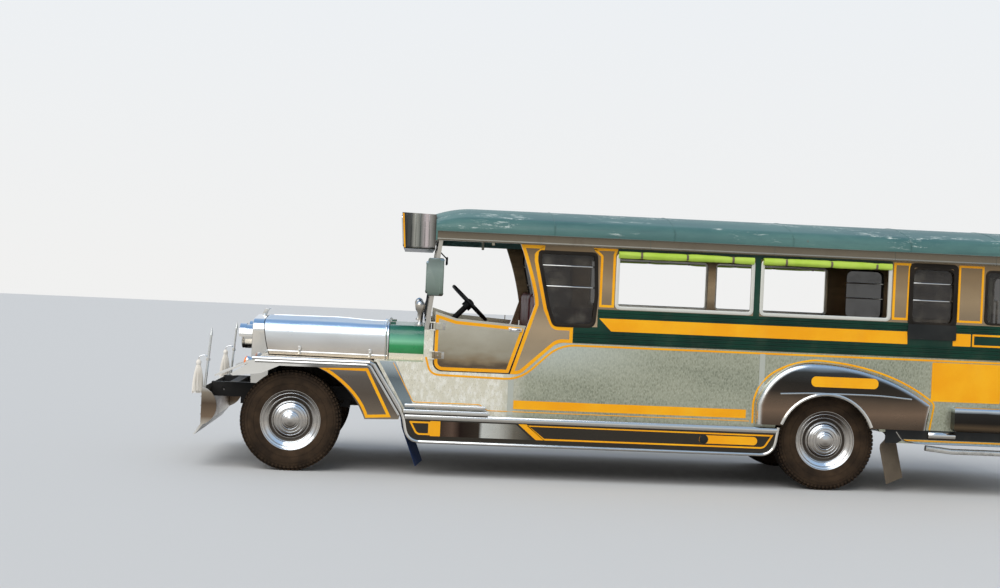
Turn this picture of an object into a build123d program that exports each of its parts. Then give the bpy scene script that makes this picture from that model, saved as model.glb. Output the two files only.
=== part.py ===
from build123d import *
import os
from math import atan2, cos, degrees, radians, sin, tan

# A passenger jeepney: a long open bus body on a ladder frame with a jeep nose.
# Millimetres. The nose points along -X, the driver's side is -Y, the ground is Z = 0.
# Stations along the vehicle are given from the front axle, rearwards.

# Driving sizes: overall
FRONT_OVERHANG = 730.0
WHEELBASE = 4030.0
REAR_OVERHANG = 2040.0
LENGTH = FRONT_OVERHANG + WHEELBASE + REAR_OVERHANG
STEP_REACH = 320.0            # rear step, behind the body's rear wall
BODY_HALF = 880.0             # half width over the body sides
SKIRT_HALF = BODY_HALF + 40.0        # half width over the running boards
FRONT_FENDER_HALF = BODY_HALF + 35.0
REAR_FENDER_HALF = BODY_HALF + 85.0
WALL = 35.0                   # a body wall, skin to lining
GAP = 6.0                     # running gap round the hood and doors
SEAT_GAP = 0.3                # between a soft piece and what it rests on
PIN_GAP = 0.5                 # round a hinge pin

FRONT_AXLE = -LENGTH / 2 + FRONT_OVERHANG
REAR_AXLE = FRONT_AXLE + WHEELBASE
BODY_REAR = LENGTH / 2 - STEP_REACH

# Driving sizes: wheels
TYRE_R = 375.0
TYRE_WIDTH = 190.0
RIM_SEAT_R = 215.0
RIM_FLANGE_R = 236.0
RIM_HALF = 78.0               # half width over the rim's flanges
CAP_R = 135.0
CAP_BULGE = 94.0              # cap's crown, out from the wheel's middle plane
FRONT_TRACK = 2 * (BODY_HALF - 125.0)
REAR_TRACK = 2 * (BODY_HALF - 130.0)
SPINDLE_R = 25.0
HUB_CLEAR = 0.5               # round a spindle, inside its hub
KINGPIN_HALF = FRONT_TRACK / 2 - 115.0   # kingpin axis from the centre line
KINGPIN_R = 14.0
EYE_R = 30.0
EYE_HALF = 55.0               # half height of the axle's kingpin eye

# Driving sizes: ladder frame, springs and floor
RAIL_HALF = 370.0             # rail's middle from the centre line
RAIL_WIDTH = 60.0
RAIL_BOTTOM = 500.0
RAIL_HEIGHT = 110.0
RAIL_TOP = RAIL_BOTTOM + RAIL_HEIGHT
CROSS_WIDTH = 70.0
FLOOR_THICK = 20.0
FLOOR_TOP = RAIL_TOP + FLOOR_THICK
SPRING_HALF_SPAN = 420.0
SPRING_THICK = 30.0
SPRING_EYE_DROP = 6.0         # spring's end under the rail
AXLE_TUBE_R = 45.0
SPRING_SEAT = TYRE_R + AXLE_TUBE_R + 6.0

# Driving sizes: heights of the body's lines
SKIRT_BOTTOM = 258.0
SKIRT_TOP = 465.0
TAIL_BOTTOM = 385.0           # side panel's lower edge behind the rear wheel
BELT_BOTTOM = 1035.0
SILL = 1310.0
ROOF_CROWN = 2030.0
CROWN_RISE = 105.0            # crown over the shoulders' corner
ROOF_HEIGHT = 270.0           # crown over the gutter's lower edge
WINDOW_HEAD = 45.0            # gutter's lower edge over the windows
ROOF_SHOULDER = ROOF_CROWN - CROWN_RISE
GUTTER_BOTTOM = ROOF_CROWN - ROOF_HEIGHT
WINDOW_TOP = GUTTER_BOTTOM - WINDOW_HEAD
ROOF_FLAT_HALF = BODY_HALF - 400.0   # half width of the roof's nearly flat middle
ROOF_HALF = BODY_HALF + 35.0
ROOF_THICK = 28.0
ROOF_REAR_LIP = 45.0          # roof past the rear wall
DOOR_BOTTOM = 785.0

# Driving sizes: nose, from the front axle
BUMPER_FRONT = -660.0
BUMPER_BACK = -545.0
BUMPER_BOTTOM = 315.0
BUMPER_TOP = 600.0
BUMPER_HALF = BODY_HALF - 30.0
BUMPER_PLATE = 14.0
GRILLE_FRONT = -350.0
HOOD_FRONT = -262.0
HOOD_REAR = 700.0
HOOD_BOTTOM = 842.0
HOOD_CROWN = 1120.0
HOOD_THICK = 12.0
HOOD_FRONT_HALF = 440.0
HOOD_REAR_HALF = 560.0
FENDER_TOP = 835.0
FENDER_PLATE = 14.0
WINDSCREEN_FOOT = 965.0       # front face of the windscreen frame at its foot
WINDSCREEN_RAKE = 80.0        # how far its head lies behind its foot
SCUTTLE_TOP = 1090.0
ROOF_FRONT = 1020.0

# Driving sizes: cab
DOOR_FRONT = 1041.0
DOOR_TOP_FRONT = 1230.0
DOOR_TOP_REAR = 1150.0
DOOR_CORNER = 70.0            # round front lower corner
DOOR_DIP = (1196.0, 1184.0)   # where the door's top edge turns level
PILLAR_FOOT = 1612.0          # B pillar's front edge at the door's bottom
PILLAR_SILL = 1779.0          # the same edge at the sill
PILLAR_HEAD = 1654.0          # and at the gutter
DOOR_HINGE_R = 10.0
DOOR_PIN_R = 4.0
DOOR_HINGES = (905.0, 1120.0)
DOOR_HINGE_LENGTH = 46.0
STEER_FROM_SIDE = 500.0       # wheel's middle in from the body's side
STEER_WHEEL_AT = (1310.0, STEER_FROM_SIDE - BODY_HALF, 1296.0)
STEER_WHEEL_R = 190.0
STEER_WHEEL_GRIP = 14.0
STEER_COLUMN_DEG = 46.0       # column's slope over the floor

CUT_PAST = 50.0               # how far a cutting shape runs past what it cuts
BEND = 1 - cos(radians(45))   # a round corner's middle, as a share of its radius
PARTS = []


def station(distance):
    """X of a place that lies this far behind the front axle."""
    return FRONT_AXLE + distance


def side(half):
    """Vertical plane on the driver's side: local x along the vehicle, local y up."""
    return Plane.XZ.offset(half)


def save(name, part):
    """Label a finished piece and keep it for writing."""
    part.label = name
    PARTS.append((name, part))


# Ladder frame
CROSS_STATIONS = (-480.0, 1120.0, 2150.0, 3200.0, 4700.0)
FRAME_FRONT = station(BUMPER_FRONT + BUMPER_PLATE)
FRAME_REAR = BODY_REAR - WALL
TOW_EYE_R = 12.0
TOW_EYE_BACK = 90.0           # tow eye's middle behind the rail's front end
TOW_PIN_R = 16.0

with BuildPart() as chassis_frame:
    rail_length = FRAME_REAR - FRAME_FRONT
    rail_mid = (FRAME_REAR + FRAME_FRONT) / 2
    with Locations(
        (rail_mid, -RAIL_HALF, RAIL_BOTTOM + RAIL_HEIGHT / 2),
        (rail_mid, RAIL_HALF, RAIL_BOTTOM + RAIL_HEIGHT / 2),
    ):
        Box(rail_length, RAIL_WIDTH, RAIL_HEIGHT)
    cross_places = [station(x) for x in CROSS_STATIONS] + [FRAME_REAR - CROSS_WIDTH / 2]
    with Locations(*[(x, 0, RAIL_BOTTOM + RAIL_HEIGHT / 2) for x in cross_places]):
        Box(CROSS_WIDTH, 2 * RAIL_HALF, RAIL_HEIGHT)
    with BuildSketch(side(RAIL_HALF + RAIL_WIDTH)):
        with Locations((FRAME_FRONT + TOW_EYE_BACK, RAIL_BOTTOM + RAIL_HEIGHT / 2)):
            Circle(TOW_EYE_R)
    extrude(amount=-2 * (RAIL_HALF + RAIL_WIDTH), mode=Mode.SUBTRACT)
    with BuildSketch(Plane.XY.offset(RAIL_BOTTOM)):
        with Locations((FRAME_REAR - CROSS_WIDTH / 2, 0)):
            Circle(TOW_PIN_R)
    extrude(amount=RAIL_HEIGHT, mode=Mode.SUBTRACT)
save("chassis_frame", chassis_frame.part)

# Engine: one plain block with its gearbox, held between the rails by two feet
ENGINE_FRONT, ENGINE_REAR = -120.0, 560.0
ENGINE_HALF = 250.0
ENGINE_BOTTOM, ENGINE_TOP = 455.0, 1010.0
GEARBOX_REAR = 1010.0
GEARBOX_HALF = 120.0
GEARBOX_BOTTOM = 410.0
GEARBOX_TOP = 600.0

with BuildPart() as engine:
    with Locations((
        station((ENGINE_FRONT + ENGINE_REAR) / 2), 0, (ENGINE_BOTTOM + ENGINE_TOP) / 2,
    )):
        Box(ENGINE_REAR - ENGINE_FRONT, 2 * ENGINE_HALF, ENGINE_TOP - ENGINE_BOTTOM)
    with Locations((
        station((ENGINE_REAR + GEARBOX_REAR) / 2), 0, (GEARBOX_BOTTOM + GEARBOX_TOP) / 2,
    )):
        Box(GEARBOX_REAR - ENGINE_REAR, 2 * GEARBOX_HALF, GEARBOX_TOP - GEARBOX_BOTTOM)
    with Locations((
        station((ENGINE_FRONT + ENGINE_REAR) / 2), 0, RAIL_BOTTOM + RAIL_HEIGHT / 2,
    )):
        Box(CROSS_WIDTH, 2 * RAIL_HALF - RAIL_WIDTH, RAIL_HEIGHT / 2)
save("engine_block", engine.part)

# Springs: arched packs under the rails, with an eye block at each end
SPRING_EYE = 50.0

with BuildPart() as leaf_springs:
    for axle_x in (FRONT_AXLE, REAR_AXLE):
        with BuildSketch(side(RAIL_HALF)) as leaf:
            with BuildLine():
                top = ThreePointArc(
                    (axle_x - SPRING_HALF_SPAN, RAIL_BOTTOM - SPRING_EYE_DROP),
                    (axle_x, SPRING_SEAT + SPRING_THICK),
                    (axle_x + SPRING_HALF_SPAN, RAIL_BOTTOM - SPRING_EYE_DROP),
                )
                low = ThreePointArc(
                    (axle_x - SPRING_HALF_SPAN, RAIL_BOTTOM - SPRING_EYE_DROP - SPRING_THICK),
                    (axle_x, SPRING_SEAT),
                    (axle_x + SPRING_HALF_SPAN, RAIL_BOTTOM - SPRING_EYE_DROP - SPRING_THICK),
                )
                Line(top @ 0, low @ 0)
                Line(top @ 1, low @ 1)
            make_face()
            with Locations(
                (axle_x - SPRING_HALF_SPAN + SPRING_EYE / 2, RAIL_BOTTOM - SPRING_EYE / 2),
                (axle_x + SPRING_HALF_SPAN - SPRING_EYE / 2, RAIL_BOTTOM - SPRING_EYE / 2),
            ):
                Rectangle(SPRING_EYE, SPRING_EYE)
        extrude(amount=RAIL_WIDTH / 2, both=True)
    mirror(about=Plane.XZ)
save("leaf_springs", leaf_springs.part)

# Front axle: a dropped beam under the springs with a kingpin eye at each end
BEAM_HEIGHT = 70.0
BEAM_WIDTH = 60.0
EYE_Z = TYRE_R

with BuildPart() as front_axle:
    with Locations((FRONT_AXLE, 0, SPRING_SEAT - BEAM_HEIGHT / 2)):
        Box(BEAM_WIDTH, 2 * KINGPIN_HALF, BEAM_HEIGHT)
    with Locations((FRONT_AXLE, -KINGPIN_HALF, EYE_Z), (FRONT_AXLE, KINGPIN_HALF, EYE_Z)):
        Cylinder(EYE_R, 2 * EYE_HALF)
        Cylinder(KINGPIN_R + PIN_GAP, 2 * EYE_HALF, mode=Mode.SUBTRACT)
save("front_axle", front_axle.part)

# Rear axle: tube, differential housing, brake drums and the spindles
DIFF_R = 140.0
DIFF_HALF = 84.0
DRUM_R = 150.0
DRUM_WIDTH = 80.0
DRUM_IN = 70.0                # drum's outer face in from the wheel's middle plane
SPINDLE_REACH = 50.0          # spindle's end past the wheel's middle plane
drum_outer = REAR_TRACK / 2 - DRUM_IN
drum_inner = drum_outer - DRUM_WIDTH
axle_line = Plane(origin=(REAR_AXLE, 0, TYRE_R), x_dir=(1, 0, 0), z_dir=(0, -1, 0))

with BuildPart() as rear_axle:
    with BuildSketch(axle_line):
        Circle(AXLE_TUBE_R)
    extrude(amount=drum_outer, both=True)
    with BuildSketch(axle_line):
        Circle(DIFF_R)
    extrude(amount=DIFF_HALF, both=True)
    for end in (-1, 1):
        with BuildSketch(axle_line.offset(end * drum_inner)):
            Circle(DRUM_R)
        extrude(amount=end * DRUM_WIDTH)
    with BuildSketch(axle_line):
        Circle(SPINDLE_R)
    extrude(amount=REAR_TRACK / 2 + SPINDLE_REACH, both=True)
    pad_height = SPRING_SEAT - TYRE_R
    with Locations(
        (REAR_AXLE, -RAIL_HALF, TYRE_R + pad_height / 2),
        (REAR_AXLE, RAIL_HALF, TYRE_R + pad_height / 2),
    ):
        Box(2 * AXLE_TUBE_R, RAIL_WIDTH, pad_height)
save("rear_axle", rear_axle.part)

# Propeller shaft from the gearbox to the differential
SHAFT_R = 35.0
SHAFT_TILT_ROOM = 1.2         # the tilted shaft's end just clears the gearbox
shaft_z = (GEARBOX_BOTTOM + RAIL_BOTTOM) / 2 - SHAFT_R / 2
shaft_from = Vector(station(GEARBOX_REAR) + SHAFT_TILT_ROOM, 0, shaft_z)
shaft_to = Vector(REAR_AXLE - DIFF_R - SEAT_GAP, 0, TYRE_R)

with BuildPart() as propeller_shaft:
    with BuildSketch(Plane(origin=shaft_from, z_dir=shaft_to - shaft_from)):
        Circle(SHAFT_R)
    extrude(amount=(shaft_to - shaft_from).length)
save("propeller_shaft", propeller_shaft.part)

# Fuel tank under the floor on the driver's side
TANK_FRONT, TANK_REAR = 1300.0, 1950.0
TANK_INNER, TANK_OUTER = 430.0, BODY_HALF - 80.0
TANK_BOTTOM = 345.0
TANK_CORNER = 40.0

with BuildPart() as fuel_tank:
    with Locations((
        station((TANK_FRONT + TANK_REAR) / 2),
        -(TANK_INNER + TANK_OUTER) / 2,
        (TANK_BOTTOM + RAIL_TOP) / 2,
    )):
        Box(TANK_REAR - TANK_FRONT, TANK_OUTER - TANK_INNER, RAIL_TOP - TANK_BOTTOM)
    fillet(fuel_tank.edges().filter_by(Axis.X), radius=TANK_CORNER)
save("fuel_tank", fuel_tank.part)

# Exhaust: pipe, muffler and side outlet, hung from the floor by two straps
PIPE_R = 24.0
MUFFLER_R = 85.0
MUFFLER_FRONT, MUFFLER_REAR = 1850.0, 2450.0
PIPE_Y = 560.0
PIPE_Z = 465.0
PIPE_BEND = 120.0
PIPE_STRAIGHT, PIPE_CROSSING = 910.0, 1360.0
PIPE_TURN_OUT = 2820.0
PIPE_OUTLET = 3120.0
PIPE_OUTLET_DROP = 80.0
STRAP = 30.0

with BuildPart() as exhaust:
    with BuildLine() as pipe_path:
        FilletPolyline(
            (station(ENGINE_REAR), ENGINE_HALF - PIPE_R * 2, PIPE_Z),
            (station(PIPE_STRAIGHT), ENGINE_HALF - PIPE_R * 2, PIPE_Z),
            (station(PIPE_CROSSING), PIPE_Y, PIPE_Z),
            (station(PIPE_TURN_OUT), PIPE_Y, PIPE_Z),
            (station(PIPE_OUTLET), BODY_HALF - WALL, PIPE_Z - PIPE_OUTLET_DROP),
            radius=PIPE_BEND,
        )
    with BuildSketch(Plane(origin=pipe_path.line @ 0, z_dir=pipe_path.line % 0)):
        Circle(PIPE_R)
    sweep()
    with BuildSketch(Plane.YZ.offset(station(MUFFLER_FRONT))):
        with Locations((PIPE_Y, PIPE_Z)):
            Circle(MUFFLER_R)
    extrude(amount=MUFFLER_REAR - MUFFLER_FRONT)
    with Locations(
        (station(MUFFLER_FRONT) + STRAP, PIPE_Y, (PIPE_Z + RAIL_TOP) / 2),
        (station(MUFFLER_REAR) - STRAP, PIPE_Y, (PIPE_Z + RAIL_TOP) / 2),
    ):
        Box(STRAP, STRAP, RAIL_TOP - PIPE_Z)
save("exhaust", exhaust.part)

# Floor: one plate on the rails, notched for the rear wheels
WHEEL_ROOM = 35.0             # room round a rear tyre
FLOOR_FRONT = HOOD_REAR
FLOOR_NOTCH = 120.0           # front corners cut away beside the cowl
REAR_TYRE_INNER = REAR_TRACK / 2 - TYRE_WIDTH / 2

with BuildPart() as floor:
    with BuildSketch(Plane.XY.offset(RAIL_TOP)):
        with Locations(((station(FLOOR_FRONT) + BODY_REAR - WALL) / 2, 0)):
            Rectangle(BODY_REAR - WALL - station(FLOOR_FRONT), 2 * (BODY_HALF - WALL))
        for hand in (-1, 1):
            with Locations((station(FLOOR_FRONT), hand * (BODY_HALF - WALL))):
                Rectangle(
                    2 * FLOOR_NOTCH, 2 * (BODY_HALF - WALL - HOOD_REAR_HALF), mode=Mode.SUBTRACT
                )
            with Locations((REAR_AXLE, hand * (REAR_TYRE_INNER - WHEEL_ROOM + BODY_HALF) / 2)):
                Rectangle(
                    2 * (TYRE_R + WHEEL_ROOM),
                    BODY_HALF - REAR_TYRE_INNER + WHEEL_ROOM,
                    mode=Mode.SUBTRACT,
                )
    extrude(amount=FLOOR_THICK)
save("floor", floor.part)


NOSE_SHOULDER = 95.0
NOSE_CROWN_RISE = 18.0        # middle of the hood over its shoulders
NOSE_CROWN_ROUND = 900.0
GRILLE_CROWN = HOOD_CROWN - 5.0


def nose_section(half, bottom, crown, inset=0.0):
    """Cross-section of the nose: upright sides and a top with round shoulders."""
    shoulder = NOSE_SHOULDER - inset
    edge = half - inset
    top = crown - inset
    eaves = top - NOSE_CROWN_RISE
    with BuildLine() as outline:
        FilletPolyline(
            (-edge, bottom), (-edge, eaves), (0, top), (edge, eaves), (edge, bottom),
            radius=[shoulder, NOSE_CROWN_ROUND, shoulder],
        )
        Line((edge, bottom), (-edge, bottom))
    make_face(outline.edges())


# Hood: one lifting shell with its sides, hinged on the scuttle
HINGE_R = 11.0
HINGE_PIN_R = 5.0
HINGE_Z = HOOD_CROWN + HINGE_R
HINGE_X = station(HOOD_REAR)
HOOD_HINGES = (-300.0, 300.0)
HINGE_LENGTH = 60.0
STRAP_LENGTH = 40.0
STRAP_DEPTH = 25.0
HINGE_STRAP_DROP = 4.0        # strap's top under the pin's middle
HOOD_SWING = HOOD_REAR - HOOD_FRONT - GAP / 2   # front edge's arc about the hinge pin

with BuildPart() as hood:
    hood_front = HINGE_X - HOOD_SWING
    hood_rear = station(HOOD_REAR) - GAP / 2
    with BuildSketch(Plane.YZ.offset(hood_front)):
        nose_section(HOOD_FRONT_HALF, HOOD_BOTTOM, GRILLE_CROWN)
    with BuildSketch(Plane.YZ.offset(hood_rear)):
        nose_section(HOOD_REAR_HALF, HOOD_BOTTOM, HOOD_CROWN)
    loft()
    with BuildPart(mode=Mode.SUBTRACT):
        with BuildSketch(Plane.YZ.offset(hood_front - 1)):
            nose_section(HOOD_FRONT_HALF, HOOD_BOTTOM - CUT_PAST, GRILLE_CROWN, HOOD_THICK)
        with BuildSketch(Plane.YZ.offset(hood_rear + 1)):
            nose_section(HOOD_REAR_HALF, HOOD_BOTTOM - CUT_PAST, HOOD_CROWN, HOOD_THICK)
        loft()
    with BuildSketch(side(HOOD_REAR_HALF + CUT_PAST)):
        with Locations((HINGE_X, HINGE_Z)):
            Circle(HOOD_SWING)
    extrude(amount=-2 * (HOOD_REAR_HALF + CUT_PAST), mode=Mode.INTERSECT)
    for y in HOOD_HINGES:
        with BuildSketch(Plane.XZ.offset(-y)):
            with Locations((HINGE_X, HINGE_Z)):
                Circle(HINGE_R)
            with Locations((HINGE_X - GAP, HINGE_Z - HINGE_STRAP_DROP)):
                Rectangle(STRAP_LENGTH, STRAP_DEPTH, align=(Align.MAX, Align.MAX))
            with Locations((HINGE_X, HINGE_Z)):
                Circle(HINGE_PIN_R + PIN_GAP, mode=Mode.SUBTRACT)
        extrude(amount=HINGE_LENGTH / 2, both=True)
save("hood", hood.part)

# Steering wheel's place and the column's slope
wheel_at = Vector(station(STEER_WHEEL_AT[0]), STEER_WHEEL_AT[1], STEER_WHEEL_AT[2])
column_dir = Vector(cos(radians(STEER_COLUMN_DEG)), 0, sin(radians(STEER_COLUMN_DEG)))
wheel_plane = Plane(origin=wheel_at, x_dir=(0, 1, 0), z_dir=column_dir)
COLUMN_R = 22.0

# Scuttle: fire wall, hollow box behind the hood, shoulders and the dash bulkhead
SCUTTLE_WALL = 14.0
SHOULDER_Z = FENDER_TOP + SCUTTLE_WALL
SHOULDER_FRONT = 600.0
DASH_THICK = 30.0

with BuildPart() as scuttle:
    with BuildSketch(Plane.YZ.offset(station(HOOD_REAR) + GAP / 2)):
        nose_section(HOOD_REAR_HALF, FLOOR_TOP, HOOD_CROWN)
    extrude(amount=WINDSCREEN_FOOT - HOOD_REAR - GAP / 2)
    with BuildSketch(Plane.YZ.offset(station(HOOD_REAR) + GAP / 2 + SCUTTLE_WALL)):
        nose_section(HOOD_REAR_HALF, FLOOR_TOP - CUT_PAST, HOOD_CROWN, SCUTTLE_WALL)
    extrude(amount=WINDSCREEN_FOOT - HOOD_REAR + DASH_THICK, mode=Mode.SUBTRACT)
    for hand in (-1, 1):
        y_mid = hand * (HOOD_REAR_HALF + BODY_HALF - WALL) / 2
        y_wide = BODY_HALF - WALL - HOOD_REAR_HALF
        with Locations((
            station((SHOULDER_FRONT + WINDSCREEN_FOOT) / 2), y_mid, SHOULDER_Z - SCUTTLE_WALL / 2,
        )):
            Box(WINDSCREEN_FOOT - SHOULDER_FRONT, y_wide, SCUTTLE_WALL)
    with Locations((
        station(WINDSCREEN_FOOT + DASH_THICK / 2), 0, (SHOULDER_Z - SCUTTLE_WALL + SCUTTLE_TOP) / 2,
    )):
        Box(DASH_THICK, 2 * BODY_HALF - 2 * WALL, SCUTTLE_TOP - SHOULDER_Z + SCUTTLE_WALL)
    with BuildSketch(wheel_plane.offset(-HOOD_CROWN / 2)):
        Circle(COLUMN_R + GAP)
    extrude(amount=HOOD_CROWN / 2, mode=Mode.SUBTRACT)
    for y in HOOD_HINGES:
        for end in (-1, 1):
            ear_y = y + end * (HINGE_LENGTH / 2 + GAP)
            with BuildSketch(Plane.XZ.offset(-ear_y)):
                with Locations((HINGE_X, HINGE_Z)):
                    Circle(HINGE_R)
                with Locations((HINGE_X + GAP, HINGE_Z - HINGE_STRAP_DROP)):
                    Rectangle(STRAP_LENGTH, STRAP_DEPTH, align=(Align.MIN, Align.MAX))
            extrude(amount=GAP / 2, both=True)
        with BuildSketch(Plane.XZ.offset(-y)):
            with Locations((HINGE_X, HINGE_Z)):
                Circle(HINGE_PIN_R)
        extrude(amount=HINGE_LENGTH / 2 + GAP, both=True)
save("scuttle", scuttle.part)

# Grille shell with upright slats, down to the frame
GRILLE_BOTTOM = 640.0
GRILLE_WALL = 16.0
GRILLE_EDGE = 10.0
GRILLE_OPEN_HALF = 250.0
GRILLE_OPEN_TOP = 1060.0
GRILLE_OPEN_BOTTOM = 690.0
SLAT_PITCH = 50.0
SLAT_WIDTH = 16.0
SLATS = 9
GRILLE_CHEEK = 48.0           # how far the shell's sides reach back under the hood's arc

with BuildPart() as grille_shell:
    shell_depth = HOOD_FRONT - GRILLE_FRONT - GAP / 2
    with BuildSketch(Plane.YZ.offset(station(GRILLE_FRONT))):
        nose_section(HOOD_FRONT_HALF, GRILLE_BOTTOM, GRILLE_CROWN)
    extrude(amount=shell_depth + GRILLE_CHEEK)
    fillet(grille_shell.faces().sort_by(Axis.X)[0].edges(), radius=GRILLE_EDGE)
    with BuildSketch(Plane.YZ.offset(station(GRILLE_FRONT) + GRILLE_WALL)):
        nose_section(HOOD_FRONT_HALF, GRILLE_BOTTOM - CUT_PAST, GRILLE_CROWN, GRILLE_WALL)
    extrude(amount=shell_depth + GRILLE_CHEEK, mode=Mode.SUBTRACT)
    with BuildSketch(side(HOOD_FRONT_HALF + CUT_PAST)):
        with Locations((HINGE_X, HINGE_Z)):
            Circle(HOOD_SWING + GAP)
    extrude(amount=-2 * (HOOD_FRONT_HALF + CUT_PAST), mode=Mode.SUBTRACT)
    with BuildSketch(Plane.YZ.offset(station(GRILLE_FRONT) - 1)):
        with Locations((0, (GRILLE_OPEN_TOP + GRILLE_OPEN_BOTTOM) / 2)):
            Rectangle(2 * GRILLE_OPEN_HALF, GRILLE_OPEN_TOP - GRILLE_OPEN_BOTTOM)
            with GridLocations(SLAT_PITCH, 0, SLATS, 1):
                Rectangle(
                    SLAT_WIDTH, GRILLE_OPEN_TOP - GRILLE_OPEN_BOTTOM + 2, mode=Mode.SUBTRACT
                )
    extrude(amount=GRILLE_WALL + 2, mode=Mode.SUBTRACT)
    with Locations((station(GRILLE_FRONT) + shell_depth / 2, 0, (RAIL_TOP + GRILLE_BOTTOM) / 2)):
        Box(shell_depth, 2 * RAIL_HALF + RAIL_WIDTH, GRILLE_BOTTOM - RAIL_TOP)
save("grille_shell", grille_shell.part)

# Radiator core behind the grille, standing on the frame
RADIATOR_THICK = 60.0
RADIATOR_HALF = 300.0
RADIATOR_TOP = 1070.0
RADIATOR_BACK = 40.0          # radiator behind the hood's front edge
RADIATOR_X = HOOD_FRONT + RADIATOR_BACK

with BuildPart() as radiator:
    with Locations((
        station(RADIATOR_X + RADIATOR_THICK / 2), 0, (RAIL_TOP + RADIATOR_TOP) / 2,
    )):
        Box(RADIATOR_THICK, 2 * RAIL_HALF, RADIATOR_TOP - RAIL_TOP)
save("radiator", radiator.part)

# Head lamps: bowls on the grille's front with a short visor
LAMP_R = 92.0
LAMP_DEPTH = 70.0
LAMP_HALF = 340.0
LAMP_Z = 965.0
LAMP_EDGE = 18.0
VISOR_REACH = 28.0            # visor in front of the lamp's face
VISOR_BACK = 22.0             # and behind it
VISOR_OUT, VISOR_IN = 8.0, 2.0

with BuildPart() as head_lamps:
    with BuildSketch(Plane.YZ.offset(station(GRILLE_FRONT))):
        with Locations((-LAMP_HALF, LAMP_Z)):
            Circle(LAMP_R)
    extrude(amount=-LAMP_DEPTH)
    fillet(head_lamps.faces().sort_by(Axis.X)[0].edges(), radius=LAMP_EDGE)
    with BuildSketch(Plane.YZ.offset(station(GRILLE_FRONT) - LAMP_DEPTH + VISOR_BACK)):
        with Locations((-LAMP_HALF, LAMP_Z)):
            Circle(LAMP_R + VISOR_OUT)
            Circle(LAMP_R - VISOR_IN, mode=Mode.SUBTRACT)
            with Locations((0, -LAMP_R)):
                Rectangle(3 * LAMP_R, 2 * LAMP_R, mode=Mode.SUBTRACT)
    extrude(amount=-VISOR_BACK - VISOR_REACH)
    mirror(about=Plane.XZ)
save("head_lamps", head_lamps.part)

# Front fenders: a flat top folded down at both ends, a side lip and a rear apron
FENDER_FOLD_FRONT = -250.0
FENDER_TIP = (-560.0, 690.0)
FENDER_FOLD_REAR = 590.0
FENDER_FOOT = (820.0, 467.0)
FENDER_BEND = 60.0
LIP_TIP = (-450.0, 706.0)
LIP_LOW = (-222.0, 721.0)
LIP_ARCH_TOP = 782.0          # upper edge of the wheel's opening
LIP_ARCH_FRONT, LIP_ARCH_REAR = -90.0, 187.0
LIP_THICK = 11.0              # lip's height at the tip
APRON_MIDDLE = (400.0, 640.0)
APRON_FOOT = (549.0, 412.0)
APRON_HEEL = (800.0, 420.0)

with BuildPart() as front_fenders:
    with BuildSketch(side(HOOD_FRONT_HALF)):
        with BuildLine():
            FilletPolyline(
                (station(FENDER_TIP[0]), FENDER_TIP[1]),
                (station(FENDER_FOLD_FRONT), FENDER_TOP - FENDER_PLATE / 2),
                (station(FENDER_FOLD_REAR), FENDER_TOP - FENDER_PLATE / 2),
                (station(FENDER_FOOT[0]), FENDER_FOOT[1]),
                radius=FENDER_BEND,
            )
        trace(line_width=FENDER_PLATE)
    extrude(amount=FRONT_FENDER_HALF - HOOD_FRONT_HALF)
    with Locations((station(SHOULDER_FRONT) - SEAT_GAP, 0, 0)):
        Box(
            LENGTH, 2 * HOOD_REAR_HALF, 2 * HOOD_CROWN,
            align=(Align.MIN, Align.CENTER, Align.CENTER), mode=Mode.SUBTRACT,
        )
    with BuildSketch(side(FRONT_FENDER_HALF)):
        with BuildLine():
            Polyline(
                (station(LIP_TIP[0]), LIP_TIP[1]),
                (station(FENDER_FOLD_FRONT) - FENDER_BEND / 3, FENDER_TOP - FENDER_PLATE),
                (station(FENDER_FOLD_REAR), FENDER_TOP - FENDER_PLATE),
                (station(FENDER_FOOT[0]) - FENDER_PLATE / 2, FENDER_FOOT[1]),
                (station(APRON_HEEL[0]), APRON_HEEL[1]),
                (station(APRON_FOOT[0]), APRON_FOOT[1]),
            )
            ThreePointArc(
                (station(APRON_FOOT[0]), APRON_FOOT[1]),
                (station(APRON_MIDDLE[0]), APRON_MIDDLE[1]),
                (station(LIP_ARCH_REAR), LIP_ARCH_TOP),
            )
            Polyline(
                (station(LIP_ARCH_REAR), LIP_ARCH_TOP),
                (station(LIP_ARCH_FRONT), LIP_ARCH_TOP),
                (station(LIP_LOW[0]), LIP_LOW[1]),
                (station(LIP_TIP[0]) + 2 * LIP_THICK, LIP_TIP[1] - LIP_THICK),
                (station(LIP_TIP[0]), LIP_TIP[1]),
            )
        make_face()
    extrude(amount=-FENDER_PLATE)
    mirror(about=Plane.XZ)
save("front_fenders", front_fenders.part)

# Running boards: an outer skirt with round lower corners and a ledge to the body
BOARD_FRONT = 832.0
BOARD_REAR = 3645.0
BOARD_CORNER = 170.0
BOARD_PLATE = 16.0
BOARD_SLOPE = 30.0            # skirt's ends lean in by this much

with BuildPart() as running_boards:
    with BuildSketch(side(SKIRT_HALF)):
        with BuildLine():
            FilletPolyline(
                (station(BOARD_FRONT), SKIRT_TOP),
                (station(BOARD_FRONT) + BOARD_SLOPE, SKIRT_BOTTOM),
                (station(BOARD_REAR) - BOARD_SLOPE, SKIRT_BOTTOM),
                (station(BOARD_REAR), SKIRT_TOP),
                radius=BOARD_CORNER,
            )
            Line((station(BOARD_REAR), SKIRT_TOP), (station(BOARD_FRONT), SKIRT_TOP))
        make_face()
    extrude(amount=-BOARD_PLATE)
    with Locations((
        station((BOARD_FRONT + BOARD_REAR) / 2),
        -(SKIRT_HALF + BODY_HALF - WALL) / 2,
        SKIRT_TOP - BOARD_PLATE / 2,
    )):
        Box(BOARD_REAR - BOARD_FRONT, SKIRT_HALF - BODY_HALF + WALL, BOARD_PLATE)
    mirror(about=Plane.XZ)
save("running_boards", running_boards.part)


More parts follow.
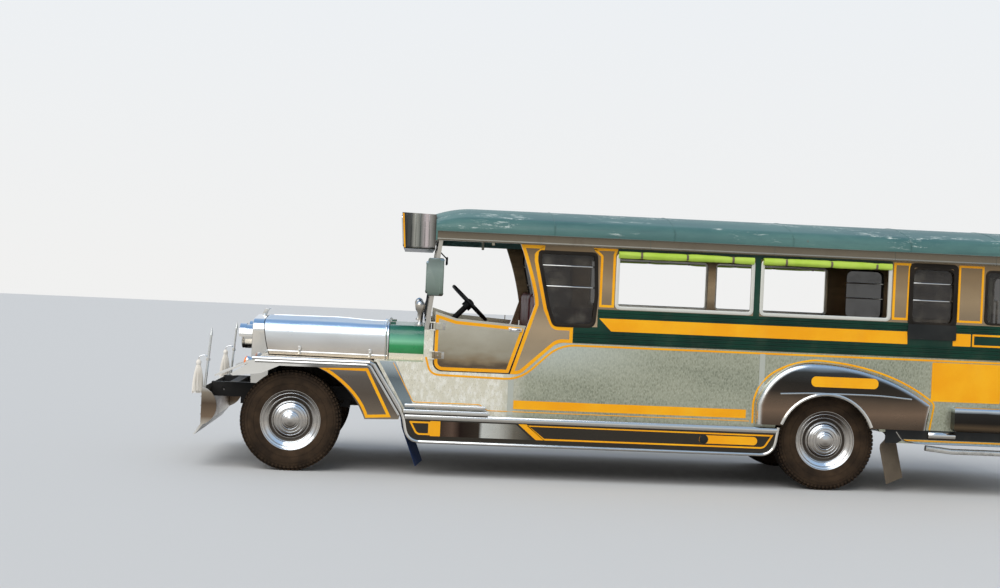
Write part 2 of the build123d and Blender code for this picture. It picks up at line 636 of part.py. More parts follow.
SWEEP_LEVEL, SWEEP_RUN = 70.0, 345.0
SWEEP_RADII = [130.0, 150.0]


def sweep_line(lift=0.0):
    """The body's panel line: along the door's foot, up behind it and back along the belt."""
    return [
        (station(PILLAR_FOOT), DOOR_BOTTOM + lift),
        (station(PILLAR_FOOT + SWEEP_LEVEL), DOOR_BOTTOM + lift),
        (station(PILLAR_FOOT + SWEEP_RUN), BELT_BOTTOM + lift),
        (BODY_REAR - WALL, BELT_BOTTOM + lift),
    ]


ARCH_R = TYRE_R + WHEEL_ROOM
TAIL_NOTCH = 60.0             # panel behind the arch before its lower edge steps down
PANEL_NOSE = 612.0            # foot of the panel's slope behind the fender
DOOR_HINGE_X = station(DOOR_FRONT) - GAP / 2
DOOR_HINGE_Y = BODY_HALF + DOOR_HINGE_R + 2
BRACKET = 8.0
BRACKET_LENGTH = 36.0
BRACKET_ROOM = 1.0            # between a bracket and the door's hinge barrel

# Side panels: silver sheet from the fender's slope to the tail, below the belt, with
# the door hinges' brackets and pins on their front posts
with BuildPart() as side_panels:
    with BuildSketch(side(BODY_HALF)):
        with BuildLine():
            door_edge = station(DOOR_FRONT) - GAP
            sweep_up = FilletPolyline(*sweep_line(), radius=SWEEP_RADII)
            Polyline(
                sweep_up @ 1,
                (BODY_REAR - WALL, TAIL_BOTTOM),
                (REAR_AXLE + ARCH_R + TAIL_NOTCH, TAIL_BOTTOM),
                (REAR_AXLE + ARCH_R + TAIL_NOTCH, SKIRT_TOP),
                (station(BOARD_FRONT), SKIRT_TOP),
                (station(PANEL_NOSE), SHOULDER_Z),
                (station(WINDSCREEN_FOOT), SHOULDER_Z),
                (station(WINDSCREEN_FOOT), SCUTTLE_TOP),
                (door_edge, SCUTTLE_TOP),
                (door_edge, DOOR_BOTTOM + DOOR_CORNER),
            )
            ThreePointArc(
                (door_edge, DOOR_BOTTOM + DOOR_CORNER),
                (door_edge + DOOR_CORNER * BEND, DOOR_BOTTOM + DOOR_CORNER * BEND),
                (door_edge + DOOR_CORNER, DOOR_BOTTOM),
            )
            Line((door_edge + DOOR_CORNER, DOOR_BOTTOM), sweep_up @ 0)
        make_face()
        with Locations((REAR_AXLE, TYRE_R)):
            Circle(ARCH_R, mode=Mode.SUBTRACT)
    extrude(amount=-WALL)
    for z in DOOR_HINGES:
        for end in (-1, 1):
            bracket_z = z + end * (DOOR_HINGE_LENGTH / 2 + BRACKET / 2 + BRACKET_ROOM)
            with BuildSketch(Plane.XY.offset(bracket_z - BRACKET / 2)):
                with Locations((DOOR_HINGE_X, -DOOR_HINGE_Y)):
                    Circle(DOOR_HINGE_R)
                with Locations((
                    DOOR_HINGE_X - BRACKET_LENGTH / 2, -(BODY_HALF + DOOR_HINGE_Y) / 2,
                )):
                    Rectangle(BRACKET_LENGTH, DOOR_HINGE_Y - BODY_HALF)
            extrude(amount=BRACKET)
        with Locations((DOOR_HINGE_X, -DOOR_HINGE_Y, z)):
            Cylinder(DOOR_PIN_R, DOOR_HINGE_LENGTH + 2 * (BRACKET + BRACKET_ROOM))
    mirror(about=Plane.XZ)
save("side_panels", side_panels.part)

# Window walls: B pillar, belt and pillars, cut by the windows in this table
# front, rear, bottom, top, corner radius; front and rear are stations
WINDOWS_FRONT = 2385.0
MULLION, BROAD_POST, WIDE_POST, END_POST = 65.0, 165.0, 239.0, 150.0
DROP_WINDOW, LAST_WINDOW = 336.0, 395.0
DROP_SILL = SILL - 25.0
FIRST_WINDOW_SHARE = 0.511    # of the length that the two long windows share
windows_rear = BODY_REAR - FRONT_AXLE - END_POST
last_front = windows_rear - LAST_WINDOW
drop_front = last_front - WIDE_POST - DROP_WINDOW
long_rear = drop_front - BROAD_POST
long_length = long_rear - WINDOWS_FRONT - MULLION
first_rear = WINDOWS_FRONT + FIRST_WINDOW_SHARE * long_length
WINDOWS = (
    (WINDOWS_FRONT, first_rear, SILL, WINDOW_TOP, 35.0),
    (first_rear + MULLION, long_rear, SILL, WINDOW_TOP, 35.0),
    (drop_front, drop_front + DROP_WINDOW, DROP_SILL, WINDOW_TOP, 70.0),
    (last_front, windows_rear, SILL, WINDOW_TOP, 45.0),
)
# corners of the quarter window behind the pillar: station, height
QUARTER_TOP = WINDOW_TOP - 5.0
QUARTER_NECK = 70.0           # height of the window's upright front edge
QUARTER_WINDOW = ((1800.0, QUARTER_TOP), (1800.0, QUARTER_TOP - QUARTER_NECK),
                  (1880.0, 1290.0), (1925.0, 1165.0), (2225.0, 1165.0), (2240.0, 1400.0),
                  (2225.0, QUARTER_TOP))
QUARTER_CORNER = 30.0
PILLAR_BULGE = (1745.0, (SILL + GUTTER_BOTTOM) / 2 - 60.0)

with BuildPart() as window_walls:
    with BuildSketch(side(BODY_HALF)):
        with BuildLine():
            belt_line = FilletPolyline(*sweep_line(), radius=SWEEP_RADII)
            Polyline(
                belt_line @ 1,
                (BODY_REAR - WALL, GUTTER_BOTTOM),
                (station(PILLAR_HEAD), GUTTER_BOTTOM),
            )
            ThreePointArc(
                (station(PILLAR_HEAD), GUTTER_BOTTOM),
                (station(PILLAR_BULGE[0]), PILLAR_BULGE[1]),
                (station(PILLAR_SILL), SILL),
            )
            Line((station(PILLAR_SILL), SILL), belt_line @ 0)
        make_face()
        for front, rear, bottom, top, corner in WINDOWS:
            with Locations((station((front + rear) / 2), (bottom + top) / 2)):
                RectangleRounded(rear - front, top - bottom, corner, mode=Mode.SUBTRACT)
        with BuildSketch(mode=Mode.SUBTRACT) as quarter:
            with BuildLine():
                Polyline(*[(station(x), z) for x, z in QUARTER_WINDOW], close=True)
            make_face()
            fillet(quarter.vertices(), radius=QUARTER_CORNER)
    extrude(amount=-WALL)
    mirror(about=Plane.XZ)
save("window_walls", window_walls.part)

# Rear fenders: teardrop shells with round edges over the rear wheels
FENDER_SHELL = 16.0
FENDER_BASE = 492.0
REAR_ARCH_R = 358.0
REAR_ARCH_AT = (-30.0, -5.0)  # arch's middle, from the rear axle
REAR_FENDER_EDGE = 55.0
# the outline's places: along from the rear axle, height
TEARDROP_FRONT = (-558.0, 640.0)
TEARDROP_BROW = (-432.0, 858.0)
TEARDROP_CREST = (-120.0, 969.0)
TEARDROP_BACK = (390.0, 885.0)
TEARDROP_TAIL = (775.0, 690.0)
TEARDROP_HEEL = 745.0
BROW_SHARE = 0.7              # part of an inset that the slanting brow takes each way
BACK_SHARE = 0.4


def teardrop(inset=0.0):
    """Side outline of the rear fender, drawn from the rear axle."""
    with BuildLine() as outline:
        front_low = (REAR_AXLE + TEARDROP_FRONT[0] + inset, FENDER_BASE + inset)
        front_mid = (REAR_AXLE + TEARDROP_FRONT[0] + inset, TEARDROP_FRONT[1])
        brow = (
            REAR_AXLE + TEARDROP_BROW[0] + inset * BROW_SHARE,
            TEARDROP_BROW[1] - inset * BROW_SHARE,
        )
        crest = (REAR_AXLE + TEARDROP_CREST[0], TEARDROP_CREST[1] - inset)
        back = (REAR_AXLE + TEARDROP_BACK[0] - inset * BACK_SHARE, TEARDROP_BACK[1] - inset)
        tail = (REAR_AXLE + TEARDROP_TAIL[0] - inset, TEARDROP_TAIL[1])
        heel = (REAR_AXLE + TEARDROP_HEEL - inset, FENDER_BASE + inset)
        Line(front_low, front_mid)
        ThreePointArc(front_mid, brow, crest)
        ThreePointArc(crest, back, tail)
        Polyline(tail, heel, front_low)
    make_face(outline.edges())


def outer_rim(builder):
    """Edges of the outer face of a fender shape, without its foot."""
    return builder.faces().sort_by(Axis.Y)[0].edges().sort_by(Axis.Z)[1:]


with BuildPart() as rear_fenders:
    fender_depth = REAR_FENDER_HALF - BODY_HALF
    with BuildSketch(side(BODY_HALF)):
        teardrop()
    extrude(amount=fender_depth)
    fillet(outer_rim(rear_fenders), radius=REAR_FENDER_EDGE)
    with BuildPart(mode=Mode.SUBTRACT) as hollow:
        with BuildSketch(side(BODY_HALF - 1)):
            teardrop(FENDER_SHELL)
        extrude(amount=fender_depth - FENDER_SHELL + 1)
        fillet(outer_rim(hollow), radius=REAR_FENDER_EDGE - FENDER_SHELL)
    with BuildSketch(side(BODY_HALF)):
        with Locations((REAR_AXLE + REAR_ARCH_AT[0], TYRE_R + REAR_ARCH_AT[1])):
            Circle(REAR_ARCH_R)
    extrude(amount=fender_depth + 1, mode=Mode.SUBTRACT)
    mirror(about=Plane.XZ)
save("rear_fenders", rear_fenders.part)

# Rear wall: full width, with the passengers' doorway and two windows
DOORWAY_HALF = 360.0
DOORWAY_TOP = GUTTER_BOTTOM - 70.0
REAR_POST = 110.0             # outer corner post beside each rear window
REAR_WINDOW_INNER, REAR_WINDOW_OUTER = 450.0, BODY_HALF - REAR_POST
REAR_WINDOW_ROUND = 45.0
REAR_CORNER = 30.0
REAR_CUT_DEPTH = 150.0        # wall cut away under the rails
PLATE_BOLT_R = 3.5
PLATE_BOLT_PITCH = 210.0
PLATE_FROM_SIDE = 260.0
REAR_PLATE_AT = (PLATE_FROM_SIDE - BODY_HALF, 860.0)

with BuildPart() as rear_wall:
    with BuildSketch(Plane.YZ.offset(BODY_REAR - WALL)):
        with Locations((0, (TAIL_BOTTOM + GUTTER_BOTTOM) / 2)):
            Rectangle(2 * BODY_HALF, GUTTER_BOTTOM - TAIL_BOTTOM)
        with Locations((0, (DOORWAY_TOP + RAIL_BOTTOM - REAR_CUT_DEPTH) / 2)):
            Rectangle(
                2 * DOORWAY_HALF, DOORWAY_TOP - RAIL_BOTTOM + REAR_CUT_DEPTH, mode=Mode.SUBTRACT
            )
        with Locations((0, RAIL_BOTTOM)):
            Rectangle(
                2 * (RAIL_HALF + RAIL_WIDTH), REAR_CUT_DEPTH,
                align=(Align.CENTER, Align.MAX), mode=Mode.SUBTRACT,
            )
        for hand in (-1, 1):
            with Locations((
                hand * (REAR_WINDOW_INNER + REAR_WINDOW_OUTER) / 2, (SILL + WINDOW_TOP) / 2,
            )):
                RectangleRounded(
                    REAR_WINDOW_OUTER - REAR_WINDOW_INNER, WINDOW_TOP - SILL, REAR_WINDOW_ROUND,
                    mode=Mode.SUBTRACT,
                )
        with Locations(REAR_PLATE_AT):
            with GridLocations(PLATE_BOLT_PITCH, 0, 2, 1):
                Circle(PLATE_BOLT_R, mode=Mode.SUBTRACT)
    extrude(amount=WALL)
    outer_corners = rear_wall.edges().filter_by(Axis.Z).group_by(Axis.X)[-1].sort_by(Axis.Y)
    fillet([outer_corners[0], outer_corners[-1]], radius=REAR_CORNER)
save("rear_wall", rear_wall.part)

# Roof: an arched shell with gutters and closed ends
ROOF_REAR = BODY_REAR + ROOF_REAR_LIP
ROOF_END = 60.0

SHOULDER_ROUND = 115.0
CROWN_REACH = 240.0           # how far the crown's rounding runs from its corner each way
crown_turn = atan2(ROOF_CROWN - ROOF_SHOULDER, ROOF_HALF - ROOF_FLAT_HALF)
crown_round = CROWN_REACH / tan(crown_turn / 2)


def roof_section(half, bottom, inset=0.0):
    """Cross-section of the roof: upright edges, round shoulders and a gently arched top."""
    flat = ROOF_FLAT_HALF - (ROOF_HALF - half)
    points = [
        (-half, bottom),
        (-half, ROOF_SHOULDER - inset),
        (-flat, ROOF_CROWN - inset),
        (flat, ROOF_CROWN - inset),
        (half, ROOF_SHOULDER - inset),
        (half, bottom),
    ]
    shoulder = SHOULDER_ROUND - inset
    with BuildLine() as outline:
        FilletPolyline(*points, radius=[shoulder, crown_round, crown_round, shoulder])
        Line(points[-1], points[0])
    make_face(outline.edges())


with BuildPart() as roof:
    with BuildSketch(Plane.YZ.offset(station(ROOF_FRONT))):
        roof_section(ROOF_HALF, GUTTER_BOTTOM)
    extrude(amount=ROOF_REAR - station(ROOF_FRONT))
    with BuildSketch(Plane.YZ.offset(station(ROOF_FRONT) + ROOF_END)):
        roof_section(BODY_HALF - WALL, GUTTER_BOTTOM - CUT_PAST, ROOF_THICK)
    extrude(amount=BODY_REAR - WALL - station(ROOF_FRONT) - ROOF_END, mode=Mode.SUBTRACT)
save("roof", roof.part)

# Destination box over the windscreen, against the roof's front
BOX_FRONT_TOP, BOX_FRONT_BOTTOM = 762.0, 785.0
BOX_DROP = 68.0               # box under the roof's crown, and its foot under the gutter
BOX_BOTTOM, BOX_TOP = GUTTER_BOTTOM - BOX_DROP, ROOF_CROWN - BOX_DROP
BOX_IN = 160.0                # box's ends in from the body's sides
BOX_HALF = BODY_HALF - BOX_IN
BOX_TOP_FALL = 6.0
BOX_EDGE = 20.0

with BuildPart() as destination_box:
    with BuildSketch(side(BOX_HALF)):
        with BuildLine():
            Polyline(
                (station(BOX_FRONT_TOP), BOX_TOP),
                (station(ROOF_FRONT), BOX_TOP - BOX_TOP_FALL),
                (station(ROOF_FRONT), BOX_BOTTOM),
                (station(BOX_FRONT_BOTTOM), BOX_BOTTOM),
                close=True,
            )
        make_face()
    extrude(amount=-2 * BOX_HALF)
    fillet(destination_box.edges().filter_by(Axis.X).sort_by(Axis.Z)[-2:], radius=BOX_EDGE)
save("destination_box", destination_box.part)

# Windscreen: a raked frame with two openings, and the glass in them
SCREEN_HALF = BODY_HALF - 40.0
SCREEN_BAR = 45.0
SCREEN_THICK = 30.0
GLASS_THICK = 6.0
GLASS_CORNER = 25.0
screen_rise = GUTTER_BOTTOM - SCUTTLE_TOP

with BuildPart() as windscreen_frame:
    with BuildSketch(side(SCREEN_HALF)):
        with BuildLine():
            Polyline(
                (station(WINDSCREEN_FOOT), SCUTTLE_TOP),
                (station(WINDSCREEN_FOOT + WINDSCREEN_RAKE), GUTTER_BOTTOM),
                (station(WINDSCREEN_FOOT + WINDSCREEN_RAKE) + SCREEN_THICK, GUTTER_BOTTOM),
                (station(WINDSCREEN_FOOT) + SCREEN_THICK, SCUTTLE_TOP),
                close=True,
            )
        make_face()
    extrude(amount=-2 * SCREEN_HALF)
    pane_width = SCREEN_HALF - SCREEN_BAR * 1.5
    pane_height = screen_rise - 2 * SCREEN_BAR
    with BuildSketch(Plane.YZ.offset(station(WINDSCREEN_FOOT) - CUT_PAST)):
        for hand in (-1, 1):
            with Locations((
                hand * (pane_width + SCREEN_BAR) / 2, (SCUTTLE_TOP + GUTTER_BOTTOM) / 2,
            )):
                RectangleRounded(pane_width, pane_height, GLASS_CORNER)
    extrude(amount=WINDSCREEN_RAKE + SCREEN_THICK + 2 * CUT_PAST, mode=Mode.SUBTRACT)
save("windscreen_frame", windscreen_frame.part)

with BuildPart() as windscreen_glass:
    with BuildSketch(Plane.YZ.offset(station(WINDSCREEN_FOOT) - CUT_PAST)):
        for hand in (-1, 1):
            with Locations((
                hand * (pane_width + SCREEN_BAR) / 2, (SCUTTLE_TOP + GUTTER_BOTTOM) / 2,
            )):
                RectangleRounded(pane_width, pane_height, GLASS_CORNER)
    extrude(amount=WINDSCREEN_RAKE + SCREEN_THICK + 2 * CUT_PAST)
    with BuildSketch(side(SCREEN_HALF)):
        with BuildLine():
            glass_in = (SCREEN_THICK - GLASS_THICK) / 2
            Polyline(
                (station(WINDSCREEN_FOOT) + glass_in, SCUTTLE_TOP),
                (station(WINDSCREEN_FOOT + WINDSCREEN_RAKE) + glass_in, GUTTER_BOTTOM),
                (station(WINDSCREEN_FOOT + WINDSCREEN_RAKE) + glass_in + GLASS_THICK, GUTTER_BOTTOM),
                (station(WINDSCREEN_FOOT) + glass_in + GLASS_THICK, SCUTTLE_TOP),
                close=True,
            )
        make_face()
    extrude(amount=-2 * SCREEN_HALF, mode=Mode.INTERSECT)
save("windscreen_glass", windscreen_glass.part)

# Seat bases: two long benches over the wheels and the cab's seat box
BENCH_FRONT = 2060.0
BENCH_END_ROOM = 180.0        # bench's end short of the rear wall
BENCH_INNER = 430.0
BENCH_TOP = 950.0
BENCH_BOARD = 22.0
CAB_SEAT_FRONT, CAB_SEAT_REAR = 1430.0, 1880.0
CAB_SEAT_BASE = 800.0
CAB_SEAT_HALF = BODY_HALF - 80.0
BENCH_REAR = BODY_REAR - BENCH_END_ROOM
BENCH_OUTER = BODY_HALF - WALL

with BuildPart() as seat_bases:
    for hand in (-1, 1):
        with BuildSketch(Plane.YZ.offset(station(BENCH_FRONT))):
            with Locations((
                hand * (BENCH_INNER + BENCH_BOARD / 2), (FLOOR_TOP + BENCH_TOP) / 2,
            )):
                Rectangle(BENCH_BOARD, BENCH_TOP - FLOOR_TOP)
            with Locations((
                hand * (BENCH_INNER + BENCH_OUTER) / 2, BENCH_TOP - BENCH_BOARD / 2,
            )):
                Rectangle(BENCH_OUTER - BENCH_INNER, BENCH_BOARD)
        extrude(amount=BENCH_REAR - station(BENCH_FRONT))
    with Locations((
        station((CAB_SEAT_FRONT + CAB_SEAT_REAR) / 2), 0, (FLOOR_TOP + CAB_SEAT_BASE) / 2,
    )):
        Box(CAB_SEAT_REAR - CAB_SEAT_FRONT, 2 * CAB_SEAT_HALF, CAB_SEAT_BASE - FLOOR_TOP)
save("seat_bases", seat_bases.part)

# Bench cushions and backs along both sides
BENCH_CUSHION = 90.0
BENCH_BACK = 55.0
BENCH_BACK_TOP = 1295.0

with BuildPart() as bench_cushions:
    bench_mid = (station(BENCH_FRONT) + BENCH_REAR) / 2
    bench_length = BENCH_REAR - station(BENCH_FRONT)
    cushion_bottom = BENCH_TOP + SEAT_GAP
    back_bottom = cushion_bottom + BENCH_CUSHION + SEAT_GAP
    for hand in (-1, 1):
        with Locations((
            bench_mid,
            hand * (BENCH_INNER + BENCH_OUTER - SEAT_GAP) / 2,
            cushion_bottom + BENCH_CUSHION / 2,
        )):
            Box(bench_length, BENCH_OUTER - SEAT_GAP - BENCH_INNER, BENCH_CUSHION)
        with Locations((
            bench_mid,
            hand * (BENCH_OUTER - SEAT_GAP - BENCH_BACK / 2),
            (back_bottom + BENCH_BACK_TOP) / 2,
        )):
            Box(bench_length, BENCH_BACK, BENCH_BACK_TOP - back_bottom)
save("bench_cushions", bench_cushions.part)

# Cab seats: cushions and backs for the driver and for the passengers beside
CAB_CUSHION = 120.0
CAB_BACK = 90.0
CAB_BACK_TOP = 1400.0
CAB_SEAT_SIDE = 35.0          # seat box past the seats on each side
CAB_SEAT_SPLIT = 90.0         # between the driver's seat and the other
DRIVER_SHARE = 0.39           # driver's share of the two seats' width
cab_width = 2 * (CAB_SEAT_HALF - CAB_SEAT_SIDE) - CAB_SEAT_SPLIT
driver_width = DRIVER_SHARE * cab_width
guest_width = cab_width - driver_width
# middle and width across the cab
cab_places = (
    (CAB_SEAT_SIDE - CAB_SEAT_HALF + driver_width / 2, driver_width),
    (CAB_SEAT_HALF - CAB_SEAT_SIDE - guest_width / 2, guest_width),
)

with BuildPart() as cab_seats:
    seat_bottom = CAB_SEAT_BASE + SEAT_GAP
    for middle, width in cab_places:
        with Locations((
            station((CAB_SEAT_FRONT + CAB_SEAT_REAR) / 2), middle, seat_bottom + CAB_CUSHION / 2,
        )):
            Box(CAB_SEAT_REAR - CAB_SEAT_FRONT, width, CAB_CUSHION)
        with Locations((
            station(CAB_SEAT_REAR) - CAB_BACK / 2,
            middle,
            (seat_bottom + CAB_CUSHION + SEAT_GAP + CAB_BACK_TOP) / 2,
        )):
            Box(CAB_BACK, width, CAB_BACK_TOP - seat_bottom - CAB_CUSHION - SEAT_GAP)
save("cab_seats", cab_seats.part)

# Steering wheel and its column down to the fire wall
HUB_R = 38.0
HUB_LENGTH = 50.0
SPOKE_WIDTH = 24.0
SPOKE_THICK = 10.0
fire_wall_x = station(HOOD_REAR) + GAP / 2 + SCUTTLE_WALL

with BuildPart() as steering_wheel:
    with BuildSketch(Plane(origin=wheel_at, x_dir=column_dir, z_dir=(0, 1, 0))):
        with Locations((0, STEER_WHEEL_R - STEER_WHEEL_GRIP)):
            Circle(STEER_WHEEL_GRIP)
    revolve(axis=Axis(wheel_at, column_dir))
    with BuildSketch(wheel_plane.offset(-HUB_LENGTH)):
        Circle(HUB_R)
    extrude(amount=HUB_LENGTH)
    with BuildSketch(wheel_plane.offset(-SPOKE_THICK / 2)):
        with PolarLocations((STEER_WHEEL_R - STEER_WHEEL_GRIP) / 2, 3, start_angle=30):
            Rectangle(STEER_WHEEL_R - STEER_WHEEL_GRIP, SPOKE_WIDTH)
    extrude(amount=SPOKE_THICK)
save("steering_wheel", steering_wheel.part)

with BuildPart() as steering_column:
    column_top = wheel_at - column_dir * (HUB_LENGTH + SEAT_GAP)
    column_length = (column_top.X - fire_wall_x) / cos(radians(STEER_COLUMN_DEG))
    with BuildSketch(Plane(origin=column_top, x_dir=(0, 1, 0), z_dir=-column_dir)):
        Circle(COLUMN_R)
    extrude(amount=column_length + COLUMN_R * 2)
    with BuildSketch(Plane.YZ.offset(fire_wall_x)):
        with Locations((STEER_WHEEL_AT[1], wheel_at.Z)):
            Rectangle(8 * COLUMN_R, 4 * wheel_at.Z)
    extrude(amount=-LENGTH, mode=Mode.SUBTRACT)
save("steering_column", steering_column.part)

# Front bumper: a wrapped plate with a lower lip and two guide poles
POLE_HALF = BUMPER_HALF - 50.0
POLE_R = 9.0
POLE_FOOT = (-652.0, 470.0)
POLE_HEAD = (-612.0, 980.0)
SPEAR_R = 13.0
SPEAR_LENGTH = 60.0
LIP_REACH = -716.0
LIP_HEIGHT = 240.0
LIP_PLATE = 12.0
FRONT_PLATE_Z = 520.0

with BuildPart() as front_bumper:
    with BuildSketch(Plane.XY.offset(BUMPER_BOTTOM)):
        with Locations((station((BUMPER_FRONT + BUMPER_BACK) / 2), 0)):
            Rectangle(BUMPER_BACK - BUMPER_FRONT, 2 * BUMPER_HALF)
        with Locations((station((BUMPER_FRONT + BUMPER_BACK) / 2) + BUMPER_PLATE, 0)):
            Rectangle(
                BUMPER_BACK - BUMPER_FRONT, 2 * (BUMPER_HALF - BUMPER_PLATE), mode=Mode.SUBTRACT
            )
    extrude(amount=BUMPER_TOP - BUMPER_BOTTOM)
    fillet(
        front_bumper.edges().filter_by(Axis.Z).group_by(Axis.X)[0], radius=BUMPER_PLATE - 1
    )
    with BuildSketch(side(BUMPER_HALF)):
        with BuildLine():
            end_curve = ThreePointArc(
                (station(BUMPER_FRONT), BUMPER_BOTTOM),
                (station(BUMPER_BACK), (BUMPER_BOTTOM + BUMPER_TOP) / 2),
                (station(BUMPER_FRONT), BUMPER_TOP),
            )
            Line(end_curve @ 1, end_curve @ 0)
        make_face()
        with Locations((station(BUMPER_FRONT) + BUMPER_PLATE / 2, (BUMPER_BOTTOM + BUMPER_TOP) / 2)):
            Rectangle(BUMPER_PLATE + 2, BUMPER_TOP - BUMPER_BOTTOM)
    extrude(amount=-2 * BUMPER_HALF, mode=Mode.INTERSECT)
    with BuildSketch(side(POLE_HALF)):
        with BuildLine():
            Polyline(
                (station(BUMPER_FRONT), BUMPER_BOTTOM + LIP_PLATE),
                (station(LIP_REACH), LIP_HEIGHT),
                (station(LIP_REACH) + LIP_PLATE, LIP_HEIGHT),
                (station(BUMPER_FRONT) + BUMPER_PLATE, BUMPER_BOTTOM),
                close=True,
            )
        make_face()
    extrude(amount=-2 * POLE_HALF)
    for hand in (-1, 1):
        foot = Vector(station(POLE_FOOT[0]), hand * POLE_HALF, POLE_FOOT[1])
        head = Vector(station(POLE_HEAD[0]), hand * POLE_HALF, POLE_HEAD[1])
        with BuildSketch(Plane(origin=foot, z_dir=head - foot)):
            Circle(POLE_R)
        extrude(amount=(head - foot).length)
        with BuildSketch(Plane(origin=head, z_dir=head - foot)):
            Circle(SPEAR_R)
        extrude(amount=SPEAR_LENGTH, taper=degrees(atan2(SPEAR_R - 1, SPEAR_LENGTH)))
    with BuildSketch(Plane.YZ.offset(station(BUMPER_FRONT) - 1)):
        with Locations((0, FRONT_PLATE_Z)):
            with GridLocations(PLATE_BOLT_PITCH, 0, 2, 1):
                Circle(PLATE_BOLT_R)
    extrude(amount=BUMPER_PLATE + 2, mode=Mode.SUBTRACT)
save("front_bumper", front_bumper.part)

# Tassels: a bundle of streamers in front of each guide pole
TASSEL_R = (FRONT_OVERHANG + BUMPER_FRONT - SEAT_GAP) / 2
TASSEL_TOP = 800.0
# distance below the top, radius there
TASSEL_SHAPE = ((8.0, 18.0), (80.0, 26.0), (235.0, TASSEL_R), (260.0, 26.0))

with BuildPart() as tassels:
    tassel_x = -LENGTH / 2 + TASSEL_R
    with BuildSketch(Plane.XZ.offset(POLE_HALF)):
        with BuildLine():
            Polyline(
                (tassel_x, TASSEL_TOP),
                *[(tassel_x + r, TASSEL_TOP - down) for down, r in TASSEL_SHAPE],
                (tassel_x, TASSEL_TOP - TASSEL_SHAPE[-1][0]),
                close=True,
            )
        make_face()
    revolve(axis=Axis((tassel_x, -POLE_HALF, 0), (0, 0, 1)))
    mirror(about=Plane.XZ)
save("tassels", tassels.part)

# Mirrors: a tall head on two arms at each windscreen post
MIRROR_HEIGHT = 280.0
MIRROR_WIDTH = 160.0
MIRROR_THICK = 36.0
MIRROR_AT = (1030.0, BODY_HALF + 60.0, 1485.0)
MIRROR_YAW = 35.0
MIRROR_CORNER = 25.0
MIRROR_ARM_R = 8.0
MIRROR_ARMS = (-80.0, 80.0)   # heights from the mirror's middle

with BuildPart() as mirrors:
    mirror_plane = Plane(
        origin=(station(MIRROR_AT[0]), -MIRROR_AT[1], MIRROR_AT[2]),
        x_dir=(sin(radians(MIRROR_YAW)), -cos(radians(MIRROR_YAW)), 0),
        z_dir=(cos(radians(MIRROR_YAW)), sin(radians(MIRROR_YAW)), 0),
    )
    with BuildSketch(mirror_plane.offset(-MIRROR_THICK / 2)):
        RectangleRounded(MIRROR_WIDTH, MIRROR_HEIGHT, MIRROR_CORNER)
    extrude(amount=MIRROR_THICK)
    for rise in MIRROR_ARMS:
        arm_z = MIRROR_AT[2] + rise
        post_x = WINDSCREEN_FOOT + WINDSCREEN_RAKE * (arm_z - SCUTTLE_TOP) / screen_rise
        with BuildSketch(side(SCREEN_HALF + SEAT_GAP)):
            with Locations((station(post_x) + SCREEN_THICK / 2, arm_z)):
                Circle(MIRROR_ARM_R)
        extrude(amount=MIRROR_AT[1] - SCREEN_HALF)
    mirror(about=Plane.XZ)
save("mirrors", mirrors.part)

# Ceiling rails for standing passengers, hung from the roof
RAIL_GRIP_R = 14.0
CEILING_RAIL_Y = 330.0
RAIL_DROP = 160.0             # rail's middle under the roof's crown
CEILING_RAIL_Z = ROOF_CROWN - RAIL_DROP
HANGER_R = 10.0
HANGERS = 5

with BuildPart() as ceiling_rails:
    with BuildSketch(Plane.YZ.offset(station(BENCH_FRONT))):
        with Locations((-CEILING_RAIL_Y, CEILING_RAIL_Z)):
            Circle(RAIL_GRIP_R)
    extrude(amount=bench_length)
    inner_flat = ROOF_FLAT_HALF - (ROOF_HALF - BODY_HALF + WALL)
    past_flat = max(0.0, CEILING_RAIL_Y + HANGER_R - inner_flat + CROWN_REACH)
    crown_drop = past_flat ** 2 / (2 * crown_round)
    hanger_rise = ROOF_CROWN - ROOF_THICK - crown_drop - SEAT_GAP - CEILING_RAIL_Z
    with Locations((bench_mid, -CEILING_RAIL_Y, CEILING_RAIL_Z)):
        with GridLocations(bench_length / HANGERS, 0, HANGERS, 1):
            Cylinder(HANGER_R, hanger_rise, align=(Align.CENTER, Align.CENTER, Align.MIN))
    mirror(about=Plane.XZ)
save("ceiling_rails", ceiling_rails.part)

# Rolled curtains outside, along the tops of the long windows
CURTAIN_R = 24.0
CURTAIN_DROP = 3.0            # roll's middle under the window's top edge
CURTAIN_END_ROOM = 10.0

with BuildPart() as rolled_curtains:
    for front, rear, bottom, top, corner in WINDOWS[:2]:
        with BuildSketch(Plane.YZ.offset(station(front) + CURTAIN_END_ROOM)):
            with Locations((-(BODY_HALF + CURTAIN_R + SEAT_GAP), top - CURTAIN_DROP)):
                Circle(CURTAIN_R)
        extrude(amount=rear - front - 2 * CURTAIN_END_ROOM)
    mirror(about=Plane.XZ)
save("rolled_curtains", rolled_curtains.part)

# Rear corner bumpers: fat tubes round the tail's corners
CORNER_ROOM = 172.0           # behind the rear fender's tail
CORNER_BOTTOM, CORNER_TOP = 490.0, 678.0
CORNER_THICK = 80.0
CORNER_INNER = 450.0
CORNER_ROUND = 28.0

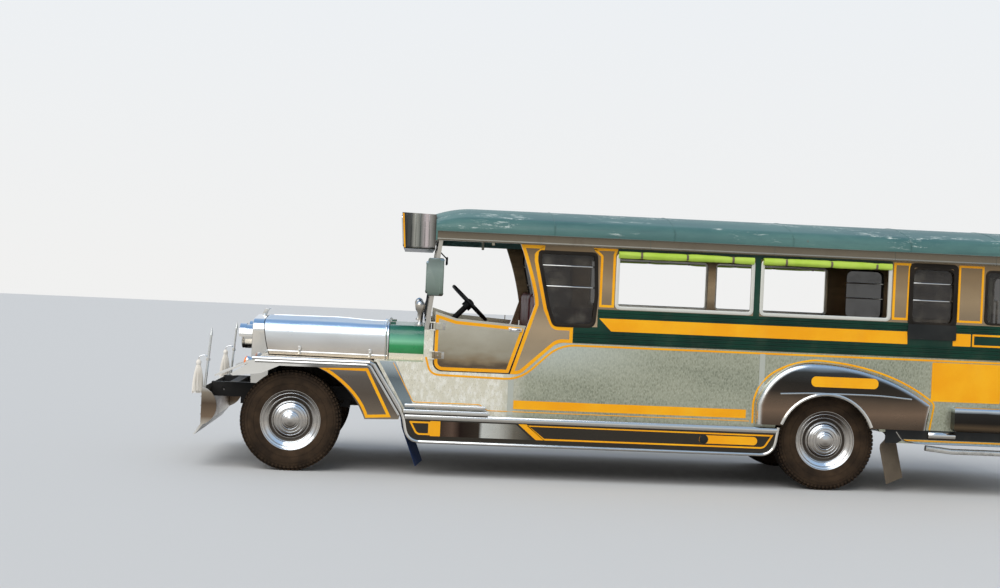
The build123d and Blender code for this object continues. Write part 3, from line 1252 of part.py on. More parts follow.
with BuildPart() as corner_bumpers:
    corner_front = REAR_AXLE + TEARDROP_TAIL[0] + CORNER_ROOM
    with BuildSketch(Plane.XY.offset(CORNER_BOTTOM)):
        with BuildLine():
            FilletPolyline(
                (corner_front, -BODY_HALF - CORNER_THICK / 2),
                (BODY_REAR + CORNER_THICK / 2, -BODY_HALF - CORNER_THICK / 2),
                (BODY_REAR + CORNER_THICK / 2, -CORNER_INNER),
                radius=REAR_CORNER + CORNER_THICK / 2,
            )
        trace(line_width=CORNER_THICK)
    extrude(amount=CORNER_TOP - CORNER_BOTTOM)
    fillet(
        corner_bumpers.faces().filter_by(Axis.Z).edges(), radius=CORNER_ROUND
    )
    mirror(about=Plane.XZ)
save("corner_bumpers", corner_bumpers.part)

# Rear step: a tread plate on two hangers, with a round guard rail each side
HANGER_LENGTH = 180.0
HANGER_BACK = 60.0            # hanger's middle in front of the rear wall's skin
STEP_TOP = 400.0
STEP_THICK = 30.0
STEP_HALF = 430.0
GUARD_R = 22.0
GUARD_LENGTH = 960.0          # guard's front end before the rear wall's skin
GUARD_Z = 335.0
GUARD_BEND = 90.0
GUARD_LEVEL = 200.0           # where the guard turns level behind its front end
GUARD_BACK = 120.0            # guard's rear leg in front of the step's edge
GUARD_DIP = 20.0
GUARD_RISE = 40.0

with BuildPart() as rear_step:
    with Locations((LENGTH / 2 - STEP_REACH / 2, 0, STEP_TOP - STEP_THICK / 2)):
        Box(STEP_REACH, 2 * STEP_HALF, STEP_THICK)
    hanger_z = (STEP_TOP - STEP_THICK + RAIL_BOTTOM) / 2
    with Locations(
        (BODY_REAR - HANGER_BACK, -RAIL_HALF, hanger_z),
        (BODY_REAR - HANGER_BACK, RAIL_HALF, hanger_z),
    ):
        Box(HANGER_LENGTH, RAIL_WIDTH, RAIL_BOTTOM - STEP_TOP + STEP_THICK)
    for hand in (-1, 1):
        with BuildLine() as guard_path:
            FilletPolyline(
                (BODY_REAR - GUARD_LENGTH, hand * BODY_HALF, GUARD_Z + GUARD_DIP),
                (BODY_REAR - GUARD_LENGTH + GUARD_LEVEL, hand * BODY_HALF, GUARD_Z),
                (LENGTH / 2 - GUARD_BACK, hand * BODY_HALF, GUARD_Z),
                (LENGTH / 2 - GUARD_BACK, hand * (STEP_HALF - GUARD_RISE), GUARD_Z + GUARD_RISE),
                radius=GUARD_BEND,
            )
        with BuildSketch(Plane(origin=guard_path.line @ 0, z_dir=guard_path.line % 0)):
            Circle(GUARD_R)
        sweep(path=guard_path.line)
save("rear_step", rear_step.part)


# Wheels: a pressed rim with its cap, running on a spindle; and the tyre round it
# outside of cap, disc and outer flange: out from the middle plane, radius
WHEEL_FACE = (
    (CAP_BULGE, 0.0), (CAP_BULGE - 3.0, 58.0), (84.0, 67.0), (78.0, 100.0), (64.0, 128.0),
    (48.0, CAP_R), (44.0, CAP_R + 15.0), (50.0, 170.0), (64.0, 192.0), (RIM_HALF, 222.0),
)
RIM_SHEET = 9.0
FLANGE_WIDTH = 8.0
WELL_HALF = 60.0
HUB_R_WHEEL = 48.0
DISC_BACK = ((52.0, RIM_SEAT_R - RIM_SHEET), (38.0, 175.0), (34.0, 150.0), (34.0, HUB_R_WHEEL))
SPINDLE_END_ROOM = 10.0


def wheel_section():
    """Half section of rim, disc, cap and hub: local x out from the middle plane, y radius."""
    bore_end = SPINDLE_REACH + SPINDLE_END_ROOM
    with BuildLine() as outline:
        Polyline(
            *WHEEL_FACE,
            (RIM_HALF, RIM_FLANGE_R),
            (RIM_HALF - FLANGE_WIDTH, RIM_FLANGE_R),
            (WELL_HALF, RIM_SEAT_R),
            (-WELL_HALF, RIM_SEAT_R),
            (-RIM_HALF + FLANGE_WIDTH, RIM_FLANGE_R),
            (-RIM_HALF, RIM_FLANGE_R),
            (-RIM_HALF, RIM_SEAT_R),
            (-WELL_HALF, RIM_SEAT_R - RIM_SHEET),
            *DISC_BACK,
            (-WELL_HALF, HUB_R_WHEEL),
            (-WELL_HALF, SPINDLE_R + HUB_CLEAR),
            (bore_end, SPINDLE_R + HUB_CLEAR),
            (bore_end, 0),
            close=True,
        )
    make_face(outline.edges())


TREAD_HALF = 63.0
TREAD_CROWN = 10.0            # tread's middle over its edge
SHOULDER_HALF = 82.0
SHOULDER_R = TYRE_R - 26.0
WALL_WIDEST_R = (TYRE_R + RIM_FLANGE_R) / 2 - 8.0
BEAD_HALF = 56.0
BEAD_R = RIM_FLANGE_R + 2.0


def tyre_section():
    """Half section of the tyre over the rim's seat."""
    with BuildLine() as outline:
        Polyline(
            (SHOULDER_HALF, SHOULDER_R),
            (TREAD_HALF, TYRE_R - TREAD_CROWN),
            (0, TYRE_R),
            (-TREAD_HALF, TYRE_R - TREAD_CROWN),
            (-SHOULDER_HALF, SHOULDER_R),
        )
        ThreePointArc(
            (-SHOULDER_HALF, SHOULDER_R), (-TYRE_WIDTH / 2, WALL_WIDEST_R), (-WELL_HALF, BEAD_R)
        )
        Polyline(
            (-WELL_HALF, BEAD_R), (-BEAD_HALF, RIM_SEAT_R), (BEAD_HALF, RIM_SEAT_R),
            (WELL_HALF, BEAD_R),
        )
        ThreePointArc(
            (WELL_HALF, BEAD_R), (TYRE_WIDTH / 2, WALL_WIDEST_R), (SHOULDER_HALF, SHOULDER_R)
        )
    make_face(outline.edges())


WHEELS = (
    ("front_left", FRONT_AXLE, -FRONT_TRACK / 2),
    ("front_right", FRONT_AXLE, FRONT_TRACK / 2),
    ("rear_left", REAR_AXLE, -REAR_TRACK / 2),
    ("rear_right", REAR_AXLE, REAR_TRACK / 2),
)
for place, axle_x, wheel_y in WHEELS:
    outward = -1 if wheel_y < 0 else 1
    spin_plane = Plane(
        origin=(axle_x, wheel_y, TYRE_R), x_dir=(0, outward, 0), z_dir=(outward, 0, 0)
    )
    spin_axis = Axis((axle_x, wheel_y, TYRE_R), (0, 1, 0))
    with BuildPart() as rim:
        with BuildSketch(spin_plane):
            wheel_section()
        revolve(axis=spin_axis)
    save("wheel_" + place, rim.part)
    with BuildPart() as tyre:
        with BuildSketch(spin_plane):
            tyre_section()
        revolve(axis=spin_axis)
    save("tyre_" + place, tyre.part)

# Knuckles: a fork round the axle's eye, its kingpin, the spindle and a steering arm
FORK_R = 34.0
FORK_THICK = 26.0
FORK_GAP = 5.0
BACK_PLATE_R = 140.0
BACK_PLATE = 12.0
ARM_REACH = 150.0
ARM_SECTION = (30.0, 18.0)
PLATE_ROOM = 4.0              # back plate clear of the fork's gap

with BuildPart() as knuckle_left:
    plate_y = KINGPIN_HALF + EYE_R + FORK_GAP + PLATE_ROOM
    plate_plane = Plane(origin=(FRONT_AXLE, -plate_y, EYE_Z), x_dir=(1, 0, 0), z_dir=(0, -1, 0))
    for end in (-1, 1):
        with Locations((
            FRONT_AXLE, -KINGPIN_HALF, EYE_Z + end * (EYE_HALF + FORK_GAP + FORK_THICK / 2),
        )):
            Cylinder(FORK_R, FORK_THICK)
        with Locations((
            FRONT_AXLE,
            -(KINGPIN_HALF + plate_y + BACK_PLATE) / 2,
            EYE_Z + end * (EYE_HALF + FORK_GAP + FORK_THICK / 2),
        )):
            Box(2 * FORK_R, plate_y + BACK_PLATE - KINGPIN_HALF, FORK_THICK)
    with Locations((FRONT_AXLE, -KINGPIN_HALF, EYE_Z)):
        Cylinder(KINGPIN_R, 2 * (EYE_HALF + FORK_GAP + FORK_THICK))
    with BuildSketch(plate_plane):
        Circle(BACK_PLATE_R)
    extrude(amount=BACK_PLATE)
    with BuildSketch(plate_plane):
        Circle(SPINDLE_R)
    extrude(amount=FRONT_TRACK / 2 + SPINDLE_REACH - plate_y)
    with Locations((
        FRONT_AXLE + ARM_REACH / 2,
        -KINGPIN_HALF,
        EYE_Z - EYE_HALF - FORK_GAP - FORK_THICK / 2,
    )):
        Box(ARM_REACH, *ARM_SECTION)
save("knuckle_left", knuckle_left.part)

with BuildPart() as knuckle_right:
    mirror(knuckle_left.part, about=Plane.XZ)
save("knuckle_right", knuckle_right.part)

# Cab doors: half doors with a sloping rear edge, hinged at the front
HINGE_LEAF = (60.0, 6.0)
HINGE_NECK = (12.0, 10.0)
HINGE_NECK_AT = 8.0
pillar_lean = (PILLAR_SILL - PILLAR_FOOT) / (SILL - DOOR_BOTTOM)

with BuildPart() as door_left:
    with BuildSketch(side(BODY_HALF)):
        with BuildLine():
            foot = DOOR_BOTTOM + GAP
            rear_foot = PILLAR_FOOT - GAP * (1 + pillar_lean)
            rear_head = rear_foot + pillar_lean * (DOOR_TOP_REAR - foot)
            Line((station(DOOR_FRONT), DOOR_TOP_FRONT), (station(DOOR_FRONT), foot + DOOR_CORNER))
            ThreePointArc(
                (station(DOOR_FRONT), foot + DOOR_CORNER),
                (station(DOOR_FRONT) + DOOR_CORNER * BEND, foot + DOOR_CORNER * BEND),
                (station(DOOR_FRONT) + DOOR_CORNER, foot),
            )
            Polyline(
                (station(DOOR_FRONT) + DOOR_CORNER, foot),
                (station(rear_foot), foot),
                (station(rear_head), DOOR_TOP_REAR),
                (station(DOOR_DIP[0]), DOOR_DIP[1]),
                (station(DOOR_FRONT), DOOR_TOP_FRONT),
            )
        make_face()
    extrude(amount=-WALL)
    for z in DOOR_HINGES:
        with BuildSketch(Plane.XY.offset(z - DOOR_HINGE_LENGTH / 2)):
            with Locations((DOOR_HINGE_X, -DOOR_HINGE_Y)):
                Circle(DOOR_HINGE_R)
            with Locations((DOOR_HINGE_X + HINGE_LEAF[0] / 2, -BODY_HALF - HINGE_LEAF[1] / 2)):
                Rectangle(*HINGE_LEAF)
            with Locations((DOOR_HINGE_X + HINGE_NECK_AT, -BODY_HALF - HINGE_NECK[1] / 2)):
                Rectangle(*HINGE_NECK)
            with Locations((DOOR_HINGE_X, -DOOR_HINGE_Y)):
                Circle(DOOR_PIN_R + PIN_GAP, mode=Mode.SUBTRACT)
        extrude(amount=DOOR_HINGE_LENGTH)
save("door_left", door_left.part)

with BuildPart() as door_right:
    mirror(door_left.part, about=Plane.XZ)
save("door_right", door_right.part)

os.makedirs("parts", exist_ok=True)
for name, part in PARTS:
    export_step(part, f"parts/{name}.step")
    print(f"{name}: {len(part.solids())} solids, {part.volume / 1e6:.2f} litres")
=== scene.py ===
"""Looks of a long passenger jeepney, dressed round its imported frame.

Metres. The nose points along -X, the driver sits on the -Y side and the ground is Z = 0.
Stations along the vehicle are written from the front axle, rearwards.
"""

from __future__ import annotations

import logging
import math
import random
from dataclasses import dataclass, field
from enum import Enum
from typing import Any, Callable, Iterable, Sequence

import bmesh
import bpy
from mathutils import Matrix, Vector, noise
from mathutils.bvhtree import BVHTree

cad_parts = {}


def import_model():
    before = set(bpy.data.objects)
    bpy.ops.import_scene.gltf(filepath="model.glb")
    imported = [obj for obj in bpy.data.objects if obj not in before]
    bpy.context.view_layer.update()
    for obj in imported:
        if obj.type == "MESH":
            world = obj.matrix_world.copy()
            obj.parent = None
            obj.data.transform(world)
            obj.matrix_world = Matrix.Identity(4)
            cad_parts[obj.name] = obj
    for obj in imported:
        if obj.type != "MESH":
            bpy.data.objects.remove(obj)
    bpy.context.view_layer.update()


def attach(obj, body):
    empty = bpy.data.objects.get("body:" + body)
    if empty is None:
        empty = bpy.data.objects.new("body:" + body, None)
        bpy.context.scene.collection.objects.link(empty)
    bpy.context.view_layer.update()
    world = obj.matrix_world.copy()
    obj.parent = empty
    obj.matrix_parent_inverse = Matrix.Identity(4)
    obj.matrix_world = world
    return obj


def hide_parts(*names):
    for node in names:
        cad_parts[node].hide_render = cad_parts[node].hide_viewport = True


log = logging.getLogger("jeepney")

Pair = tuple[float, float]
Triple = tuple[float, float, float]
# Six hexadecimal digits of a colour as a display shows it
Colour = str
Stops = tuple[tuple[float, Colour], ...]

FRONT_AXLE = -2.670
REAR_AXLE = 1.360
WHEELBASE = REAR_AXLE - FRONT_AXLE
BODY_HALF = 0.880
FENDER_HALF = 0.9655
TYRE_R = 0.375
BOTH_SIDES = (-1.0, 1.0)
PLAIN = (1.0, 1.0, 1.0)


def at(station: float) -> float:
    """X of a place that lies this far behind the front axle."""
    return FRONT_AXLE + station


def clamp(value: float) -> float:
    """The value, held between 0 and 1."""
    return max(0.0, min(1.0, value))


def linear(colour: Colour) -> tuple[float, float, float, float]:
    """Turn a display colour into a linear one.

    Args:
        colour: Six hexadecimal digits.

    Returns:
        Red, green and blue, and an alpha of 1.
    """
    parts = []
    for start in (0, 2, 4):
        share = int(colour[start:start + 2], 16) / 255
        parts.append(share / 12.92 if share <= 0.04045 else ((share + 0.055) / 1.055) ** 2.4)
    return (parts[0], parts[1], parts[2], 1.0)


class Term:
    """A shader socket that takes part in Python expressions."""

    def __init__(self, graph: "Graph", socket: bpy.types.NodeSocket) -> None:
        """Keep the socket and the graph that it belongs to."""
        self.graph = graph
        self.socket = socket

    def math(self, operation: str, first: Any, second: Any) -> "Term":
        """Result of one Math node."""
        return self.graph.node("ShaderNodeMath", {"operation": operation}, {0: first, 1: second})

    def __add__(self, other: Any) -> "Term":
        """Sum."""
        return self.math("ADD", self, other)

    def __sub__(self, other: Any) -> "Term":
        """Difference."""
        return self.math("SUBTRACT", self, other)

    def __rsub__(self, other: Any) -> "Term":
        """Difference with a number on the left."""
        return self.math("SUBTRACT", other, self)

    def __radd__(self, other: Any) -> "Term":
        """Sum with a number on the left."""
        return self.math("ADD", other, self)

    def __mul__(self, other: Any) -> "Term":
        """Product."""
        return self.math("MULTIPLY", self, other)

    def band(self, low: float, high: float) -> "Term":
        """Mask that rises smoothly from 0 to 1 as the value goes from low to high."""
        return self.graph.node(
            "ShaderNodeMapRange", {"interpolation_type": "SMOOTHSTEP"},
            {"Value": self, "From Min": low, "From Max": high, "To Min": 0.0, "To Max": 1.0},
        )

    def over(self, low: float, high: float) -> "Term":
        """Map the value from 0 to 1 onto the span from low to high."""
        return self * (high - low) + low


class Graph:
    """The node tree of a material or of the world."""

    def __init__(self, owner: bpy.types.Material | bpy.types.World) -> None:
        """Empty the owner's tree."""
        owner.use_nodes = True
        self.tree = owner.node_tree
        self.tree.nodes.clear()

    def node(
        self, kind: str, settings: dict[str, Any] | None = None,
        inputs: dict[Any, Any] | None = None, output: int | str = 0,
    ) -> Term:
        """Add a node.

        Args:
            kind: The node's type.
            settings: The node's own settings, set before its sockets.
            inputs: Links, colours or other values, by socket name or number.
            output: The output that the result carries.

        Returns:
            The chosen output.
        """
        made = self.tree.nodes.new(kind)
        for key, value in (settings or {}).items():
            setattr(made, key, value)
        for key, value in (inputs or {}).items():
            if isinstance(value, Term):
                self.tree.links.new(value.socket, made.inputs[key])
            else:
                made.inputs[key].default_value = linear(value) if isinstance(value, str) else value
        return Term(self, made.outputs[output] if made.outputs else None)

    def place(self, scale: Triple = PLAIN, turn: Triple = (0.0, 0.0, 0.0)) -> Term:
        """Object coordinates, stretched and turned."""
        spot = self.node("ShaderNodeTexCoord", output="Object")
        return self.node("ShaderNodeMapping", None, {"Vector": spot, "Scale": scale, "Rotation": turn})

    def axis(self, vector: Term, which: str) -> Term:
        """One component of a vector, named X, Y or Z."""
        return self.node("ShaderNodeSeparateXYZ", None, {"Vector": vector}, which)

    def facing(self, which: str = "Z") -> Term:
        """One component of the surface's own normal."""
        return self.axis(self.node("ShaderNodeTexCoord", output="Normal"), which)

    def noise(
        self, scale: float, detail: float = 3.0, stretch: Triple = PLAIN, rough: float = 0.55
    ) -> Term:
        """Cloudy noise on object coordinates, from 0 to 1."""
        return self.node("ShaderNodeTexNoise", None, {
            "Vector": self.place(stretch), "Scale": scale, "Detail": detail, "Roughness": rough})

    def cells(self, scale: float, stretch: Triple = PLAIN) -> Term:
        """Distance to the nearest point of a cell pattern."""
        return self.node("ShaderNodeTexVoronoi", None, {"Vector": self.place(stretch), "Scale": scale})

    def waves(self, direction: str, scale: float, turn: float = 0.0) -> Term:
        """Even waves along X, Y or Z, turned about the upright."""
        return self.node(
            "ShaderNodeTexWave", {"wave_type": "BANDS", "bands_direction": direction},
            {"Vector": self.place(turn=(0.0, 0.0, turn)), "Scale": scale, "Distortion": 0.0},
        )

    def ramp(self, factor: Term, stops: Iterable[tuple[float, Colour]]) -> Term:
        """Look a value up in a colour ramp.

        Args:
            factor: Value from 0 to 1.
            stops: Place and colour of each stop.

        Returns:
            The colour.
        """
        stops = list(stops)
        tone = self.node("ShaderNodeValToRGB", None, {0: factor})
        elements = tone.socket.node.color_ramp.elements
        while len(elements) < len(stops):
            elements.new(0.5)
        for element, (position, colour) in zip(elements, stops):
            element.position = position
            element.color = linear(colour)
        return tone

    def graded(self, value: Term, stops: Stops) -> Term:
        """Look a value up in a colour ramp that is given in the value's own units.

        Args:
            value: The value.
            stops: Place and colour of each stop, in order.

        Returns:
            The colour.
        """
        low, high = stops[0][0], stops[-1][0]
        share = (value - low) * (1.0 / (high - low))
        return self.ramp(share, [((place - low) / (high - low), colour) for place, colour in stops])

    def mix(self, factor: Term | float, first: Term | Colour, second: Term | Colour) -> Term:
        """First colour where the factor is 0, second where it is 1."""
        return self.node("ShaderNodeMix", {"data_type": "RGBA"}, {0: factor, 6: first, 7: second}, 2)

    def bump(self, height: Term, strength: float, distance: float = 0.001) -> Term:
        """Normal of a surface with this height pattern."""
        return self.node(
            "ShaderNodeBump", None, {"Height": height, "Strength": strength, "Distance": distance})

    def surface(self, **inputs: Any) -> None:
        """Close a material's tree with a Principled shader.

        Args:
            **inputs: The shader's sockets, with spaces written as underscores.
        """
        named = {key.replace("_", " "): value for key, value in inputs.items()}
        shader = self.node("ShaderNodeBsdfPrincipled", None, named)
        self.node("ShaderNodeOutputMaterial", None, {"Surface": shader})


@dataclass(frozen=True)
class Finish:
    """A finish that builds its material once.

    The slot is the record's material slot, or nothing where the record has none. The name
    differs from every slot, because the frame brings a plain material for each slot.
    """

    name: str
    slot: str = ""

    def paint(self, g: Graph) -> None:
        """Build the finish in an empty tree."""
        raise NotImplementedError

    def material(self) -> bpy.types.Material:
        """The material, made the first time it is asked for."""
        material = bpy.data.materials.get(self.name)
        if material is None:
            material = bpy.data.materials.new(self.name)
            self.paint(Graph(material))
        return material


@dataclass(frozen=True)
class BrightSteel(Finish):
    """Polished or brushed sheet with painted reflection and shade that follow the way it faces."""

    # Painted reflection and shade: up is painted sky reflection, level painted street reflection, down
    # painted shade.
    up: Colour = "cedae8"
    level: Colour = "cdc8be"
    down: Colour = "463e37"
    rough: float = 0.12
    dents: float = 0.25
    grime: float = 0.35
    swing: float = 0.5

    def paint(self, g: Graph) -> None:
        """Painted sky reflection where it faces up and painted shade where it faces down, smears in the
        roughness and shallow dents.
        """
        facing = g.facing() * self.swing + 0.5
        # Painted reflection and shade, graded by how far the normal points up or down.
        stops = (0.12, self.down), (0.42, self.level), (0.60, self.level), (0.95, self.up)
        tone = g.ramp(facing, stops)
        smear = g.noise(7.0, 4.0, (0.6, 1.0, 2.4))
        grain = g.noise(160.0, 2.0, (0.12, 1.0, 1.0))
        dirt = g.noise(3.2, 6.0, rough=0.7).band(0.55, 0.82) * self.grime
        g.surface(
            Base_Color=g.mix(dirt, tone, "685c4e"),
            Metallic=1.0,
            Roughness=smear.over(self.rough * 0.6, self.rough * 1.6) + grain * 0.06 + dirt * 0.3,
            Normal=g.bump(g.noise(2.6, 1.0) + grain * 0.004, self.dents, 0.02),
        )


@dataclass(frozen=True)
class MirroredSteel(Finish):
    """Bright panel with the street and sky painted on as soft bands of reflection along one axis."""

    # bands: painted reflection of street and sky; up: painted sky reflection; rim: painted highlight on
    # edges that turn away.
    bands: Stops = ()
    waver: float = 0.03
    rough: float = 0.16
    up: Colour = "ced8e4"
    along: str = "Z"
    rim: Colour = ""
    ripple: float = 2.4
    bright_before: float | None = None

    def paint(self, g: Graph) -> None:
        """Painted reflection bands by place with a wavering edge, painted highlight where the sheet faces
        up or turns away, painted shade where it faces down.
        """
        wander = g.noise(self.ripple, 3.0, (0.7, 1.0, 1.6)) - 0.5
        tone = g.graded(g.axis(g.place(), self.along) + wander * (self.waver * 2.4), self.bands)
        # Painted highlight in front of this station.
        if self.bright_before is not None:
            edge = self.bright_before
            tone = g.mix(g.axis(g.place(), "X").band(edge - 0.08, edge + 0.08), self.up, tone)
        # Painted highlight where the sheet turns away from the side.
        if self.rim:
            sideways = g.facing("Y")
            tone = g.mix(1.0 - (sideways * sideways).band(0.55, 0.97), tone, self.rim)
        facing = g.facing()
        # Painted sky reflection where the sheet faces up, and painted shade where it faces down.
        tone = g.mix(facing.band(0.12, 0.85), tone, self.up)
        tone = g.mix(1.0 - facing.band(-0.9, -0.2), tone, "342e28")
        smear = g.noise(7.0, 4.0, (0.6, 1.0, 2.4))
        fine = g.noise(190.0, 2.0, (1.0, 1.0, 0.25))
        dirt = g.noise(3.4, 6.0, rough=0.7).band(0.55, 0.85) * 0.3
        g.surface(
            Base_Color=g.mix(dirt, tone, "625648"),
            Metallic=1.0,
            Roughness=smear.over(self.rough * 0.7, self.rough * 1.8) + dirt * 0.4,
            Normal=g.bump(g.noise(2.6, 1.0) + fine * 0.006, 0.25, 0.02),
        )


@dataclass(frozen=True)
class SwirledSheet(Finish):
    """Bright galvanised sheet, polished in small swirls and spangled."""

    base: Colour = "a3a48f"
    light: Colour = "d8d8c2"
    shade: Colour = "7a7f6c"

    def paint(self, g: Graph) -> None:
        """Fine upright flecks over a cloudy sheet, a painted sheen high up towards the front, and painted
        glare, bright and scaly, below the cab.
        """
        spot = g.place()
        along = g.axis(spot, "X")
        height = g.axis(spot, "Z")
        cloud = g.noise(1.3, 4.0, (0.6, 1.0, 1.6))
        fleck = g.noise(150.0, 2.0, (1.0, 1.0, 0.36), 0.6).band(0.46, 0.72)
        dark = g.noise(120.0, 2.0, (1.0, 1.0, 0.5), 0.6).band(0.5, 0.74)
        spangle = g.cells(60.0, (1.0, 1.0, 0.7))
        scales = g.noise(38.0, 3.0, (1.0, 1.0, 0.55), 0.6).band(0.42, 0.68)
        # Painted glare: the sheet below the cab is painted bright cream with scale-like ripples.
        glare_near_cab = 1.0 - along.band(at(1.50), at(1.78))
        # Painted sheen high up on the front half of the sheet.
        sheen = (1.0 - along.band(at(1.80), at(2.90))) * height.band(0.70, 1.02)
        tone = g.mix(cloud.band(0.25, 0.75), self.shade, self.base)
        tone = g.mix(spangle.band(0.1, 0.7) * 0.25, tone, self.light)
        tone = g.mix(dark * 0.22, tone, self.shade)
        tone = g.mix(fleck * 0.42, tone, self.light)
        # Painted sheen, then painted glare below the cab.
        tone = g.mix(sheen * 0.55, tone, "ced6d0")
        tone = g.mix(glare_near_cab * 0.85, tone, g.mix(scales, "e2dcc8", "faf6ea"))
        grime = g.noise(4.0, 6.0, (1.0, 1.0, 0.5), 0.7).band(0.62, 0.88) * 0.28
        g.surface(
            Base_Color=g.mix(grime, tone, "6e6858"),
            Metallic=0.85 - glare_near_cab * 0.45,
            Roughness=0.42 - fleck * 0.10 - glare_near_cab * 0.08 + grime * 0.4,
            Normal=g.bump(spangle * 0.5 + fleck * 0.3 + scales * 0.2, 0.2, 0.002),
        )


@dataclass(frozen=True)
class GlossPaint(Finish):
    """Old gloss paint with a coat, dust and small chips to the metal."""

    colour: Colour = "145032"
    faded: Colour = "1e5f42"
    chip: Colour = "969288"
    chips: float = 0.2
    rough: float = 0.26
    coat: float = 0.3
    gloss: float = 0.35

    def paint(self, g: Graph) -> None:
        """Slow change of tone, dust, hairline scratches and chips."""
        cloud = g.noise(3.0, 5.0)
        body = g.mix(cloud.band(0.35, 0.7), self.colour, self.faded)
        scratch = g.noise(46.0, 3.0, (0.10, 1.0, 1.0), 0.75).band(0.70, 0.78)
        spots = g.noise(95.0, 3.0, rough=0.6).band(0.70, 0.76) * g.noise(5.0).band(0.45, 0.6)
        worn = (scratch * 0.5 + spots) * self.chips
        dust = g.noise(5.5, 5.0, (1.0, 1.0, 0.6)).band(0.5, 0.85)
        g.surface(
            Base_Color=g.mix(dust * 0.08, g.mix(worn, body, self.chip), "968a74"),
            Roughness=dust.over(self.rough, self.rough + 0.25),
            Specular_IOR_Level=self.gloss,
            Coat_Weight=self.coat,
            Coat_Roughness=0.12,
            Normal=g.bump(cloud * 0.4 - worn, 0.25, 0.0012),
        )


@dataclass(frozen=True)
class CowlPaint(Finish):
    """Green gloss paint with a painted highlight along its shoulder, on bright sheet whose pale cream is
    partly painted glare.
    """

    # Green paint graded by height as painted reflection, with a painted highlight band at 0.985 to 1.015.
    tones: Stops = (
        (0.892, "10763a"), (0.950, "1a8e50"), (0.985, "80c8a4"), (1.015, "60aa90"),
        (1.050, "28705c"), (1.1215, "1c5c4c"), (1.1225, "aaaca8"),
    )
    # Bare sheet: steel, its pale cream partly painted glare.
    sheet: Colour = "ece4d0"

    def paint(self, g: Graph) -> None:
        """Paint on the sides and top, with painted reflection and highlight in its tones, and bare sheet
        in the low band.
        """
        height = g.axis(g.place(), "Z")
        low = self.tones[0][0]
        painted = height.band(low - 0.001, low + 0.001)
        cloud = g.noise(5.0, 4.0)
        tone = g.mix(cloud.band(0.5, 0.9) * 0.2, g.graded(height, self.tones), "78b08c")
        bare = 1.0 - painted
        g.surface(
            Base_Color=g.mix(bare, tone, self.sheet),
            Metallic=bare,
            Roughness=cloud.over(0.20, 0.36),
            Coat_Weight=painted * 0.3,
            Coat_Roughness=0.1,
            Normal=g.bump(cloud, 0.15, 0.002),
        )


@dataclass(frozen=True)
class RoofPaint(Finish):
    """Faded blue-green roof sheet with scuffs to the white undercoat."""

    teal: Colour = "38605d"
    pale: Colour = "547c74"
    dark: Colour = "244244"
    lining: Colour = "c4beac"

    def paint(self, g: Graph) -> None:
        """Weathered paint outside and a cream lining where the shell faces down."""
        fade = g.noise(1.4, 6.0, (0.5, 1.0, 1.0), 0.65)
        colour = g.mix(fade.band(0.3, 0.72), self.teal, self.pale)
        streak = g.noise(9.0, 4.0, (0.16, 1.0, 3.0)).band(0.5, 0.8)
        colour = g.mix(streak * 0.5, colour, self.dark)
        spread = g.noise(2.2, 2.0, (0.8, 2.0, 1.0)).band(0.48, 0.58)
        ragged = g.noise(22.0, 6.0, (0.35, 1.0, 1.8), 0.78).band(0.54, 0.62)
        scuff = spread * ragged * g.facing().band(0.05, 0.35)
        colour = g.mix(scuff * 0.85, colour, "d6e0da")
        rust = g.noise(17.0, 4.0, rough=0.7).band(0.68, 0.76) * 0.5
        colour = g.mix(rust, colour, "604632")
        inside = 1.0 - g.facing().band(-0.45, -0.25)
        g.surface(
            Base_Color=g.mix(inside, colour, self.lining),
            Roughness=fade.over(0.38, 0.62) + scuff * 0.2,
            Coat_Weight=0.12,
            Normal=g.bump(g.noise(2.0, 2.0) * 4.0 + scuff, 0.2, 0.004),
        )


@dataclass(frozen=True)
class TyreRubber(Finish):
    """Black rubber under brown road dust."""

    rubber: Colour = "14110f"
    dust: Colour = "503f2f"

    def paint(self, g: Graph) -> None:
        """Dust in soft rings and patches."""
        patch = g.noise(9.0, 5.0)
        fine = g.noise(140.0, 2.0)
        wall = g.facing("Y")
        side = (wall * wall).band(0.15, 0.8)
        dusty = side * 0.20 + patch.band(0.25, 0.85) * (side * 0.36 + 0.20) + fine * 0.06
        g.surface(
            Base_Color=g.mix(dusty, self.rubber, self.dust),
            Roughness=fine.over(0.72, 0.9),
            Specular_IOR_Level=0.12,
            Normal=g.bump(fine + patch, 0.35, 0.0008),
        )


@dataclass(frozen=True)
class Clear(Finish):
    """Clear or coloured glass and lens plastic."""

    colour: Colour = "d6e2de"
    alpha: float = 0.24
    rough: float = 0.03
    ribs: float = 0.0
    glow: float = 0.0

    def paint(self, g: Graph) -> None:
        """Thin glass with faint dust, or a ribbed lens."""
        dust = g.noise(7.0, 5.0).band(0.45, 0.9)
        fine = g.noise(90.0, 2.0)
        g.surface(
            Base_Color=g.mix(dust * 0.25, self.colour, "beb6a4"),
            Roughness=dust.over(self.rough, self.rough + 0.10),
            Alpha=dust.over(self.alpha, min(1.0, self.alpha + 0.10)),
            Emission_Color=self.colour,
            Emission_Strength=self.glow,
            Normal=g.bump(g.waves("Z", 40.0) * self.ribs + fine * 0.02, 0.4, 0.002),
        )


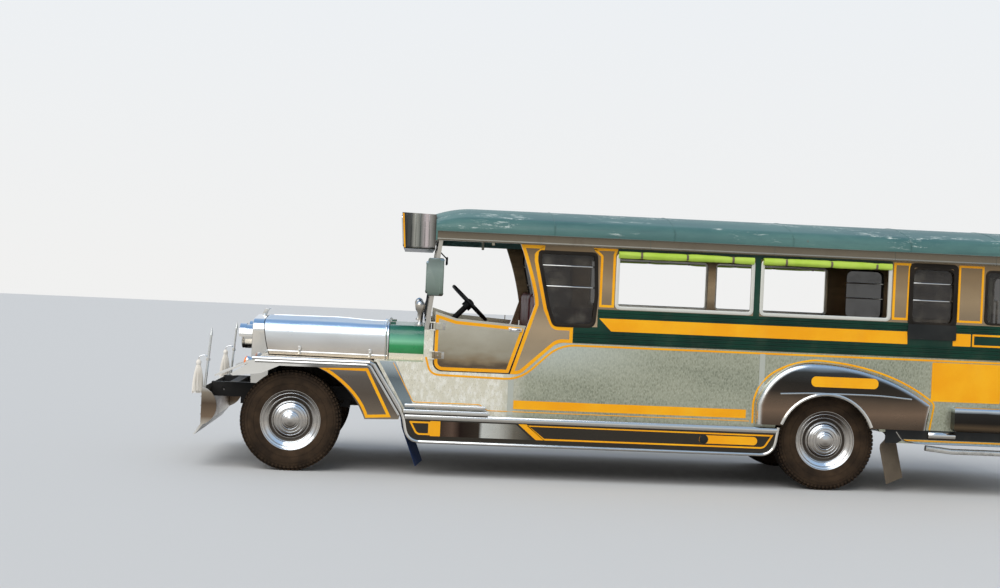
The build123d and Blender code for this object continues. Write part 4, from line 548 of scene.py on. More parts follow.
@dataclass(frozen=True)
class Grainy(Finish):
    """A matt or satin material with a grain: rubber, cast iron, board or cloth."""

    colour: Colour = "282828"
    second: Colour = "3c3a36"
    scale: float = 120.0
    stretch: Triple = PLAIN
    rough: Pair = (0.5, 0.75)
    relief: float = 0.35
    metal: float = 0.0
    dust: float = 0.25
    gloss: float = 0.25

    def paint(self, g: Graph) -> None:
        """Fine grain, patches of tone and dust on what faces up."""
        grain = g.noise(self.scale, 3.0, self.stretch)
        patch = g.noise(6.0, 5.0)
        tone = g.mix(patch.band(0.3, 0.7) * 0.6 + grain * 0.4, self.colour, self.second)
        settled = patch.band(0.4, 0.9) * g.facing().band(-0.2, 1.0) * self.dust
        g.surface(
            Base_Color=g.mix(settled, tone, "867862"),
            Metallic=self.metal,
            Roughness=grain.over(*self.rough) + settled * 0.2,
            Specular_IOR_Level=self.gloss,
            Normal=g.bump(grain + patch * 0.3, self.relief, 0.001),
        )


@dataclass(frozen=True)
class Vinyl(Finish):
    """Seat vinyl with a leather grain and a soft shine on its folds."""

    colour: Colour = "681a18"
    worn: Colour = "84322a"

    def paint(self, g: Graph) -> None:
        """Pebbled grain with worn, lighter patches."""
        pebble = g.cells(260.0)
        rub = g.noise(5.0, 5.0).band(0.5, 0.8) * g.facing().band(0.2, 0.9)
        g.surface(
            Base_Color=g.mix(rub * 0.6 + pebble * 0.1, self.colour, self.worn),
            Roughness=pebble.over(0.36, 0.56),
            Coat_Weight=rub * 0.1,
            Normal=g.bump(pebble + g.noise(30.0) * 0.6, 0.3, 0.0006),
        )


@dataclass(frozen=True)
class TreadPlate(Finish):
    """Chequered aluminium plate with plain tubes beside it."""

    colour: Colour = "96948e"
    tube: Colour = "cccac4"
    half: float = 0.430

    def paint(self, g: Graph) -> None:
        """Raised lozenges, scuffed bright on top with grime between, and smooth tubes outside."""
        across = g.axis(g.place(), "Y")
        plate = 1.0 - (across * across).band(self.half ** 2, (self.half + 0.004) ** 2)
        raised = (g.waves("X", 9.0, 0.785) * g.waves("X", 9.0, -0.785)).band(0.45, 0.62) * plate
        grime = g.noise(11.0, 5.0).band(0.4, 0.75)
        tone = g.mix(plate, self.tube, g.mix(raised, "68645c", self.colour))
        g.surface(
            Base_Color=g.mix(grime * 0.45, tone, "4e463a"),
            Metallic=0.85,
            Roughness=0.22 + plate * 0.30 - raised * 0.18 + grime * 0.2,
            Normal=g.bump(raised, 0.6, 0.002),
        )


# The up, level and down colours of each BrightSteel below are painted reflection and painted shade by
# facing.
CHROME = BrightSteel("chrome", "lamp_chrome", "d6e0ec", "d4cfc6", "423c37", 0.06, 0.08, 0.14)
WHEEL_CHROME = BrightSteel(
    "wheel_disc_chrome", "wheel_chrome", "e4eaf0", "b0aaa2", "423a34", 0.15, 0.03, 0.25, 0.95)
POLISHED = BrightSteel("polished_sheet", "polished_steel", "bccee2", "bab4aa", "4a4038", 0.16, 0.18, 0.25)
CAST_CHROME = BrightSteel("dull_chrome", "polished_steel", "bec8d2", "a8a094", "3c3630", 0.22, 0.35, 0.4)
# Dark tones that paint the shade inside the wheel's groove.
WHEEL_GROOVE = BrightSteel(
    "wheel_groove", "wheel_chrome", "78746e", "423c36", "1e1b19", 0.26, 0.03, 0.5, 0.9)
SEAM_STEEL = BrightSteel("seam_sheet", "silver_sheet", "d6d8d0", "c4c6ba", "787062", 0.32, 0.05, 0.2)
ALUMINIUM = BrightSteel("window_aluminium", "silver_sheet", "f0eee6", "e0ddd2", "968e80", 0.34, 0.05, 0.2)
GUTTER = BrightSteel("gutter_sheet", "roof_green", "a8a498", "7a7060", "464038", 0.45, 0.45, 0.8)
SKIRT_STEEL = BrightSteel("skirt_sheet", "silver_sheet", "969898", "423d36", "24211e", 0.18, 0.3, 0.35)
# Each band table below is painted reflection of street and sky along its axis, with painted highlights
# and painted shade.
REAR_FENDER = MirroredSteel(
    "rear_fender_sheet", "polished_steel", ((0.45, "42382f"), (0.53, "625346"), (0.61, "806a58"),
    (0.70, "605245"), (0.745, "3c3630"), (0.82, "322f2b"), (0.895, "3e4040"), (0.945, "96a6b4")), 0.030,
    0.20, "d6dee6", rim="d0cec8")
APRON_STEEL = MirroredSteel(
    "apron_sheet", "polished_steel", ((0.40, "968a78"), (0.47, "786c5e"), (0.60, "62584e"),
    (0.72, "6a625a"), (0.795, "807c76"), (0.812, "d6dadc"), (0.84, "e8ecf0")), 0.016, 0.24, "e8e4dc",
    bright_before=at(0.10))
SLANT_STEEL = MirroredSteel(
    "slanted_sheet", "polished_steel", ((0.47, "687072"), (0.58, "8c989c"), (0.70, "707a7e"),
    (0.85, "c4ced0")), 0.05)
HOOD_STEEL = MirroredSteel(
    "hood_sheet", "polished_steel", ((0.84, "d6c4a8"), (0.875, "b2a89c"), (0.94, "bebab4"),
    (1.00, "d4d6d6"), (1.05, "e2eaf0"), (1.13, "cedcea")), 0.020, 0.27, "c8d8e8")
BUMPER_STEEL = MirroredSteel(
    "bumper_sheet", "polished_steel", ((0.24, "e8e6e0"), (0.31, "cec6b8"), (0.37, "84705c"),
    (0.47, "625244"), (0.55, "968a7a"), (0.60, "d2d2ce")), 0.030, 0.24, "e4ded4")
CORNER_STEEL = MirroredSteel(
    "corner_bumper_sheet", "polished_steel", ((0.490, "322c26"), (0.525, "60503e"), (0.560, "2e2a26"),
    (0.632, "343230"), (0.650, "bac2c8"), (0.678, "d6e2ee")), 0.008, 0.16)
BOX_STEEL = MirroredSteel(
    "box_sheet", "polished_steel", ((at(0.775), "3e3e3c"), (at(0.835), "545450"), (at(0.862), "a8a69c"),
    (at(0.905), "70726c"), (at(0.950), "cec0be"), (at(0.985), "96928c"), (at(1.020), "58544e")), 0.006,
    0.24, along="X")
SKIRT_MIRROR = MirroredSteel(
    "skirt_mirror_sheet", "silver_sheet", ((at(1.12), "4a3a30"), (at(1.20), "685448"),
    (at(1.26), "2c221e"), (at(1.40), "3e362e"), (at(1.425), "d8d8d0"), (at(1.55), "c4c2b8"),
    (at(1.66), "787266"), (at(1.80), "464038")), 0.006, 0.22, along="X")
MIRROR_SHELL = MirroredSteel(
    "mirror_shell_sheet", "polished_steel", ((1.355, "68746a"), (1.44, "849288"), (1.54, "96a49c"),
    (1.62, "78847e")), 0.030, 0.26, "beccce")
DOOR_STEEL = MirroredSteel(
    "door_sheet", "silver_sheet", ((0.79, "968064"), (0.84, "665848"), (0.885, "96846a"),
    (0.96, "aca490"), (1.10, "beb8a6"), (1.22, "d0ccbc")), 0.120, ripple=4.2)
# Pillar sheet whose brown and beige bands are painted reflection of the street.
PILLAR_STEEL = MirroredSteel(
    "pillar_sheet", "silver_sheet", ((0.80, "beaa8a"), (0.98, "ac9a80"), (1.15, "baa486"),
    (1.33, "928068"), (1.50, "a48e70"), (1.66, "8a7458"), (1.76, "665846")), 0.070)
SWIRLED = SwirledSheet("swirled_sheet", "silver_sheet")
BELT = GlossPaint("belt_green", "green_paint", "022c20", "063a2a", "6e7a70", 0.14, 0.30, 0.10, 0.22)
COWL = CowlPaint("cowl_green", "green_paint")
AMBER_PAINT = GlossPaint("amber_paint", "", "f4a406", "fab416", "786034", 0.30, 0.40, 0.10, 0.20)
LINE_BLACK = GlossPaint("line_black", "", "141616", "222322", "6e6a62", 0.3, 0.35, 0.05, 0.25)
ROOF_PAINT = RoofPaint("roof_paint", "roof_green")
RUBBER = TyreRubber("dusty_rubber", "tyre_rubber")
GLASS = Clear("screen_glass", "window_glass")
SMOKED_GLASS = Clear("smoked_glass", "", "1a130d", 0.70, 0.04)
LAMP_GLASS = Clear("lamp_glass", "window_glass", "e2e8e6", 0.42, 0.05, 0.8)
AMBER_LENS = Clear("amber_lens", "", "f0780a", 0.92, 0.10, 0.9, 0.12)
RED_LENS = Clear("red_lens", "", "b0100c", 0.92, 0.10, 0.9, 0.06)
# Painted reflection by facing, as for the steels above.
MIRROR_GLASS = BrightSteel("mirror_glass", "lamp_chrome", "c8d6de", "b2bec6", "787e82", 0.03, 0.0, 0.08)
FRAME_BLACK = Grainy(
    "chassis_black", "frame_black", "1a1a1b", "2c2926", 90.0, rough=(0.45, 0.7), dust=0.45)
IRON = Grainy(
    "cast_iron", "engine_iron", "343230", "4c4238", 150.0, rough=(0.6, 0.85), relief=0.6, metal=0.6,
    dust=0.4)
EXHAUST = Grainy("exhaust_pipe", "exhaust_steel", "5c4c3e", "7e6048", 60.0, rough=(0.5, 0.8), metal=0.7)
DARK_RUBBER = Grainy("dark_rubber", "", "181512", "2c2620", 180.0, rough=(0.55, 0.8), gloss=0.15)
BLUE_FLAP = Grainy("blue_flap", "", "142a52", "22365c", 120.0, rough=(0.6, 0.85), dust=0.5)
GREY_FLAP = Grainy("grey_flap", "", "5c5246", "746858", 120.0, rough=(0.7, 0.9), dust=0.5)
MATTE_BLACK = Grainy("matte_black", "frame_black", "101011", "1a1a1a", 140.0, rough=(0.5, 0.7), dust=0.15)
GRIP = Grainy("wheel_grip", "wheel_rim_black", "0e0f11", "1a1a1c", 200.0, rough=(0.3, 0.5), dust=0.05)
BOARD = Grainy(
    "painted_board", "seat_board", "705c40", "8a7454", 26.0, (0.06, 1.0, 1.0), (0.45, 0.65), 0.3,
    dust=0.2)
FLOOR_MAT = Grainy(
    "floor_mat", "floor_plate", "464440", "5c5850", 40.0, (0.2, 1.0, 1.0), (0.6, 0.85), 0.4, dust=0.4)
LINING = Grainy("cream_lining", "", "c6bea8", "d4cebc", 60.0, rough=(0.5, 0.7), relief=0.15)
CORE = Grainy(
    "radiator_fins", "radiator_core", "1a1918", "403c36", 300.0, (0.1, 1.0, 1.0), (0.5, 0.8), 0.8,
    metal=0.4)
CURTAIN = Grainy(
    "lime_curtain", "curtain_lime", "a0c434", "bed85c", 70.0, (0.3, 1.0, 1.0), (0.35, 0.55), 0.25,
    dust=0.2)
STREAMER = Grainy(
    "streamer", "streamer_white", "f4f0e8", "ded6ca", 240.0, (1.0, 1.0, 0.05), (0.6, 0.85), 0.5, dust=0.1)
SEAT_VINYL = Vinyl("pebbled_vinyl", "seat_vinyl")
TREAD = TreadPlate("chequered_plate", "tread_plate")


def bend(path: Sequence[Triple], radius: float, closed: bool = False, steps: int = 5) -> list[Vector]:
    """Round the corners of a path.

    Args:
        path: The corners.
        radius: How far from each corner the rounding starts, at most.
        closed: Whether the last corner joins the first.
        steps: Points along each rounding.

    Returns:
        The points of the rounded path.
    """
    corners = [Vector(corner) for corner in path]
    count = len(corners)
    rounded: list[Vector] = []
    for index, corner in enumerate(corners):
        if not closed and index in (0, count - 1):
            rounded.append(corner)
            continue
        before = corners[index - 1] - corner
        after = corners[(index + 1) % count] - corner
        reach = min(radius, before.length * 0.49, after.length * 0.49)
        start = corner + before.normalized() * reach
        end = corner + after.normalized() * reach
        rounded += curve(start, corner, end, steps)
    return rounded


def curve(first: Vector, pull: Vector, last: Vector, steps: int) -> list[Vector]:
    """Points along a curve between two places that is drawn towards a third."""
    shares = [step / steps for step in range(steps + 1)]
    return [first.lerp(pull, share).lerp(pull.lerp(last, share), share) for share in shares]


def arc(start: Triple, middle: Triple, end: Triple, steps: int = 10) -> list[Vector]:
    """Points along a curve that passes through three places."""
    first, second, third = Vector(start), Vector(middle), Vector(end)
    return curve(first, second * 2 - (first + third) / 2, third, steps)


def beside(points: Iterable[Pair], half: float) -> list[Triple]:
    """Places beside the vehicle, on the driver's side, from stations and heights."""
    return [(at(x), -half, z) for x, z in points]


def flat_arc(start: Pair, middle: Pair, end: Pair, steps: int) -> list[Pair]:
    """Stations and heights along a curve through three of them."""
    places = arc(*((x, 0.0, z) for x, z in (start, middle, end)), steps)
    return [(place.x, place.z) for place in places]


def rect(front: float, rear: float, bottom: float, top: float) -> list[Pair]:
    """Stations and heights of a rectangle's corners."""
    return [(front, top), (rear, top), (rear, bottom), (front, bottom)]


def pane(x: float, left: float, right: float, low: float, high: float) -> list[Triple]:
    """Corners of an upright rectangle that stands across the vehicle."""
    return [(x, left, low), (x, right, low), (x, right, high), (x, left, high)]


def inner_loop(points: Sequence[Pair], radii: Sequence[float], depth: float) -> list[Pair]:
    """Offset a closed outline inwards and round its corners.

    Args:
        points: Station and height of each corner.
        radii: Rounding of each corner on the outline itself.
        depth: How far inwards.

    Returns:
        The same number of places for every depth.
    """
    corners = [Vector(point) for point in points]
    count = len(corners)
    area = sum(corners[i - 1].cross(corners[i]) for i in range(count))
    turn = 1.0 if area > 0 else -1.0
    places: list[Pair] = []
    for index, corner in enumerate(corners):
        arriving = corner - corners[index - 1]
        leaving = corners[(index + 1) % count] - corner
        before, after = arriving.normalized(), leaving.normalized()
        inward_before = Vector((-before.y, before.x)) * turn
        inward_after = Vector((-after.y, after.x)) * turn
        spread = 1.0 + inward_before.dot(inward_after)
        middle = corner + (inward_before + inward_after) * depth * min(1.0 / spread, 3.0)
        bulging = before.cross(after) * turn > 0
        radius = max(0.0008, radii[index] - depth) if bulging else radii[index] + depth
        wanted = max(radius * math.tan(before.angle(after, 0.0) / 2), 1e-5)
        reach = min(wanted, min(arriving.length, leaving.length) * 0.45)
        rounded = curve(middle - before * reach, middle, middle + after * reach, 6)
        places += [(place.x, place.y) for place in rounded]
    return places


def spread_radii(rounds: Sequence[float] | float, count: int) -> list[float]:
    """One rounding for each corner."""
    return list(rounds) if isinstance(rounds, (list, tuple)) else [rounds] * count


class Shape:
    """A mesh in the making, in the frame's own metres."""

    def __init__(self, mesh: bpy.types.Mesh | None = None) -> None:
        """Start empty, or with a mesh."""
        self.bm = bmesh.new()
        if mesh is not None:
            self.bm.from_mesh(mesh)

    @property
    def geometry(self) -> list[Any]:
        """All vertices, edges and faces."""
        return self.bm.verts[:] + self.bm.edges[:] + self.bm.faces[:]

    def box(self, low: Triple, high: Triple, soften: float = 0.0, segments: int = 2) -> "Shape":
        """Add a block between two corners, with softened edges.

        Args:
            low: Lowest corner.
            high: Highest corner.
            soften: Width of the bevel along the edges.
            segments: Segments of that bevel.

        Returns:
            The shape.
        """
        lowest, highest = Vector(low), Vector(high)
        size = Matrix.Diagonal((*(highest - lowest), 1.0))
        matrix = Matrix.Translation((lowest + highest) / 2) @ size
        made = bmesh.ops.create_cube(self.bm, size=1.0, matrix=matrix)
        if soften:
            edges = dict.fromkeys(edge for vert in made["verts"] for edge in vert.link_edges)
            self.soften(edges, soften, segments)
        return self

    def rod(
        self, start: Triple, end: Triple, radius: float, tip: float | None = None,
        sides: int = 20, soften: float = 0.0,
    ) -> "Shape":
        """Add a round bar or cone between two points.

        Args:
            start: Middle of the first end.
            end: Middle of the other end.
            radius: Radius at the first end.
            tip: Radius at the other end, if it differs.
            sides: Sides of the bar.
            soften: Width of the bevel round both ends.

        Returns:
            The shape.
        """
        first, last = Vector(start), Vector(end)
        line = last - first
        turn = line.to_track_quat("Z", "Y").to_matrix().to_4x4()
        made = bmesh.ops.create_cone(
            self.bm, cap_ends=True, segments=sides, radius1=radius,
            radius2=radius if tip is None else tip, depth=line.length,
            matrix=Matrix.Translation((first + last) / 2) @ turn,
        )
        if soften:
            faces = [face for vert in made["verts"] for face in vert.link_faces if len(face.verts) > 4]
            self.soften(dict.fromkeys(edge for face in faces for edge in face.edges), soften)
        return self

    def soften(
        self, parts: Iterable[Any], width: float, segments: int = 2, affect: str = "EDGES"
    ) -> "Shape":
        """Bevel these edges or vertices."""
        bmesh.ops.bevel(
            self.bm, geom=list(parts), offset=width, offset_type="OFFSET", segments=segments,
            profile=0.5, affect=affect, clamp_overlap=True, material=-1,
        )
        return self

    def crisp(self, least: float = 60.0) -> list[Any]:
        """Edges that turn more than this many degrees."""
        limit = math.radians(least)
        return [e for e in self.bm.edges if len(e.link_faces) == 2 and e.calc_face_angle(0) > limit]

    def lathe(
        self, profile: Sequence[Pair], centre: Triple, axis: Triple, steps: int = 64
    ) -> "Shape":
        """Turn a closed profile about an axis.

        Args:
            profile: Distance along the axis and radius of each point.
            centre: Where the distance along the axis is 0.
            axis: Direction of the axis.
            steps: Steps round a full turn.

        Returns:
            The shape.
        """
        line, middle = Vector(axis).normalized(), Vector(centre)
        out = line.orthogonal().normalized()
        verts = [self.bm.verts.new(middle + line * along + out * far) for along, far in profile]
        edges = [self.bm.edges.new(pair) for pair in zip(verts, verts[1:] + verts[:1])]
        bmesh.ops.spin(
            self.bm, geom=verts + edges, cent=middle, axis=line, angle=math.tau, steps=steps,
            use_merge=True,
        )
        bmesh.ops.remove_doubles(self.bm, verts=self.bm.verts[:], dist=1e-5)
        return self

    def face(self, places: Iterable[Triple], rounds: Sequence[float] | float, segments: int) -> None:
        """Add one face with rounded corners.

        Args:
            places: The corners.
            rounds: Rounding of each corner, or of all of them.
            segments: Segments of each rounding.
        """
        verts = [self.bm.verts.new(place) for place in places]
        self.bm.faces.new(verts)
        radii = spread_radii(rounds, len(verts))
        for radius in sorted(set(radii)):
            if radius > 0:
                chosen = [vert for vert, size in zip(verts, radii) if size == radius]
                self.soften(chosen, radius, segments, "VERTICES")

    def outline(
        self, points: Sequence[Pair], half: float, rounds: Sequence[float] | float = 0.0
    ) -> "Shape":
        """Add an upright face beside the vehicle, on the driver's side.

        Args:
            points: Station and height of each corner.
            half: How far the face stands from the centre line.
            rounds: Rounding of each corner, or of all of them.

        Returns:
            The shape.
        """
        self.face(beside(points, half), rounds, 6)
        return self

    def ring(
        self, points: Sequence[Pair], half: float, rounds: Sequence[float] | float,
        inset: float, width: float,
    ) -> "Shape":
        """Add an upright band beside the vehicle that runs inside an outline.

        Args:
            points: Station and height of each corner of the outline.
            half: How far the band stands from the centre line.
            rounds: Rounding of each corner, or of all of them.
            inset: How far inside the outline the band starts.
            width: Width of the band.

        Returns:
            The shape.
        """
        radii = spread_radii(rounds, len(points))
        outer, inner = (
            [self.bm.verts.new(place) for place in beside(inner_loop(points, radii, depth), half)]
            for depth in (inset, inset + width)
        )
        for index, after in enumerate([*range(1, len(outer)), 0]):
            self.bm.faces.new((outer[index], outer[after], inner[after], inner[index]))
        return self

    def thicken(self, vector: Triple) -> "Shape":
        """Push a copy of every face along a vector and close the sides."""
        made = bmesh.ops.extrude_face_region(self.bm, geom=self.bm.faces[:], use_keep_orig=True)
        moved = [part for part in made["geom"] if isinstance(part, bmesh.types.BMVert)]
        bmesh.ops.translate(self.bm, vec=vector, verts=moved)
        return self

    def profile(
        self, points: Sequence[Pair], start: float, end: float,
        rounds: Sequence[float] | float = 0.0,
    ) -> "Shape":
        """Add a bar of this cross-section along the vehicle.

        Args:
            points: Distance from the centre line, outwards on the driver's side, and height.
            start: Station of its front end.
            end: Station of its rear end.
            rounds: Rounding of each corner, or of all of them.

        Returns:
            The shape.
        """
        other = Shape()
        other.face([(at(start), -y, z) for y, z in points], rounds, 4)
        return self.join(other.thicken((end - start, 0.0, 0.0)))

    def tube(
        self, path: Sequence[Any], radius: float, sides: int = 10, closed: bool = False,
        flat: float | None = None,
    ) -> "Shape":
        """Add a round line that follows a path.

        Args:
            path: The points of its middle.
            radius: Radius of the line.
            sides: Sides of its cross-section, about.
            closed: Whether it closes on itself.
            flat: Thickness across the vehicle, for a painted line on the side.

        Returns:
            The shape.
        """
        line = bpy.data.curves.new("line", "CURVE")
        line.dimensions = "3D"
        spline = line.splines.new("POLY")
        spline.points.add(len(path) - 1)
        for point, place in zip(spline.points, path):
            point.co = (*place, 1.0)
        spline.use_cyclic_u = closed
        line.bevel_depth = radius
        line.bevel_resolution = max(0, sides // 4 - 1)
        line.use_fill_caps = not closed
        holder = bpy.data.objects.new("line", line)
        bpy.context.scene.collection.objects.link(holder)
        bpy.context.view_layer.update()
        mesh = bpy.data.meshes.new_from_object(holder)
        other = Shape(mesh)
        bmesh.ops.remove_doubles(other.bm, verts=other.bm.verts[:], dist=1e-6)
        if flat is not None:
            middle = path[0][1]
            squeeze = Matrix.Diagonal((1, flat / radius, 1, 1))
            other.move(Matrix.Translation((0, middle, 0)) @ squeeze @ Matrix.Translation((0, -middle, 0)))
        bpy.data.objects.remove(holder)
        bpy.data.curves.remove(line)
        bpy.data.meshes.remove(mesh)
        return self.join(other)

    def join(self, other: "Shape") -> "Shape":
        """Take in another shape's mesh."""
        mesh = bpy.data.meshes.new("joined")
        other.bm.to_mesh(mesh)
        other.bm.free()
        self.bm.from_mesh(mesh)
        bpy.data.meshes.remove(mesh)
        return self

    def slice(self, normal: Triple, places: Iterable[float]) -> "Shape":
        """Cut the mesh along planes square to an axis, so that it can bend there."""
        for place in places:
            bmesh.ops.bisect_plane(
                self.bm, geom=self.geometry, dist=1e-5, plane_co=Vector(normal) * place,
                plane_no=normal,
            )
        return self

    def warp(self, rule: Callable[[Vector], Vector]) -> "Shape":
        """Move every vertex to the place that a rule gives for it."""
        for vert in self.bm.verts:
            vert.co = rule(vert.co)
        return self

    def copy_node(self, node: str) -> "Shape":
        """Add a merged copy of a CAD node's mesh."""
        self.bm.from_mesh(bpy.data.objects[node].data)
        bmesh.ops.remove_doubles(self.bm, verts=self.bm.verts[:], dist=2e-5)
        return self

    def move(self, matrix: Matrix) -> "Shape":
        """Transform everything."""
        bmesh.ops.transform(self.bm, matrix=matrix, verts=self.bm.verts[:])
        return self

    def turn(self, centre: Triple, angle: float, axis: Triple) -> "Shape":
        """Turn everything about a point.

        Args:
            centre: The point.
            angle: How far, in degrees.
            axis: Direction of the axis.

        Returns:
            The shape.
        """
        turning = Matrix.Rotation(math.radians(angle), 3, Vector(axis))
        bmesh.ops.rotate(self.bm, cent=centre, matrix=turning, verts=self.bm.verts[:])
        return self

    def hand(self, way: float) -> "Shape":
        """Keep everything on the driver's side for -1, or bring it to the other side for 1."""
        return self.move(Matrix.Diagonal((1.0, -way, 1.0, 1.0)))

    def spin_copies(self, count: int) -> "Shape":
        """Repeat everything evenly round the Y axis."""
        base = self.geometry
        for number in range(1, count):
            made = bmesh.ops.duplicate(self.bm, geom=base)
            verts = [part for part in made["geom"] if isinstance(part, bmesh.types.BMVert)]
            turn = Matrix.Rotation(math.tau * number / count, 3, "Y")
            bmesh.ops.rotate(self.bm, cent=(0.0, 0.0, 0.0), matrix=turn, verts=verts)
        return self

    def both_sides(self) -> "Shape":
        """Add the mirror image across the centre line."""
        made = bmesh.ops.duplicate(self.bm, geom=self.geometry)
        verts = [part for part in made["geom"] if isinstance(part, bmesh.types.BMVert)]
        faces = [part for part in made["geom"] if isinstance(part, bmesh.types.BMFace)]
        bmesh.ops.scale(self.bm, vec=(1.0, -1.0, 1.0), verts=verts)
        bmesh.ops.reverse_faces(self.bm, faces=faces)
        return self

    def pair(self, name: str, finish: Finish, *rest: Any, **options: Any) -> bpy.types.Object:
        """Finish the shape and its mirror image as one piece, with the options of a piece."""
        return self.both_sides().piece(name, finish, *rest, **options)

    def piece(
        self, name: str, finish: Finish, body: str = "root", replaces: Sequence[str] = (),
        smooth: float = 32.0, recalc: bool = True,
    ) -> bpy.types.Object:
        """Finish the shape as an object that rides on a body.

        Args:
            name: The piece's name.
            finish: Its finish.
            body: The CAD body that it rides on.
            replaces: CAD nodes that it stands for.
            smooth: Edges that turn less than this many degrees are shaded smooth.
            recalc: Whether the faces are turned outwards.

        Returns:
            The object.
        """
        if recalc:
            bmesh.ops.recalc_face_normals(self.bm, faces=self.bm.faces[:])
        for face in self.bm.faces:
            face.smooth = True
        limit = math.radians(smooth)
        for edge in self.bm.edges:
            edge.smooth = len(edge.link_faces) == 2 and edge.calc_face_angle(0) < limit
        mesh = bpy.data.meshes.new(name)
        self.bm.to_mesh(mesh)
        self.bm.free()
        mesh.materials.append(finish.material())
        piece = bpy.data.objects.new(name, mesh)
        bpy.context.scene.collection.objects.link(piece)
        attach(piece, body)
        if replaces:
            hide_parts(*replaces)
        log.info("%s: %d faces in %s", name, len(mesh.polygons), finish.name)
        return piece


def dress(node: str, finish: Finish) -> None:
    """Give a CAD node its finish."""
    mesh = bpy.data.objects[node].data
    mesh.materials.clear()
    mesh.materials.append(finish.material())
    log.info("%s dressed in %s", node, finish.name)


def reshell(node: str, finish: Finish, body: str = "root", smooth: float = 40.0) -> None:
    """Stand a merged and smoothly shaded copy of a CAD node in for it."""
    Shape().copy_node(node).piece(f"{node}_shell", finish, body, (node,), smooth, recalc=False)


# Front, rear, bottom, top and rounding of the windows
WINDOWS = (
    (2.385, 3.4147, 1.310, 1.715, 0.035),
    (3.4797, 4.465, 1.310, 1.715, 0.035),
    (4.630, 4.966, 1.285, 1.715, 0.070),
    (5.205, 5.600, 1.310, 1.715, 0.045),
)
DOORS = ((-1.0, "door_left"), (1.0, "door_right"))
QUARTER_WINDOW = (
    (1.800, 1.710), (1.800, 1.640), (1.880, 1.290), (1.925, 1.165), (2.225, 1.165),
    (2.240, 1.400), (2.225, 1.710),
)


def teardrop(grow: float, behind: float) -> list[Pair]:
    """Outline the rear fender.

    Args:
        grow: How far outside the fender.
        behind: How much further at its tail.

    Returns:
        Station and height of each point.
    """
    top = (-0.120, 0.969 + grow)
    front = flat_arc((-0.558 - grow, 0.640), (-0.432 - grow * 0.7, 0.858 + grow * 0.7), top, 12)
    back = flat_arc(top, (0.390 + behind * 0.4, 0.885 + grow), (0.775 + behind, 0.690), 14)
    places = [(-0.558 - grow, 0.492), *front, *back[1:], (0.745 + behind, 0.492)]
    return [(WHEELBASE + x, z) for x, z in places]


def spots(*points: Triple) -> list[Triple]:
    """Places from stations, distances across and heights."""
    return [(at(x), y, z) for x, y, z in points]


def plate(
    name: str, finish: Finish, points: Sequence[Pair], half: float,
    rounds: Sequence[float] | float, thick: float,
) -> None:
    """Lay a thin plate on each side of the vehicle."""
    Shape().outline(points, half, rounds).thicken((0, -thick, 0)).pair(name, finish)


def turned(
    name: str, finish: Finish, profile: Sequence[Pair], centre: Triple, axis: Triple,
    steps: int = 64, smooth: float = 50.0,
) -> None:
    """Build a small part that is turned about an axis, once on each side.

    Args:
        name: The piece's name.
        finish: Its finish.
        profile: Distance along the axis and radius of each point.
        centre: Where that distance is 0, on the passenger's side.
        axis: Direction of the axis.
        steps: Steps round a full turn.
        smooth: Edges that turn less than this many degrees are shaded smooth.
    """
    shape = Shape()
    for side in BOTH_SIDES:
        shape.lathe(profile, (centre[0], side * centre[1], centre[2]), axis, steps)
    shape.piece(name, finish, smooth=smooth)


